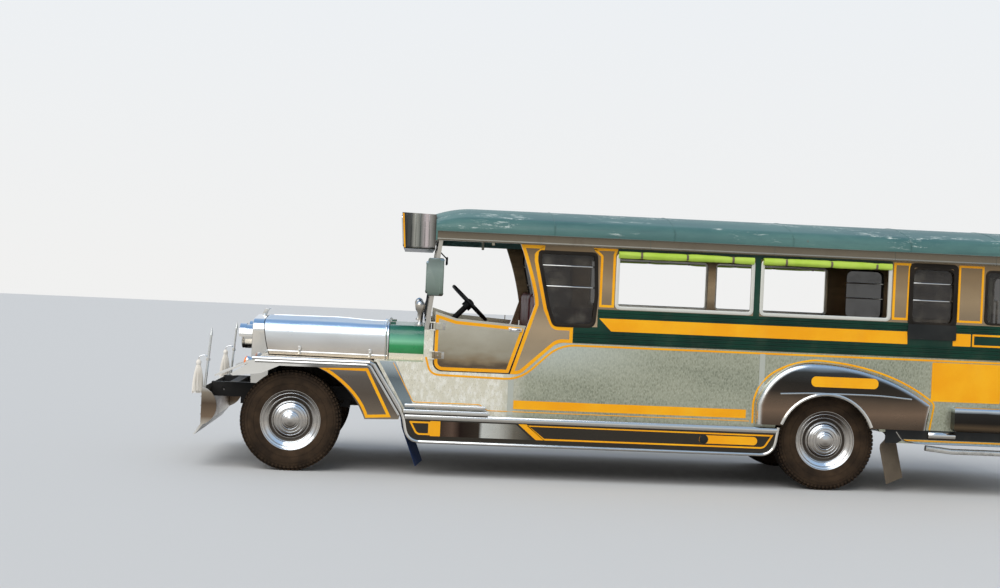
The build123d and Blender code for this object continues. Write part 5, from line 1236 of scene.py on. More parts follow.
@dataclass
class Bodywork:
    """CAD sheets and frames that keep their shape and take a finish."""

    dome: float = 0.016
    dressed: dict[str, Finish] = field(
        default_factory=lambda: {
            "chassis_frame": FRAME_BLACK, "engine_block": IRON, "leaf_springs": FRAME_BLACK,
            "front_axle": FRAME_BLACK, "rear_axle": FRAME_BLACK, "propeller_shaft": FRAME_BLACK,
            "fuel_tank": FRAME_BLACK, "exhaust": EXHAUST, "floor": FLOOR_MAT,
            "radiator": CORE,
            "running_boards": SKIRT_STEEL, "side_panels": SWIRLED, "window_walls": PILLAR_STEEL,
            "rear_wall": SWIRLED, "windscreen_frame": POLISHED, "windscreen_glass": GLASS,
            "seat_bases": BOARD, "ceiling_rails": CHROME, "steering_column": MATTE_BLACK,
            "rear_step": TREAD, "knuckle_left": IRON, "knuckle_right": IRON,
            "door_left": DOOR_STEEL, "door_right": DOOR_STEEL,
            "destination_box": BOX_STEEL, "front_bumper": BUMPER_STEEL, "steering_wheel": GRIP,
        }
    )

    def build(self) -> None:
        """Dress the nodes, and stand smoothly shaded copies in for the curved ones."""
        for node, finish in self.dressed.items():
            dress(node, finish)
        reshell("front_fenders", APRON_STEEL, smooth=35.0)
        reshell("rear_fenders", REAR_FENDER, smooth=50.0)
        reshell("corner_bumpers", CORNER_STEEL, smooth=60.0)
        reshell("head_lamps", CHROME, smooth=50.0)
        self.nose()
        self.mirrors()

    def nose(self) -> None:
        """Grille shell and hood with a slightly domed top, and the scuttle behind them."""
        cuts = [number * 0.055 for number in range(-9, 10)]
        fade = [at(0.25 + 0.05 * number) for number in range(8)]
        for node, finish, body in (("grille_shell", CHROME, "root"), ("hood", HOOD_STEEL, "hood")):
            shape = Shape().copy_node(node).slice((0.0, 1.0, 0.0), cuts).slice((1.0, 0.0, 0.0), fade)
            shape.warp(self.domed).piece(f"{node}_shell", finish, body, (node,), 40.0, recalc=False)
        reshell("scuttle", COWL)

    def domed(self, place: Vector) -> Vector:
        """Where a point of the nose's top goes when the top is domed, less towards the hinge.

        Args:
            place: A point of the flat top.

        Returns:
            The place.
        """
        station = place.x - FRONT_AXLE
        half = 0.44 + 0.12 * clamp((station + 0.26) / 0.96)
        top = clamp((place.z - 1.035) / 0.075)
        ahead = clamp((0.60 - station) / 0.35)
        across = max(0.0, 1.0 - (place.y / half) ** 2)
        rise = self.dome * across * top * ahead * ahead * (3.0 - 2.0 * ahead)
        return place + Vector((0.0, 0.0, rise))

    def mirrors(self) -> None:
        """Mirror heads with softened edges."""
        shape = Shape().copy_node("mirrors")
        long_edges = [edge for edge in shape.crisp() if edge.calc_length() > 0.05]
        shape.soften(long_edges, 0.007, 3)
        shape.piece("mirrors_shell", MIRROR_SHELL, "root", ("mirrors",), 40.0)


@dataclass
class Paintwork:
    """Painted outlines, pinstripes and the blank boards along both sides."""

    lift: float = 0.0025
    skirt_face: float = 0.9205
    strip_face: float = BODY_HALF + 0.0052

    def board(
        self, name: str, points: Sequence[Pair], half: float, rounds: float = 0.004
    ) -> None:
        """Lay a blank painted board on both sides."""
        plate(name, AMBER_PAINT, points, half, rounds, self.lift)

    def ring(
        self, name: str, points: Sequence[Pair], rounds: Sequence[float] | float, half: float,
        inset: float, width: float,
    ) -> None:
        """Lay a painted outline inside these corners on both sides."""
        shape = Shape().ring(points, half, rounds, inset, width)
        shape.thicken((0, -self.lift, 0)).pair(name, AMBER_PAINT)

    def doors(self) -> None:
        """Outline each half door, on the door itself."""
        corners = [(1.045, 1.210), (1.045, 0.794), (1.602, 0.794), (1.7105, 1.134), (1.198, 1.166)]
        for way, body in DOORS:
            shape = Shape().ring(corners, BODY_HALF, [0.010, 0.072, 0.014, 0.030, 0.03], 0.0, 0.024)
            shape.thicken((0, -self.lift, 0)).hand(way).piece(f"{body}_outline", AMBER_PAINT, body)

    def pillars(self) -> None:
        """Outline the pillar behind the door, the next pillar and the window posts."""
        corners = flat_arc((1.655, 1.757), (1.748, 1.475), (1.779, 1.312), 8) + [
            (1.612, 0.786), (1.688, 0.786), (1.960, 1.036), (2.072, 1.036), (2.072, 1.155),
            (1.930, 1.155), (1.870, 1.284), (1.788, 1.640), (1.787, 1.684), (1.834, 1.722),
            (1.838, 1.757),
        ]
        rounds = [0.0] * 9 + [
            0.004, 0.100, 0.110, 0.004, 0.004, 0.05, 0.04, 0.02, 0.03, 0.008, 0.002,
        ]
        self.ring("pillar_outline", corners, rounds, BODY_HALF, 0.001, 0.025)
        narrow = [
            (2.196, 1.756), (2.388, 1.756), (2.372, 1.704), (2.372, 1.312), (2.256, 1.312),
            (2.256, 1.690), (2.206, 1.734),
        ]
        self.ring("post_outline_front", narrow, 0.008, BODY_HALF, 0.002, 0.018)
        broad = [(4.482, 1.752), (4.622, 1.752), (4.616, 1.312), (4.482, 1.312)]
        self.ring("post_outline_middle", broad, 0.008, BODY_HALF, 0.004, 0.018)
        wide = rect(4.984, 5.188, 1.312, 1.752)
        self.ring("post_outline_rear", wide, 0.008, BODY_HALF, 0.004, 0.016)

    def lines(self) -> None:
        """Draw the pinstripes on the belt, the slanted panel, the fenders and the tail."""
        sweep = [(0.984, 0.888), (1.020, 0.760), (1.690, 0.748), (1.975, 1.019), (5.715, 1.019)]
        slant = [(0.745, 0.836), (0.903, 0.550), (1.400, 0.550), (1.454, 0.507), (3.430, 0.507)]
        tail = [(4.620, 0.408), (5.715, 0.408)]
        for name, points, radius, rounding in (
            ("belt", sweep, 0.0085, 0.12), ("panel", slant, 0.0035, 0.02),
            ("rear_fender", teardrop(0.016, 0.040), 0.0075, 0.07), ("tail", tail, 0.006, 0.05),
        ):
            path = bend(beside(points, BODY_HALF + 0.001), rounding)
            Shape().tube(path, radius, 8, flat=0.0015).pair(f"{name}_pinstripe", AMBER_PAINT)

    def boards(self) -> None:
        """Lay the blank strips, the square board and the fender's badge."""
        upper = [(2.263, 1.231), (4.608, 1.231), (4.613, 1.136), (2.357, 1.136)]
        self.board("route_strip_upper", upper, self.strip_face)
        self.board("strip_block_rear", rect(4.962, 5.100, 1.136, 1.231), self.strip_face)
        end = rect(5.112, 5.700, 1.136, 1.231)
        self.ring("strip_outline_rear", end, 0.004, self.strip_face, 0.0, 0.014)
        self.board("route_strip_lower", rect(1.649, 3.404, 0.527, 0.592), BODY_HALF)
        self.board("tail_board", rect(4.815, 5.350, 0.710, 1.006), BODY_HALF, 0.012)
        self.board("fender_badge", rect(3.870, 4.380, 0.790, 0.868), FENDER_HALF, 0.036)

    def apron(self) -> None:
        """Outline the front fender's apron."""
        inner = flat_arc((0.549, 0.412), (0.425, 0.610), (0.187, 0.782), 9)
        corners = [(0.187, 0.782), (0.565, 0.800), (0.760, 0.424), *inner[:-1]]
        self.ring("apron_outline", corners, 0.0, 0.9155, 0.010, 0.022)

    def skirt(self) -> None:
        """Outline the skirt's panels and lay its blocks."""
        face = self.skirt_face
        nose = [(0.880, 0.412), (1.036, 0.412), (1.036, 0.312), (0.935, 0.312)]
        self.ring("skirt_outline_front", nose, [0.004, 0.004, 0.004, 0.05], face, 0.0, 0.013)
        self.board("skirt_block", rect(1.036, 1.112, 0.306, 0.418), face)
        slash = [(1.690, 0.420), (1.752, 0.420), (1.890, 0.306), (1.824, 0.306)]
        self.board("skirt_slash", slash, face)
        run = [(1.752, 0.412), (3.612, 0.412), (3.545, 0.306), (1.884, 0.306)]
        self.ring("skirt_outline_long", run, [0.004, 0.004, 0.06, 0.004], face, 0.0, 0.012)
        self.board("skirt_badge", rect(3.050, 3.490, 0.330, 0.392), face + 0.0003, 0.030)
        ends = spots((3.085, -face - 0.001, 0.361), (3.085, -face - 0.0042, 0.361))
        Shape().rod(*ends, 0.034, soften=0.0008).pair("skirt_badge_disc", LINE_BLACK)

    def build(self) -> None:
        """Lay all the paint."""
        self.doors()
        self.pillars()
        self.lines()
        self.boards()
        self.apron()
        self.skirt()


@dataclass
class Mouldings:
    """Bright strips, tubes, window frames, gaskets and the belt's ribs."""

    rib_heights: tuple[float, ...] = (1.058, 1.088, 1.116, 1.252, 1.280)
    pane_half: float = 0.862
    bar_half: float = 0.858

    def skirt_tubes(self) -> None:
        """Pale tube round the skirt and the double moulding down the fender's slope."""
        around = spots(
            (0.600, -0.921, 0.822), (0.834, -0.921, 0.470), (0.866, -0.922, 0.262),
            (3.611, -0.922, 0.262), (3.645, -0.922, 0.470),
        )
        path = bend(around, 0.15, steps=8)
        Shape().tube(path, 0.013, 12).pair("skirt_tube", CHROME)
        for name, points, half, radius in (
            ("low", [(-0.270, 0.812), (0.572, 0.812), (0.800, 0.452)], 0.919, 0.0115),
            ("high", [(-0.290, 0.832), (0.590, 0.832), (0.826, 0.462)], 0.917, 0.0125),
        ):
            shape = Shape().tube(bend(beside(points, half), 0.03), radius, 12)
            shape.pair(f"fender_moulding_{name}", CHROME)

    def side_rail(self) -> None:
        """Bright rail along the skirt's top, the step ledge and the skirt's bright panel, which carries a
        painted reflection.
        """
        rail = [(0.912, 0.424), (0.928, 0.424), (0.936, 0.446), (0.928, 0.468), (0.912, 0.468)]
        Shape().profile(rail, 0.846, 3.640, 0.004).pair("side_rail", CHROME)
        ledge = Shape()
        for low, high, out, front, rear in (
            (0.468, 0.500, 0.946, 0.835, 1.462), (0.512, 0.540, 0.930, 0.842, 1.440),
        ):
            lip = (out + 0.004, (low + high) / 2)
            section = [(0.884, low), (out, low), lip, (out, high), (0.884, high)]
            ledge.profile(section, front, rear, 0.004)
        ledge.pair("entry_ledge", CHROME)
        # The skirt's bright panel: painted reflection along its length.
        corners = [(1.122, 0.416), (1.672, 0.416), (1.800, 0.306), (1.122, 0.306)]
        plate("skirt_bright_panel", SKIRT_MIRROR, corners, 0.9203, 0.004, 0.0025)

    def frame(self, name: str, finish: Finish, band: Shape, thick: float, soften: float) -> None:
        """Give a flat band its thickness and soft edges, on both sides."""
        band.thicken((0, -thick, 0))
        band.soften(band.crisp(), soften).pair(name, finish)

    def window_frames(self) -> None:
        """Aluminium frames round the long windows and dark gaskets round the others."""
        for number, (front, rear, bottom, top, corner) in enumerate(WINDOWS, 1):
            grow, width, finish = 0.006, 0.018, DARK_RUBBER
            if number <= 2:
                grow, width, finish = 0.010, 0.027, ALUMINIUM
            corners = rect(front - grow, rear + grow, bottom - grow, top + grow)
            band = Shape().ring(corners, 0.872, corner + grow, 0.0, width)
            self.frame(f"window_frame_{number}", finish, band, 0.017, 0.0025)
        rounds = [0.035, 0.03, 0.05, 0.045, 0.055, 0.03, 0.035]
        gasket = Shape().ring(QUARTER_WINDOW, 0.868, rounds, -0.011, 0.027)
        self.frame("quarter_gasket", DARK_RUBBER, gasket, 0.019, 0.003)
        surround = Shape().ring(rect(4.608, 4.986, 1.272, 1.752), BODY_HALF, 0.050, 0.0, 0.034)
        self.frame("drop_window_surround", DARK_RUBBER, surround, 0.006, 0.002)

    def panes(self) -> None:
        """Dark panes of the side windows that stay shut, and the bars across them."""
        shape = Shape().outline(QUARTER_WINDOW, self.pane_half, 0.028)
        for front, rear, bottom, top, corner in WINDOWS[2:]:
            shape.outline(rect(front, rear, bottom, top), self.pane_half, corner)
        shape.thicken((0, 0.004, 0)).pair("side_panes", SMOKED_GLASS)
        bars = Shape()
        for front, rear, height in (
            (1.805, 2.232, 1.610), (1.838, 2.238, 1.455), (4.632, 4.964, 1.600),
            (4.632, 4.964, 1.470),
        ):
            bars.rod(*beside([(front, height), (rear, height)], self.bar_half), 0.006, soften=0.001)
        bars.pair("window_bars", CHROME)

    def belt(self) -> None:
        """Dark green belt with rolled ribs, and the green post between the long windows."""
        face = BODY_HALF + 0.005
        ribs = [
            [(face, z - 0.008), (face + 0.006, z - 0.004), (face + 0.006, z + 0.004), (face, z + 0.008)]
            for z in self.rib_heights
        ]
        low = [(BODY_HALF, 1.038), (face, 1.038), *ribs[0], *ribs[1], *ribs[2]]
        high = [*ribs[3], *ribs[4], (face, 1.298), (BODY_HALF, 1.298)]
        shape = Shape().profile([*low, (face, 1.163), (BODY_HALF, 1.163)], 2.072, 2.252)
        shape.profile([*low, *high], 2.252, 5.715).pair("belt_panel", BELT)
        post = Shape().box(*spots((3.425, -0.8835, 1.298), (3.470, -BODY_HALF, 1.757)))
        post.box(*spots((2.385, -0.8832, 1.727), (4.475, -BODY_HALF, 1.757)))
        post.pair("green_posts", BELT)
        pocket = rect(4.610, 4.984, 1.176, 1.290)
        plate("drop_window_pocket", LINE_BLACK, pocket, 0.8915, 0.01, 0.003)

    def fender_lips(self) -> None:
        """Rolled bright lip round each rear wheel opening, and the fender's crease."""
        lip = []
        for step in range(29):
            angle = math.radians(-7.0 + 194.0 * step / 28)
            place = (WHEELBASE - 0.030 + 0.366 * math.cos(angle), 0.370 + 0.366 * math.sin(angle))
            if place[1] > 0.4805:
                lip.append(place)
        Shape().tube(beside(lip, 0.960), 0.015, 12).pair("rear_arch_lip", CHROME)
        crease = [(3.640, 0.728), (3.90, 0.742), (4.400, 0.742), (4.640, 0.724)]
        shape = Shape().tube(bend(beside(crease, FENDER_HALF), 0.1), 0.006, 8, flat=0.004)
        shape.pair("rear_fender_crease", CHROME)
        line = [(4.560, 0.472), (4.610, 0.402), (4.700, 0.388), (5.715, 0.388)]
        Shape().tube(bend(beside(line, 0.884), 0.06), 0.006, 8).pair("tail_moulding", CHROME)

    def seams(self) -> None:
        """Cover strips over the side panels' seams, a black panel that paints the shade under the rear
        fender and tail, and the panels and brackets round them.
        """
        shape = Shape()
        for x, bottom, top in ((1.604, 0.475, 0.744), (3.492, 0.475, 1.016)):
            shape.box(*spots((x, -0.8822, bottom), (x + 0.042, -BODY_HALF, top)), 0.0008, 1)
        shape.pair("panel_seams", SEAM_STEEL)
        # A black panel painted where the shade falls below the rear fender and along the tail.
        shade_outline = [
            (4.476, 0.488), (5.715, 0.488), (5.715, 0.417), (4.622, 0.417), (4.570, 0.384),
            (4.476, 0.384),
        ]
        plate("rear_rocker_panel", LINE_BLACK, shade_outline, BODY_HALF, 0.003, 0.0015)
        section = [(0.880, 0.424), (0.904, 0.430), (0.914, 0.453), (0.904, 0.476), (0.880, 0.482)]
        bracket = Shape().profile(section, 4.800, 5.010, 0.006)
        bracket.soften(bracket.crisp(), 0.004)
        bracket.pair("corner_bumper_brackets", CHROME)
        slant = [(0.640, 0.846), (0.762, 0.846), (0.926, 0.482), (0.852, 0.482)]
        plate("slanted_panel", SLANT_STEEL, slant, BODY_HALF, 0.003, 0.0018)

    def build(self) -> None:
        """Build all the mouldings."""
        self.skirt_tubes()
        self.side_rail()
        self.window_frames()
        self.panes()
        self.belt()
        self.fender_lips()
        self.seams()


@dataclass
class RoofLine:
    """Gutter, seams and rims round the roof, and the blank box over the windscreen."""

    front: float = 1.030
    rear: float = 5.760
    joints: tuple[float, ...] = (1.800, 2.620, 3.560, 4.480, 5.260)
    rivet_pitch: float = 0.105
    box_lean: float = -4.9

    def gutter(self) -> None:
        """Folded gutter along both sides, in dented lengths."""
        section = [
            (0.9135, 1.7600), (0.9220, 1.7605), (0.9235, 1.7680), (0.9180, 1.7760),
            (0.9175, 1.8200), (0.9215, 1.8270), (0.9135, 1.8310),
        ]
        shape = Shape()
        for start, end in zip((self.front, *self.joints), (*self.joints, self.rear)):
            shape.profile(section, start + 0.001, end - 0.001)
        shape.pair("gutter", GUTTER)
        rivets = Shape()
        for number in range(int((self.rear - self.front) / self.rivet_pitch)):
            x = at(self.front + 0.05 + number * self.rivet_pitch)
            rivets.rod((x, -0.9165, 1.812), (x, -0.9195, 1.812), 0.0045, 0.0030, 8)
        rivets.pair("gutter_rivets", GUTTER)

    def shell(self) -> BVHTree:
        """Roof sheet whose ends curve down, and its surface for what lies on it."""
        stations = (
            1.04, 1.07, 1.10, 1.13, 1.17, 1.21, 1.26, 1.31, 5.50, 5.56, 5.61, 5.66, 5.70, 5.74,
        )
        shape = Shape().copy_node("roof").slice((1.0, 0.0, 0.0), [at(x) for x in stations])
        surface = BVHTree.FromBMesh(shape.warp(self.rounded).bm)
        shape.piece("roof_shell", ROOF_PAINT, "root", ("roof",), 35.0, recalc=False)
        return surface

    def rounded(self, place: Vector) -> Vector:
        """Where a point of the roof goes when its ends curve down.

        Args:
            place: A point of the straight roof.

        Returns:
            The place.
        """
        station = place.x - FRONT_AXLE
        front = clamp((1.31 - station) / 0.29)
        back = clamp((station - 5.49) / 0.30)
        high = clamp((place.z - 1.86) / 0.10)
        return place - Vector((0.0, 0.0, (0.052 * front ** 2 + 0.036 * back ** 2) * high))

    def seams(self, surface: BVHTree) -> None:
        """Lapped seams across the roof.

        Args:
            surface: What the seams lie on.
        """
        shape = Shape()
        for station in (1.900, 2.800, 3.700, 4.600, 5.300):
            x = at(station)
            path = [Vector((x, -0.9165, 1.834)), Vector((x, -0.9162, 1.900))]
            for step in range(25):
                above = Vector((x, -0.912 + 0.912 * step / 24, 3.0))
                hit = surface.ray_cast(above, Vector((0, 0, -1)))[0]
                if hit is not None and hit.z > path[-1].z - 0.002:
                    path.append(hit + Vector((0, 0, 0.0006)))
            shape.tube(path, 0.0024, 6)
        shape.pair("roof_seams", ROOF_PAINT)

    def box(self) -> None:
        """Ribbed sides, amber edge lines and a blank board on the box's front."""
        ribs = Shape()
        for number in range(6):
            x = 0.800 + number * 0.034
            ends = spots((x, -0.7195, 1.712), (x - 0.004, -0.7195, 1.950))
            ribs.rod(*ends, 0.0045, sides=10, soften=0.001)
        ribs.pair("box_ribs", BOX_STEEL)
        edge = [(0.766, 1.956), (0.777, 1.956), (0.796, 1.698), (0.785, 1.698)]
        plate("box_edge_lines", AMBER_PAINT, edge, 0.7205, 0.0, 0.003)
        board = Shape().box(*spots((0.7815, -0.650, 1.725), (0.7845, 0.650, 1.925)), 0.001)
        rim = bend(pane(at(0.782), -0.665, 0.665, 1.712, 1.938), 0.02, True)
        for name, shape, finish in (
            ("box_board", board, LINE_BLACK),
            ("box_board_rim", Shape().tube(rim, 0.006, 10, True), CHROME),
        ):
            shape.turn((at(0.785), 0.0, 1.692), self.box_lean, (0, 1, 0)).piece(name, finish)

    def build(self) -> None:
        """Build the roof's edge and the box's dress."""
        self.gutter()
        self.seams(self.shell())
        self.box()


@dataclass
class Nose:
    """Lamps, grille dress, hood trim, bumper, poles and tassels."""

    lamp: Triple = (-0.420, 0.340, 0.965)
    lamp_radius: float = 0.079
    fender_lamp: Triple = (-0.345, 0.760, 0.800)
    strips: int = 64
    golden_angle: float = 2.399

    def lamps(self) -> None:
        """Bezel and domed lens of each head lamp, and the fender lamps."""
        centre, = spots(self.lamp)
        bezel = [
            (0.004, 0.092), (0.009, 0.089), (0.010, 0.084), (0.006, 0.079), (-0.004, 0.079),
            (-0.004, 0.092),
        ]
        turned("lamp_bezels", CHROME, bezel, centre, (-1, 0, 0))
        lens = [(0.0135, 0.0005)]
        for radius in (0.02, 0.04, 0.06, 0.074, 0.079):
            lens.append((0.0135 - 0.009 * (radius / self.lamp_radius) ** 2, radius))
        lens += [(-0.002, self.lamp_radius), (-0.002, 0.0005)]
        turned("lamp_lenses", LAMP_GLASS, lens, centre, (-1, 0, 0))
        centre, = spots(self.fender_lamp)
        cup = [
            (-0.060, 0.0005), (-0.056, 0.018), (-0.030, 0.034), (0.0, 0.038), (0.006, 0.036),
            (0.004, 0.0005),
        ]
        turned("fender_lamp_cups", CHROME, cup, centre, (-1, 0, 0.25), 40)
        amber = [(0.004, 0.0005), (0.005, 0.035), (0.012, 0.033), (0.020, 0.020), (0.023, 0.0005)]
        turned("fender_lamp_lenses", AMBER_LENS, amber, centre, (-1, 0, 0.25), 40)

    def hood(self) -> None:
        """Side strips, latches, a band and a centre strip, riding on the hood."""
        strip = Shape().tube(spots((-0.225, -0.447, 0.868), (0.690, -0.566, 0.868)), 0.006, 10)
        strip.pair("hood_side_strips", CHROME, "hood")
        latch = Shape()
        for x, y in ((0.02, -0.4795), (0.56, -0.549)):
            latch.box(*spots((x - 0.012, y - 0.008, 0.850), (x + 0.012, y + 0.004, 0.912)), 0.003)
            latch.rod(*spots((x, y - 0.008, 0.880), (x, y - 0.017, 0.880)), 0.008, 0.005, 14)
        latch.pair("hood_latches", CHROME, "hood")
        x = at(0.676)
        crown = [(x, -0.569, 0.850), (x, -0.569, 1.020)]
        crown += arc((x, -0.569, 1.030), (x, -0.541, 1.092), (x, -0.470, 1.1205), 8)
        crown += [(x, -0.25, 1.1205), (x, 0.0, 1.1205)]
        Shape().tube(bend(crown, 0.02), 0.0055, 10).pair("hood_rear_band", CHROME, "hood")
        line = []
        for number in range(19):
            station = -0.225 + 0.895 * number / 18
            line.append(Bodywork().domed(Vector((at(station), 0.0, 1.1155 + 0.0052 * station))))
        Shape().tube(line, 0.004, 10).piece("hood_centre_strip", CHROME, "hood")

    def ornament(self) -> None:
        """A plain swept fin on a base, at the top of the grille."""
        base = [
            (0.0, 0.0005), (0.0, 0.030), (0.006, 0.031), (0.014, 0.020), (0.022, 0.012),
            (0.024, 0.0005),
        ]
        corners = [(-0.322, 1.130), (-0.300, 1.176), (-0.246, 1.186), (-0.272, 1.160), (-0.284, 1.130)]
        fin = Shape().outline(corners, 0.004, 0.006).thicken((0, 0.008, 0))
        fin.soften(fin.crisp(), 0.002)
        shape = Shape().lathe(base, (at(-0.300), 0.0, 1.112), (0, 0, 1), 36)
        shape.join(fin).piece("nose_ornament", CHROME, smooth=50)

    def grille(self) -> None:
        """Bright ring round the grille's opening and a crossbar of studs."""
        ring = bend(pane(at(-0.352), -0.262, 0.262, 0.678, 1.072), 0.045, True)
        Shape().tube(ring, 0.009, 12, True).piece("grille_ring", POLISHED)
        studs = Shape()
        for number in range(14):
            y = -0.247 + number * 0.038
            studs.rod(*spots((-0.350, y, 0.655), (-0.358, y, 0.655)), 0.008, 0.004, 12)
        studs.piece("grille_studs", CHROME)

    def bumper(self) -> None:
        """Ribs along the bumper and a blank plate with its rim."""
        ribs = Shape()
        for height in (0.392, 0.456, 0.524):
            ribs.tube(spots((-0.664, -0.800, height), (-0.664, 0.800, height)), 0.0065, 10)
        ribs.piece("bumper_ribs", POLISHED)
        blank = Shape().box(*spots((-0.676, -0.190, 0.405), (-0.671, 0.190, 0.555)), 0.002)
        blank.piece("front_plate", LINING)
        rim = bend(pane(at(-0.675), -0.193, 0.193, 0.402, 0.558), 0.012, True)
        Shape().tube(rim, 0.004, 8, True).piece("front_plate_rim", CHROME)

    def poles(self) -> None:
        """Bright collars and loops that tie the tassels to the poles."""
        shape = Shape()
        for side in BOTH_SIDES:
            y = side * 0.800
            for x, z, half, radius in ((-0.649, 0.505, 0.012, 0.016), (-0.626, 0.800, 0.010, 0.015)):
                collar = [(-half, 0.0095), (-half, radius), (half, radius), (half, 0.0095)]
                shape.lathe(collar, (at(x), y, z), (0.04, 0, 0.51), 24)
            hook = spots(
                (-0.628, y, 0.820), (-0.662, y, 0.832), (-0.694, y, 0.816), (-0.695, y, 0.792),
            )
            shape.tube(bend(hook, 0.014), 0.0035, 8)
        shape.piece("pole_collars", CHROME, smooth=50)

    def tassels(self) -> None:
        """Bundles of hanging strips tied below a knot."""
        maker = random.Random(4)
        knot = [
            (0.0, 0.0005), (-0.003, 0.012), (-0.018, 0.020), (-0.036, 0.018), (-0.044, 0.010),
            (-0.046, 0.0005),
        ]
        shape = Shape()
        for side in BOTH_SIDES:
            top = Vector((-3.365, side * 0.800, 0.797))
            shape.lathe(knot, top, (0, 0, 1), 24)
            for number in range(self.strips):
                angle = number * self.golden_angle
                reach = 0.040 * math.sqrt((number + 0.5) / self.strips)
                length = maker.uniform(0.185, 0.212)
                away = Vector((math.cos(angle), math.sin(angle), 0.0))
                start = top + Vector((0, 0, -0.040)) + away * reach * 0.3
                middle = start + away * reach * 0.55 + Vector((0, 0, -length * 0.45))
                spread = reach * 0.7 + maker.uniform(-0.004, 0.003)
                end = start + away * spread + Vector((0, 0, -length))
                shape.tube(arc(start, middle, end, 5), 0.0034, 5)
        shape.piece("tassel_strips", STREAMER, "root", ("tassels",), smooth=60)

    def build(self) -> None:
        """Build the nose."""
        self.lamps()
        self.hood()
        self.ornament()
        self.grille()
        self.bumper()
        self.poles()
        self.tassels()


@dataclass(frozen=True)
class Pad:
    """A stuffed pad: the room that it has, its sewn channels and the side that it rests on."""

    low: Triple
    high: Triple
    thin: int
    rests: int
    along: int
    pitch: float
    voxel: float = 0.007
    puff: float = 0.016

    def block(self) -> Shape:
        """The softened block that the stuffing starts from."""
        low = [value + 0.004 for value in self.low]
        high = [value - 0.004 for value in self.high]
        low[self.thin] = self.low[self.thin] + (0.0 if self.rests < 0 else self.puff)
        high[self.thin] = self.high[self.thin] - (0.0 if self.rests > 0 else self.puff)
        return Shape().box(low, high, 0.014, 3)

    def sewn(self, place: Vector, seed: float) -> Vector:
        """Where a point goes when the channels are drawn in and the cover has its creases.

        Args:
            place: A point of the swollen pad.
            seed: Where its creases come from.

        Returns:
            The place, inside the pad's room.
        """
        low, high = self.low[self.thin], self.high[self.thin]
        spot = place.copy()
        phase = (place[self.along] - self.low[self.along]) / self.pitch
        seam = math.exp(-(((phase - round(phase)) * self.pitch / 0.009) ** 2))
        out = (place[self.thin] - (low + high) / 2) / ((high - low) / 2)
        crease = noise.noise(place * 11.0 + Vector((seed, 1.7, 0.4))) * 0.003
        spot[self.thin] += math.copysign(min(1.0, out * out), out) * (crease - 0.011 * seam)
        spot[self.thin] = min(max(spot[self.thin], low), high)
        return spot

    def cover(self, mesh: bpy.types.Mesh, number: int) -> Shape:
        """The swollen mesh with its channels, and with creases of its own."""
        return Shape(mesh).warp(lambda place: self.sewn(place, number * 3.1))


def snapshot(holder: bpy.types.Object) -> bpy.types.Mesh:
    """A new mesh of the object as its modifiers leave it."""
    graph = bpy.context.evaluated_depsgraph_get()
    return bpy.data.meshes.new_from_object(holder.evaluated_get(graph))


def stuffed(pads: Sequence[Pad], frames: int = 14) -> list[bpy.types.Mesh]:
    """Swell the pads' blocks as cloth under pressure, all in one short simulation.

    Args:
        pads: The pads.
        frames: How many frames the pressure works.

    Returns:
        The swollen mesh of each pad, where no point has moved further than its puff.
    """
    scene = bpy.context.scene
    holders = []
    for pad in pads:
        mesh = bpy.data.meshes.new("stuffing")
        shape = pad.block()
        shape.bm.to_mesh(mesh)
        shape.bm.free()
        holder = bpy.data.objects.new("stuffing", mesh)
        scene.collection.objects.link(holder)
        fine = holder.modifiers.new("fine", "REMESH")
        fine.mode = "VOXEL"
        fine.voxel_size = pad.voxel
        bpy.context.view_layer.update()
        holder.data = snapshot(holder)
        holder.modifiers.clear()
        cloth = holder.modifiers.new("stuffing", "CLOTH")
        cloth.settings.quality = 4
        cloth.settings.use_pressure = True
        cloth.settings.uniform_pressure_force = 4.0
        cloth.settings.effector_weights.gravity = 0.0
        cloth.collision_settings.use_collision = False
        cloth.point_cache.frame_end = frames
        holders.append(holder)
    rests = [[vert.co.copy() for vert in holder.data.vertices] for holder in holders]
    for frame in range(1, frames + 1):
        scene.frame_set(frame)
    meshes = [snapshot(holder) for holder in holders]
    scene.frame_set(1)
    for pad, mesh, rest in zip(pads, meshes, rests):
        for vert, start in zip(mesh.vertices, rest):
            away = vert.co - start
            if away.length > pad.puff:
                away.length = pad.puff
            vert.co = start + away
    for holder in holders:
        bpy.data.objects.remove(holder)
    log.info("%d pads stuffed", len(pads))
    return meshes


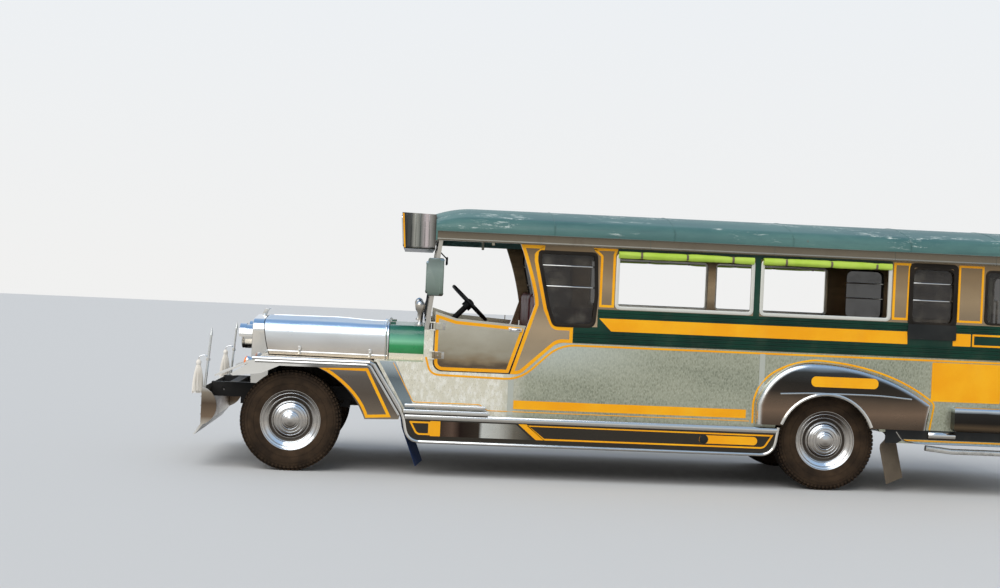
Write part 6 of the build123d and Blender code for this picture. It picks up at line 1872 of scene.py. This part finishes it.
@dataclass
class Cab:
    """What the driver and front passengers see and touch, and the doors' hardware."""

    dash_face: float = 0.998
    driver_y: float = -0.380
    wheel_hub: Triple = (-1.360, -0.380, 1.296)
    wheel_tilt: float = 46.0
    mirror_yaw: float = 35.0

    def dash(self) -> None:
        """Dials with plain scales, switches and a glove box lid."""
        cups, faces, marks = Shape(), Shape(), Shape()
        for y, radius, z in (
            (-0.085, 0.036, 1.015), (0.020, 0.036, 1.015), (self.driver_y - 0.075, 0.052, 1.025),
            (self.driver_y + 0.075, 0.052, 1.025),
        ):
            centre = Vector((at(self.dash_face), y, z))
            inner = radius - 0.006
            rim = [(0.0, inner), (0.0, radius), (0.010, radius - 0.002), (0.010, inner)]
            cups.lathe(rim, centre, (1, 0, 0), 40)
            faces.rod(centre, centre + Vector((0.0025, 0, 0)), radius - 0.005)
            for tick in range(9):
                angle = math.radians(-130 + tick * 32.5)
                way = Vector((0.0, math.sin(angle), math.cos(angle)))
                near = centre + Vector((0.003, 0, 0)) + way * (radius - 0.016)
                marks.rod(near, near + way * 0.007, 0.0010, sides=4)
            needle = math.radians(-70 + 40 * (y % 0.7))
            way = Vector((0.0, math.sin(needle), math.cos(needle)))
            pin = centre + Vector((0.004, 0, 0))
            marks.rod(pin, pin + way * (radius - 0.014), 0.0018, 0.0006, 6)
        cups.piece("dial_rims", CHROME, smooth=50)
        faces.piece("dial_faces", MATTE_BLACK)
        marks.piece("dial_marks", LINING)
        face = self.dash_face
        switches = Shape()
        for number in range(5):
            y = -0.130 + number * 0.045
            switches.rod(*spots((face, y, 0.955), (face + 0.014, y, 0.955)), 0.009, 0.007, 14, 0.001)
        switches.piece("dash_switches", MATTE_BLACK)
        lid = Shape().box(*spots((face, 0.270, 0.930), (face + 0.008, 0.640, 1.055)), 0.004)
        knob = spots((face + 0.008, 0.455, 1.035), (face + 0.020, 0.455, 1.035))
        lid.rod(*knob, 0.010, sides=16, soften=0.002).piece("glove_box_lid", LINE_BLACK)

    def controls(self) -> None:
        """Pedals, gear lever, hand brake and the wheel's horn button."""
        pads, arms = Shape(), Shape()
        for y, width in ((-0.505, 0.065), (-0.400, 0.075), (-0.285, 0.050)):
            left, right = y - width / 2, y + width / 2
            pads.box(*spots((1.080, left, 0.690), (1.094, right, 0.755)), 0.004)
            arm = spots((1.075, y, 0.725), (1.040, y, 0.760), (1.000, y, 0.900))
            arms.tube(bend(arm, 0.03), 0.007, 10)
        pads.piece("pedal_pads", DARK_RUBBER)
        arms.piece("pedal_arms", FRAME_BLACK)
        gear = spots((1.180, -0.02, 0.628), (1.200, -0.02, 0.780), (1.260, -0.03, 0.935))
        brake = spots((1.330, 0.085, 0.628), (1.330, 0.085, 0.700), (1.250, 0.085, 0.850))
        levers = Shape().tube(bend(gear, 0.08), 0.008, 12).tube(bend(brake, 0.04), 0.009, 12)
        levers.piece("gear_and_brake_levers", CHROME)
        knob = [
            (-0.024, 0.0005), (-0.022, 0.010), (-0.012, 0.020), (0.004, 0.023), (0.016, 0.017),
            (0.021, 0.0005),
        ]
        boot = [(0.0, 0.0095), (0.0, 0.015), (0.010, 0.060), (0.0, 0.062), (-0.002, 0.058)]
        shape = Shape().lathe(knob, (at(1.262), -0.03, 0.945), (0.3, 0, 1), 28)
        shape.lathe(boot, (at(1.181), -0.02, 0.632), (0, 0, 1), 28)
        shape.piece("lever_knob_and_boot", MATTE_BLACK, smooth=50)
        tilt = math.radians(self.wheel_tilt)
        axis = (math.cos(tilt), 0.0, math.sin(tilt))
        button = [(0.000, 0.0005), (0.000, 0.040), (0.014, 0.036), (0.024, 0.022), (0.027, 0.0005)]
        ring = [(0.006, 0.040), (0.006, 0.046), (0.012, 0.045), (0.014, 0.036)]
        for name, profile, finish in (
            ("horn_button", button, MATTE_BLACK), ("horn_ring", ring, CHROME),
        ):
            shape = Shape().lathe(profile, self.wheel_hub, axis, 36)
            shape.piece(name, finish, "steering_wheel", smooth=50)

    def seats(self) -> None:
        """Quilted cushions and backs of the driver's and passengers' seats."""
        pads = {}
        for name, left, right in (("driver", -0.765, -0.203), ("guest", -0.113, 0.765)):
            pitch = (right - left) / round((right - left) / 0.094)
            low, high = spots((1.430, left, 0.800), (1.790, right, 0.922))
            pads[f"{name}_cushion"] = Pad(low, high, 2, -1, 1, pitch)
            low, high = spots((1.790, left, 0.924), (1.880, right, 1.400))
            pads[f"{name}_back"] = Pad(low, high, 0, 0, 1, pitch)
        meshes = stuffed(list(pads.values()))
        for number, (name, mesh) in enumerate(zip(pads, meshes)):
            replaced = () if number else ("cab_seats",)
            shape = pads[name].cover(mesh, number)
            shape.piece(name, SEAT_VINYL, "root", replaced, smooth=60)

    def screen(self) -> None:
        """Wipers and the inner mirror."""
        wipers = Shape()
        for y in (-0.300, 0.460):
            foot = Vector((at(0.945), y, 1.098))
            head = Vector((at(0.945) + 0.036, y - 0.230, 1.300))
            wipers.rod(foot + Vector((0.012, 0, 0)), foot - Vector((0.014, 0, 0)), 0.011, soften=0.002)
            wipers.tube([foot, foot.lerp(head, 0.5) - Vector((0.012, 0, 0)), head], 0.004, 8)
            reach = Vector((0.014, 0.130, 0.115))
            wipers.tube([head - reach, head + reach], 0.005, 6)
        wipers.piece("wipers", MATTE_BLACK)
        inner = Shape().box(*spots((1.120, -0.130, 1.585), (1.132, 0.130, 1.650)), 0.005)
        inner.rod(*spots((1.122, 0.0, 1.640), (1.060, 0.0, 1.700)), 0.005, sides=10)
        inner.piece("inner_mirror", MATTE_BLACK)
        glass = Shape().box(*spots((1.132, -0.122, 1.591), (1.1335, 0.122, 1.644)), 0.0005)
        glass.piece("inner_mirror_glass", MIRROR_GLASS)

    def outside(self) -> None:
        """Outside mirrors' glasses and marker lamps on the cowl."""
        yaw = math.radians(self.mirror_yaw)
        away = Vector((math.cos(yaw), math.sin(yaw), 0.0))
        middle = Vector((at(1.030), -0.940, 1.485)) + away * 0.0182
        glass = Shape().box((-0.071, -0.0012, -0.131), (0.071, 0.0012, 0.131), 0.001)
        glass.move(Matrix.Translation(middle) @ Matrix.Rotation(yaw - math.pi / 2, 4, "Z"))
        glass.pair("mirror_glasses", MIRROR_GLASS)
        bullet = [
            (0.0, 0.0005), (0.0, 0.026), (0.010, 0.026), (0.022, 0.014), (0.060, 0.011),
            (0.092, 0.016), (0.120, 0.034), (0.150, 0.038), (0.172, 0.030), (0.186, 0.014),
            (0.190, 0.0005),
        ]
        foot = (at(0.925), 0.838, 1.118)
        turned("cowl_marker_lamps", CAST_CHROME, bullet, foot, (0, 0, 1), 36, 60)

    def doors(self) -> None:
        """Handles and hinge leaves, riding on the half doors."""
        grip = spots(
            (1.600, -0.884, 1.117), (1.612, -0.912, 1.117), (1.664, -0.912, 1.117),
            (1.676, -0.884, 1.117),
        )
        for way, body in DOORS:
            handle = Shape().box(*spots((1.588, -0.889, 1.102), (1.690, -BODY_HALF, 1.132)), 0.004)
            handle.tube(bend(grip, 0.014), 0.006, 10)
            handle.rod(*spots((1.665, -0.858, 1.150), (1.665, -0.858, 1.190)), 0.005)
            handle.hand(way).piece(f"{body}_handle", CHROME, body)
            leaves = Shape()
            for z in (0.905, 1.120):
                low, high = (1.048, -0.8855, z - 0.026), (1.118, -BODY_HALF, z + 0.026)
                leaves.box(*spots(low, high), 0.002)
                for bolt in (1.070, 1.100):
                    leaves.rod(*spots((bolt, -0.885, z), (bolt, -0.889, z)), 0.006, sides=6)
            leaves.hand(way).piece(f"{body}_hinge_leaves", POLISHED, body)

    def build(self) -> None:
        """Build the cab."""
        self.dash()
        self.controls()
        self.seats()
        self.screen()
        self.outside()
        self.doors()


@dataclass
class Saloon:
    """Benches, rolled curtains and fittings of the passenger space."""

    front: float = -0.610
    rear: float = 2.900
    pads: int = 6
    roll_y: float = -0.9045
    roll_z: float = 1.711
    tie_pitch: float = 0.345

    def benches(self) -> None:
        """Padded cushions and backs along both sides, each row from one stuffed pad."""
        step = (self.rear - self.front) / self.pads
        low, high = self.front + 0.004, self.front + step - 0.004
        pitch = (high - low) / 3
        seat = Pad((low, -0.786, 0.950), (high, -0.425, 1.040), 2, -1, 0, pitch, 0.009)
        back = Pad((low, -0.844, 1.045), (high, -0.790, 1.294), 1, -1, 0, pitch, 0.009, 0.011)
        for pad, mesh, name in zip((seat, back), stuffed((seat, back)), ("pad", "back")):
            for number in range(self.pads * 2):
                way, hand = (-1.0, "left") if number < self.pads else (1.0, "right")
                place = number % self.pads
                shape = pad.cover(mesh, number)
                shape.move(Matrix.Translation((step * place, 0.0, 0.0))).hand(way)
                replaced = () if number or name == "back" else ("bench_cushions",)
                label = f"bench_{name}_{hand}_{place + 1}"
                shape.piece(label, SEAT_VINYL, "root", replaced, smooth=60)

    def curtains(self) -> None:
        """Rolled side curtains, strapped up outside along the tops of the long windows."""
        shape, ties = Shape(), Shape()
        strap = [(-0.008, 0.0225), (-0.008, 0.0240), (0.008, 0.0240), (0.008, 0.0225)]
        y, z = self.roll_y, self.roll_z
        for number, (front, rear, *_) in enumerate(WINDOWS[:2]):
            start, end = at(front) + 0.004, at(rear) - 0.004
            count = int((end - start) / 0.022)
            roll = Shape().rod((start, y, z), (end, y, z), 0.0235, sides=24)
            roll.slice((1.0, 0.0, 0.0), [start + (end - start) * n / count for n in range(1, count)])
            roll.warp(lambda place, start=start, seed=number: self.crumpled(place, start, seed))
            shape.join(roll)
            x = start + 0.17
            while x < end - 0.05:
                ties.lathe(strap, (x, y, z), (1, 0, 0), 28)
                ties.box((x - 0.006, -0.8990, 1.728), (x + 0.006, -BODY_HALF, 1.736), 0.001)
                x += self.tie_pitch
        shape.pair("curtain_rolls", CURTAIN, "root", ("rolled_curtains",), smooth=60)
        ties.pair("curtain_ties", GREY_FLAP, smooth=60)

    def crumpled(self, place: Vector, start: float, seed: int) -> Vector:
        """Where a point of a smooth roll goes on the crumpled one, pinched at its ties.

        Args:
            place: A point of the smooth roll.
            start: X of the roll's front end.
            seed: Where its creases come from.

        Returns:
            The place.
        """
        centre = Vector((place.x, self.roll_y, self.roll_z))
        away = place - centre
        if away.length < 0.02:
            return place
        around = Vector((place.x * 3.2, away.y * 60.0 + seed, away.z * 60.0))
        swell = 0.0042 * noise.noise(around) + 0.0016 * noise.noise(around * 3.1)
        beyond = (place.x - start + 0.0025) % self.tie_pitch - self.tie_pitch / 2
        tied = math.exp(-((beyond / 0.018) ** 2))
        away.length = away.length + swell - 0.0035 * tied
        away.z *= 1.12
        return centre + away

    def fittings(self) -> None:
        """Ceiling bows, rail hangers, lamps and the floor's wooden strips."""
        bows, hangers, strips = Shape(), Shape(), Shape()
        for station in (1.45, 2.30, 3.15, 4.00, 4.85, 5.55):
            x = at(station)
            path = [(x, -0.850, 1.740), (x, -0.835, 1.880)]
            path += arc((x, -0.800, 1.925), (x, -0.480, 1.985), (x, 0.0, 1.998), 10)
            bows.tube(bend(path, 0.05), 0.011, 10)
            if station > 2.0:
                hangers.rod((x, -0.330, 1.876), (x, -0.330, 1.988), 0.006, sides=10)
        bows.pair("ceiling_bows", LINING)
        hangers.pair("rail_hangers", CHROME)
        shade = [(0.0, 0.0005), (0.0, 0.055), (0.010, 0.052), (0.024, 0.034), (0.028, 0.0005)]
        lamps = Shape()
        for station in (1.75, 2.90, 4.40):
            lamps.lathe(shade, (at(station), 0.0, 1.986), (0, 0, -1), 32)
        lamps.piece("ceiling_lamps", LAMP_GLASS, smooth=50)
        for number in range(6):
            y = -0.300 + number * 0.120
            strips.box(*spots((2.05, y - 0.022, 0.630), (5.68, y + 0.022, 0.637)), 0.002)
        strips.piece("floor_strips", BOARD)

    def build(self) -> None:
        """Build the saloon."""
        self.benches()
        self.curtains()
        self.fittings()


@dataclass
class Tail:
    """Lamps, a blank plate, grab bars and flaps at the rear."""

    wall: float = 3.080

    def lamps(self) -> None:
        """Round lamps on the rear wall and marker lamps above."""
        cups, reds, ambers = Shape(), Shape(), Shape()
        cup = [(0.0, 0.040), (0.0, 0.050), (0.014, 0.047), (0.016, 0.042), (0.010, 0.040)]
        lens = [(0.0, 0.0005), (0.0, 0.041), (0.012, 0.041), (0.022, 0.030), (0.026, 0.0005)]
        marker = [(0.0, 0.0005), (0.0, 0.022), (0.010, 0.020), (0.018, 0.0005)]
        for side in BOTH_SIDES:
            y = side * 0.780
            for z, lenses in ((0.960, reds), (1.070, ambers)):
                cups.lathe(cup, (self.wall, y, z), (1, 0, 0), 40)
                lenses.lathe(lens, (self.wall, y, z), (1, 0, 0), 40)
            reds.lathe(marker, (self.wall, y, 1.735), (1, 0, 0), 24)
        cups.piece("tail_lamp_cups", CHROME, smooth=50)
        reds.piece("tail_lamps_red", RED_LENS, smooth=50)
        ambers.piece("tail_lamps_amber", AMBER_LENS, smooth=50)

    def trims(self) -> None:
        """Ribs along the wall, window rubbers, a blank plate, the doorway's rim and grab bars."""
        wall = self.wall
        ribs = Shape()
        for z in (0.700, 1.030, 1.130, 1.230):
            for low, high in ((-0.870, -0.395), (0.395, 0.870)):
                ribs.tube([(wall + 0.001, low, z), (wall + 0.001, high, z)], 0.005, 8)
        ribs.piece("rear_wall_ribs", CHROME)
        rubber = bend(pane(wall, -0.775, -0.445, 1.305, 1.695), 0.05, True)
        Shape().tube(rubber, 0.010, 10, True).pair("rear_window_rubbers", DARK_RUBBER)
        rim = [(wall, -0.362, 0.640), (wall, -0.362, 1.692), (wall, 0.362, 1.692), (wall, 0.362, 0.640)]
        Shape().tube(bend(rim, 0.08), 0.012, 12).piece("doorway_rim", CHROME)
        blank = Shape().box((wall + 0.001, -0.790, 0.785), (wall + 0.006, -0.450, 0.905), 0.002)
        blank.piece("rear_plate", LINING)
        grabs = Shape()
        for side in BOTH_SIDES:
            y = side * 0.405
            near, out = wall - 0.002, wall + 0.055
            bar = [(near, y, 0.960), (out, y, 0.960), (out, y, 1.500), (near, y, 1.500)]
            grabs.tube(bend(bar, 0.045), 0.012, 12)
        grabs.piece("doorway_grab_bars", CHROME)

    def flaps(self) -> None:
        """Mud flaps behind the wheels."""
        for name, finish, station, inner, outer, low, top, lean, twist in (
            ("rear", GREY_FLAP, 4.513, 0.650, 0.868, 0.072, 0.470, -13.0, 52.0),
            ("front", BLUE_FLAP, 0.809, 0.600, 0.828, 0.045, 0.450, -21.0, 14.0),
        ):
            shape = Shape()
            for side in BOTH_SIDES:
                left, right = sorted((side * inner, side * outer))
                corners = spots((station - 0.003, left, low), (station + 0.003, right, top))
                shape.box(*corners, 0.002)
            shape.slice((0.0, 0.0, 1.0), [top - 0.03 * step for step in range(1, 14)])
            rows = [side * (0.62 + 0.04 * step) for side in BOTH_SIDES for step in range(6)]
            shape.slice((0.0, 1.0, 0.0), rows)
            shape.warp(lambda place, x=station, z=top, most=twist: self.twisted(place, x, z, most))
            shape.turn((at(station), 0, top), lean, (0, 1, 0)).piece(f"{name}_mud_flaps", finish)

    def twisted(self, place: Vector, station: float, top: float, most: float) -> Vector:
        """Where a point of a flat flap goes on one whose free end is turned in the wind.

        Args:
            place: A point of the flat flap.
            station: Where the flap hangs.
            top: Height of its upper edge.
            most: How far its free end is turned, in degrees.

        Returns:
            The place.
        """
        side = math.copysign(1.0, place.y)
        hang = clamp((top - 0.01 - place.z) / 0.10)
        angle = math.radians(most) * hang * hang * (3.0 - 2.0 * hang)
        middle = Vector((at(station), side * 0.760, place.z))
        return middle + Matrix.Rotation(side * angle, 3, "Z") @ (place - middle)

    def build(self) -> None:
        """Build the tail."""
        self.lamps()
        self.trims()
        self.flaps()


@dataclass
class Wheels:
    """Tyres with tread, and bright discs with turned rings."""

    blocks: int = 74
    rows: tuple[Pair, ...] = (
        (-0.0655, 0.0), (-0.0330, 0.5), (0.0, 0.0), (0.0330, 0.5), (0.0655, 0.0),
    )
    rings: tuple[Triple, ...] = (
        (0.0500, 0.170, 0.0035), (0.0665, 0.199, 0.0040), (0.0775, 0.2225, 0.0075),
        (0.0475, 0.134, 0.0055), (0.0585, 0.1275, 0.0030), (0.0720, 0.1120, 0.0035),
        (0.0795, 0.0900, 0.0030), (0.0832, 0.0680, 0.0045),
    )

    def tyre(self, name: str, centre: Triple, out: float) -> None:
        """Carcass with sidewall ribs and rows of tread blocks.

        Args:
            name: The wheel's name.
            centre: The wheel's centre.
            out: 1 or -1, the way along Y that the wheel faces.
        """
        section = [
            (-0.070, 0.218), (-0.086, 0.224), (-0.0935, 0.256), (-0.0950, 0.292), (-0.0905, 0.330),
            (-0.0800, 0.357), (-0.0640, 0.3675), (-0.0300, 0.3700), (0.0300, 0.3700),
            (0.0640, 0.3675), (0.0800, 0.357), (0.0905, 0.330), (0.0950, 0.292), (0.0935, 0.256),
            (0.086, 0.224), (0.070, 0.218),
        ]
        axis = (0.0, out, 0.0)
        shape = Shape().lathe(section, centre, axis, 96)
        for along, far in ((0.0945, 0.272), (0.0925, 0.318), (0.0890, 0.3365)):
            foot, crown = along - 0.003, along + 0.0012
            rib = [(foot, far - 0.004), (crown, far - 0.0015), (crown, far + 0.0015), (foot, far + 0.004)]
            shape.lathe(rib, centre, axis, 96)
        tread = Shape()
        for y, shift in self.rows:
            high = 0.3745 if abs(y) < 0.05 else 0.3728
            block = Shape().box((-0.0115, y - 0.0135, 0.362), (0.0115, y + 0.0135, high), 0.0012, 1)
            block.turn((0, y, 0.36), 18.0 if shift else -18.0, (0, 0, 1))
            block.turn((0, 0, 0), 360.0 / self.blocks * shift, (0, 1, 0))
            tread.join(block.spin_copies(self.blocks))
        shoulder = Shape()
        for way in BOTH_SIDES:
            y = way * 0.0850
            shoulder.box((-0.008, y - 0.0065, 0.340), (0.008, y + 0.0065, 0.3570), 0.001, 1)
        tread.join(shoulder.spin_copies(self.blocks)).move(Matrix.Translation(centre))
        shape.join(tread)
        shape.piece(f"tread_{name}", RUBBER, f"wheel_{name}", (f"tyre_{name}",), smooth=28)

    def disc(self, name: str, centre: Triple, out: float) -> None:
        """Bright disc with turned rings, a groove darkened with painted shade, a cap and a valve.

        Args:
            name: The wheel's name.
            centre: The wheel's centre.
            out: 1 or -1, the way along Y that the wheel faces.
        """
        body = f"wheel_{name}"
        reshell(body, WHEEL_CHROME, body, 45.0)
        axis = (0.0, out, 0.0)
        turns = [math.tau * part / 12 for part in range(12)]
        trim = Shape()
        for along, far, size in self.rings:
            ring = [(along + size * math.cos(turn), far + size * math.sin(turn)) for turn in turns]
            trim.lathe(ring, centre, axis, 72)
        cap = [
            (0.084, 0.0005), (0.084, 0.054), (0.090, 0.052), (0.0955, 0.040), (0.0965, 0.026),
            (0.0990, 0.021), (0.1000, 0.0005),
        ]
        trim.lathe(cap, centre, axis, 56)
        trim.piece(f"wheel_rings_{name}", WHEEL_CHROME, body, smooth=60)
        # The groove's dark finish is painted shade.
        groove = [
            (0.0430, 0.1395), (0.0462, 0.1395), (0.0466, 0.152), (0.0500, 0.162), (0.0465, 0.162),
        ]
        shape = Shape().lathe(groove, centre, axis, 64)
        valve = Vector(centre) + Vector((0.0, out * 0.060, 0.190))
        shape.rod(valve, valve + Vector((0, out * 0.020, -0.010)), 0.0030, sides=8)
        shape.piece(f"wheel_groove_{name}", WHEEL_GROOVE, body, smooth=50)

    def build(self) -> None:
        """Build the four wheels."""
        for end, x, y in (("front", FRONT_AXLE, 0.755), ("rear", REAR_AXLE, 0.750)):
            for hand, out in (("left", -1.0), ("right", 1.0)):
                centre = (x, out * y, TYRE_R)
                self.tyre(f"{end}_{hand}", centre, out)
                self.disc(f"{end}_{hand}", centre, out)


class Level(Enum):
    """Strengths of the lights, as shares of one plain level."""

    SUN = 2.0
    SKY = 0.72
    BACKDROP = 0.98


@dataclass
class Studio:
    """Pale floor, sky, sun and camera."""

    place: Triple = (-1.805, -12.031, 1.450)
    right: Triple = (0.99734525, -0.05773924, 0.04436924)
    up: Triple = (-0.04392879, 0.00887594, 0.99899523)
    forward: Triple = (0.05807504, 0.99829224, -0.00631596)
    lens: float = 54.0
    floor_tone: Colour = "cececd"
    lit: Stops = ((0.0, "ece8e2"), (0.8, "d6e2f2"))
    seen: Stops = ((0.0, "f3f3f2"), (0.22, "eef2f6"), (0.55, "bed3ea"), (1.0, "88b0dc"))

    def floor(self) -> None:
        """Lay a wide pale floor."""
        mesh = bpy.data.meshes.new("floor_sheet")
        shape = bmesh.new()
        bmesh.ops.create_grid(shape, x_segments=1, y_segments=1, size=60.0)
        shape.to_mesh(mesh)
        shape.free()
        material = bpy.data.materials.new("studio_floor")
        Graph(material).surface(Base_Color=self.floor_tone, Roughness=0.85)
        mesh.materials.append(material)
        sheet = bpy.data.objects.new("floor_sheet", mesh)
        bpy.context.scene.collection.objects.link(sheet)

    def sky(self) -> None:
        """Even light from all round, and a sky that is pale low down and blue overhead.

        The camera, mirrors and glass see the sky. Everything else is lit by the even light.
        """
        world = bpy.data.worlds.new("sky")
        bpy.context.scene.world = world
        g = Graph(world)
        height = g.axis(g.node("ShaderNodeTexCoord", output="Generated"), "Z")
        shades = []
        for stops, level in ((self.lit, Level.SKY), (self.seen, Level.BACKDROP)):
            light = {"Color": g.ramp(height, stops), "Strength": level.value}
            shades.append(g.node("ShaderNodeBackground", None, light))
        seen = g.node("ShaderNodeLightPath", output="Is Camera Ray")
        for ray in ("Is Glossy Ray", "Is Transmission Ray"):
            seen = seen.math("MAXIMUM", seen, g.node("ShaderNodeLightPath", output=ray))
        blend = g.node("ShaderNodeMixShader", None, {0: seen, 1: shades[0], 2: shades[1]})
        g.node("ShaderNodeOutputWorld", None, {"Surface": blend})

    def sun(self) -> None:
        """Soft sun from above the driver's front corner."""
        data = bpy.data.lights.new("sun", "SUN")
        data.energy = Level.SUN.value
        data.angle = math.radians(60.0)
        data.color = (1.0, 0.97, 0.92)
        lamp = bpy.data.objects.new("sun", data)
        lamp.rotation_euler = Vector((0.42, 0.62, -0.80)).to_track_quat("-Z", "Y").to_euler()
        bpy.context.scene.collection.objects.link(lamp)

    def camera(self) -> None:
        """Set the camera where the photographer stood."""
        data = bpy.data.cameras.new("camera")
        data.lens = self.lens
        data.sensor_width = 36.0
        eye = bpy.data.objects.new("camera", data)
        columns = Matrix((self.right, self.up, [-part for part in self.forward])).transposed()
        eye.matrix_world = Matrix.Translation(self.place) @ columns.to_4x4()
        bpy.context.scene.collection.objects.link(eye)
        bpy.context.scene.camera = eye

    def build(self) -> None:
        """Set the studio up."""
        bpy.context.scene.view_settings.view_transform = "Standard"
        self.floor()
        self.sky()
        self.sun()
        self.camera()


def main() -> None:
    """Load the frame and build everything round it, in order."""
    logging.basicConfig(level=logging.INFO, format="%(message)s")
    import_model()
    for assembly in (Bodywork, Paintwork, Mouldings, RoofLine, Nose, Cab, Saloon, Tail, Wheels, Studio):
        assembly().build()


if __name__ == "__main__":
    main()
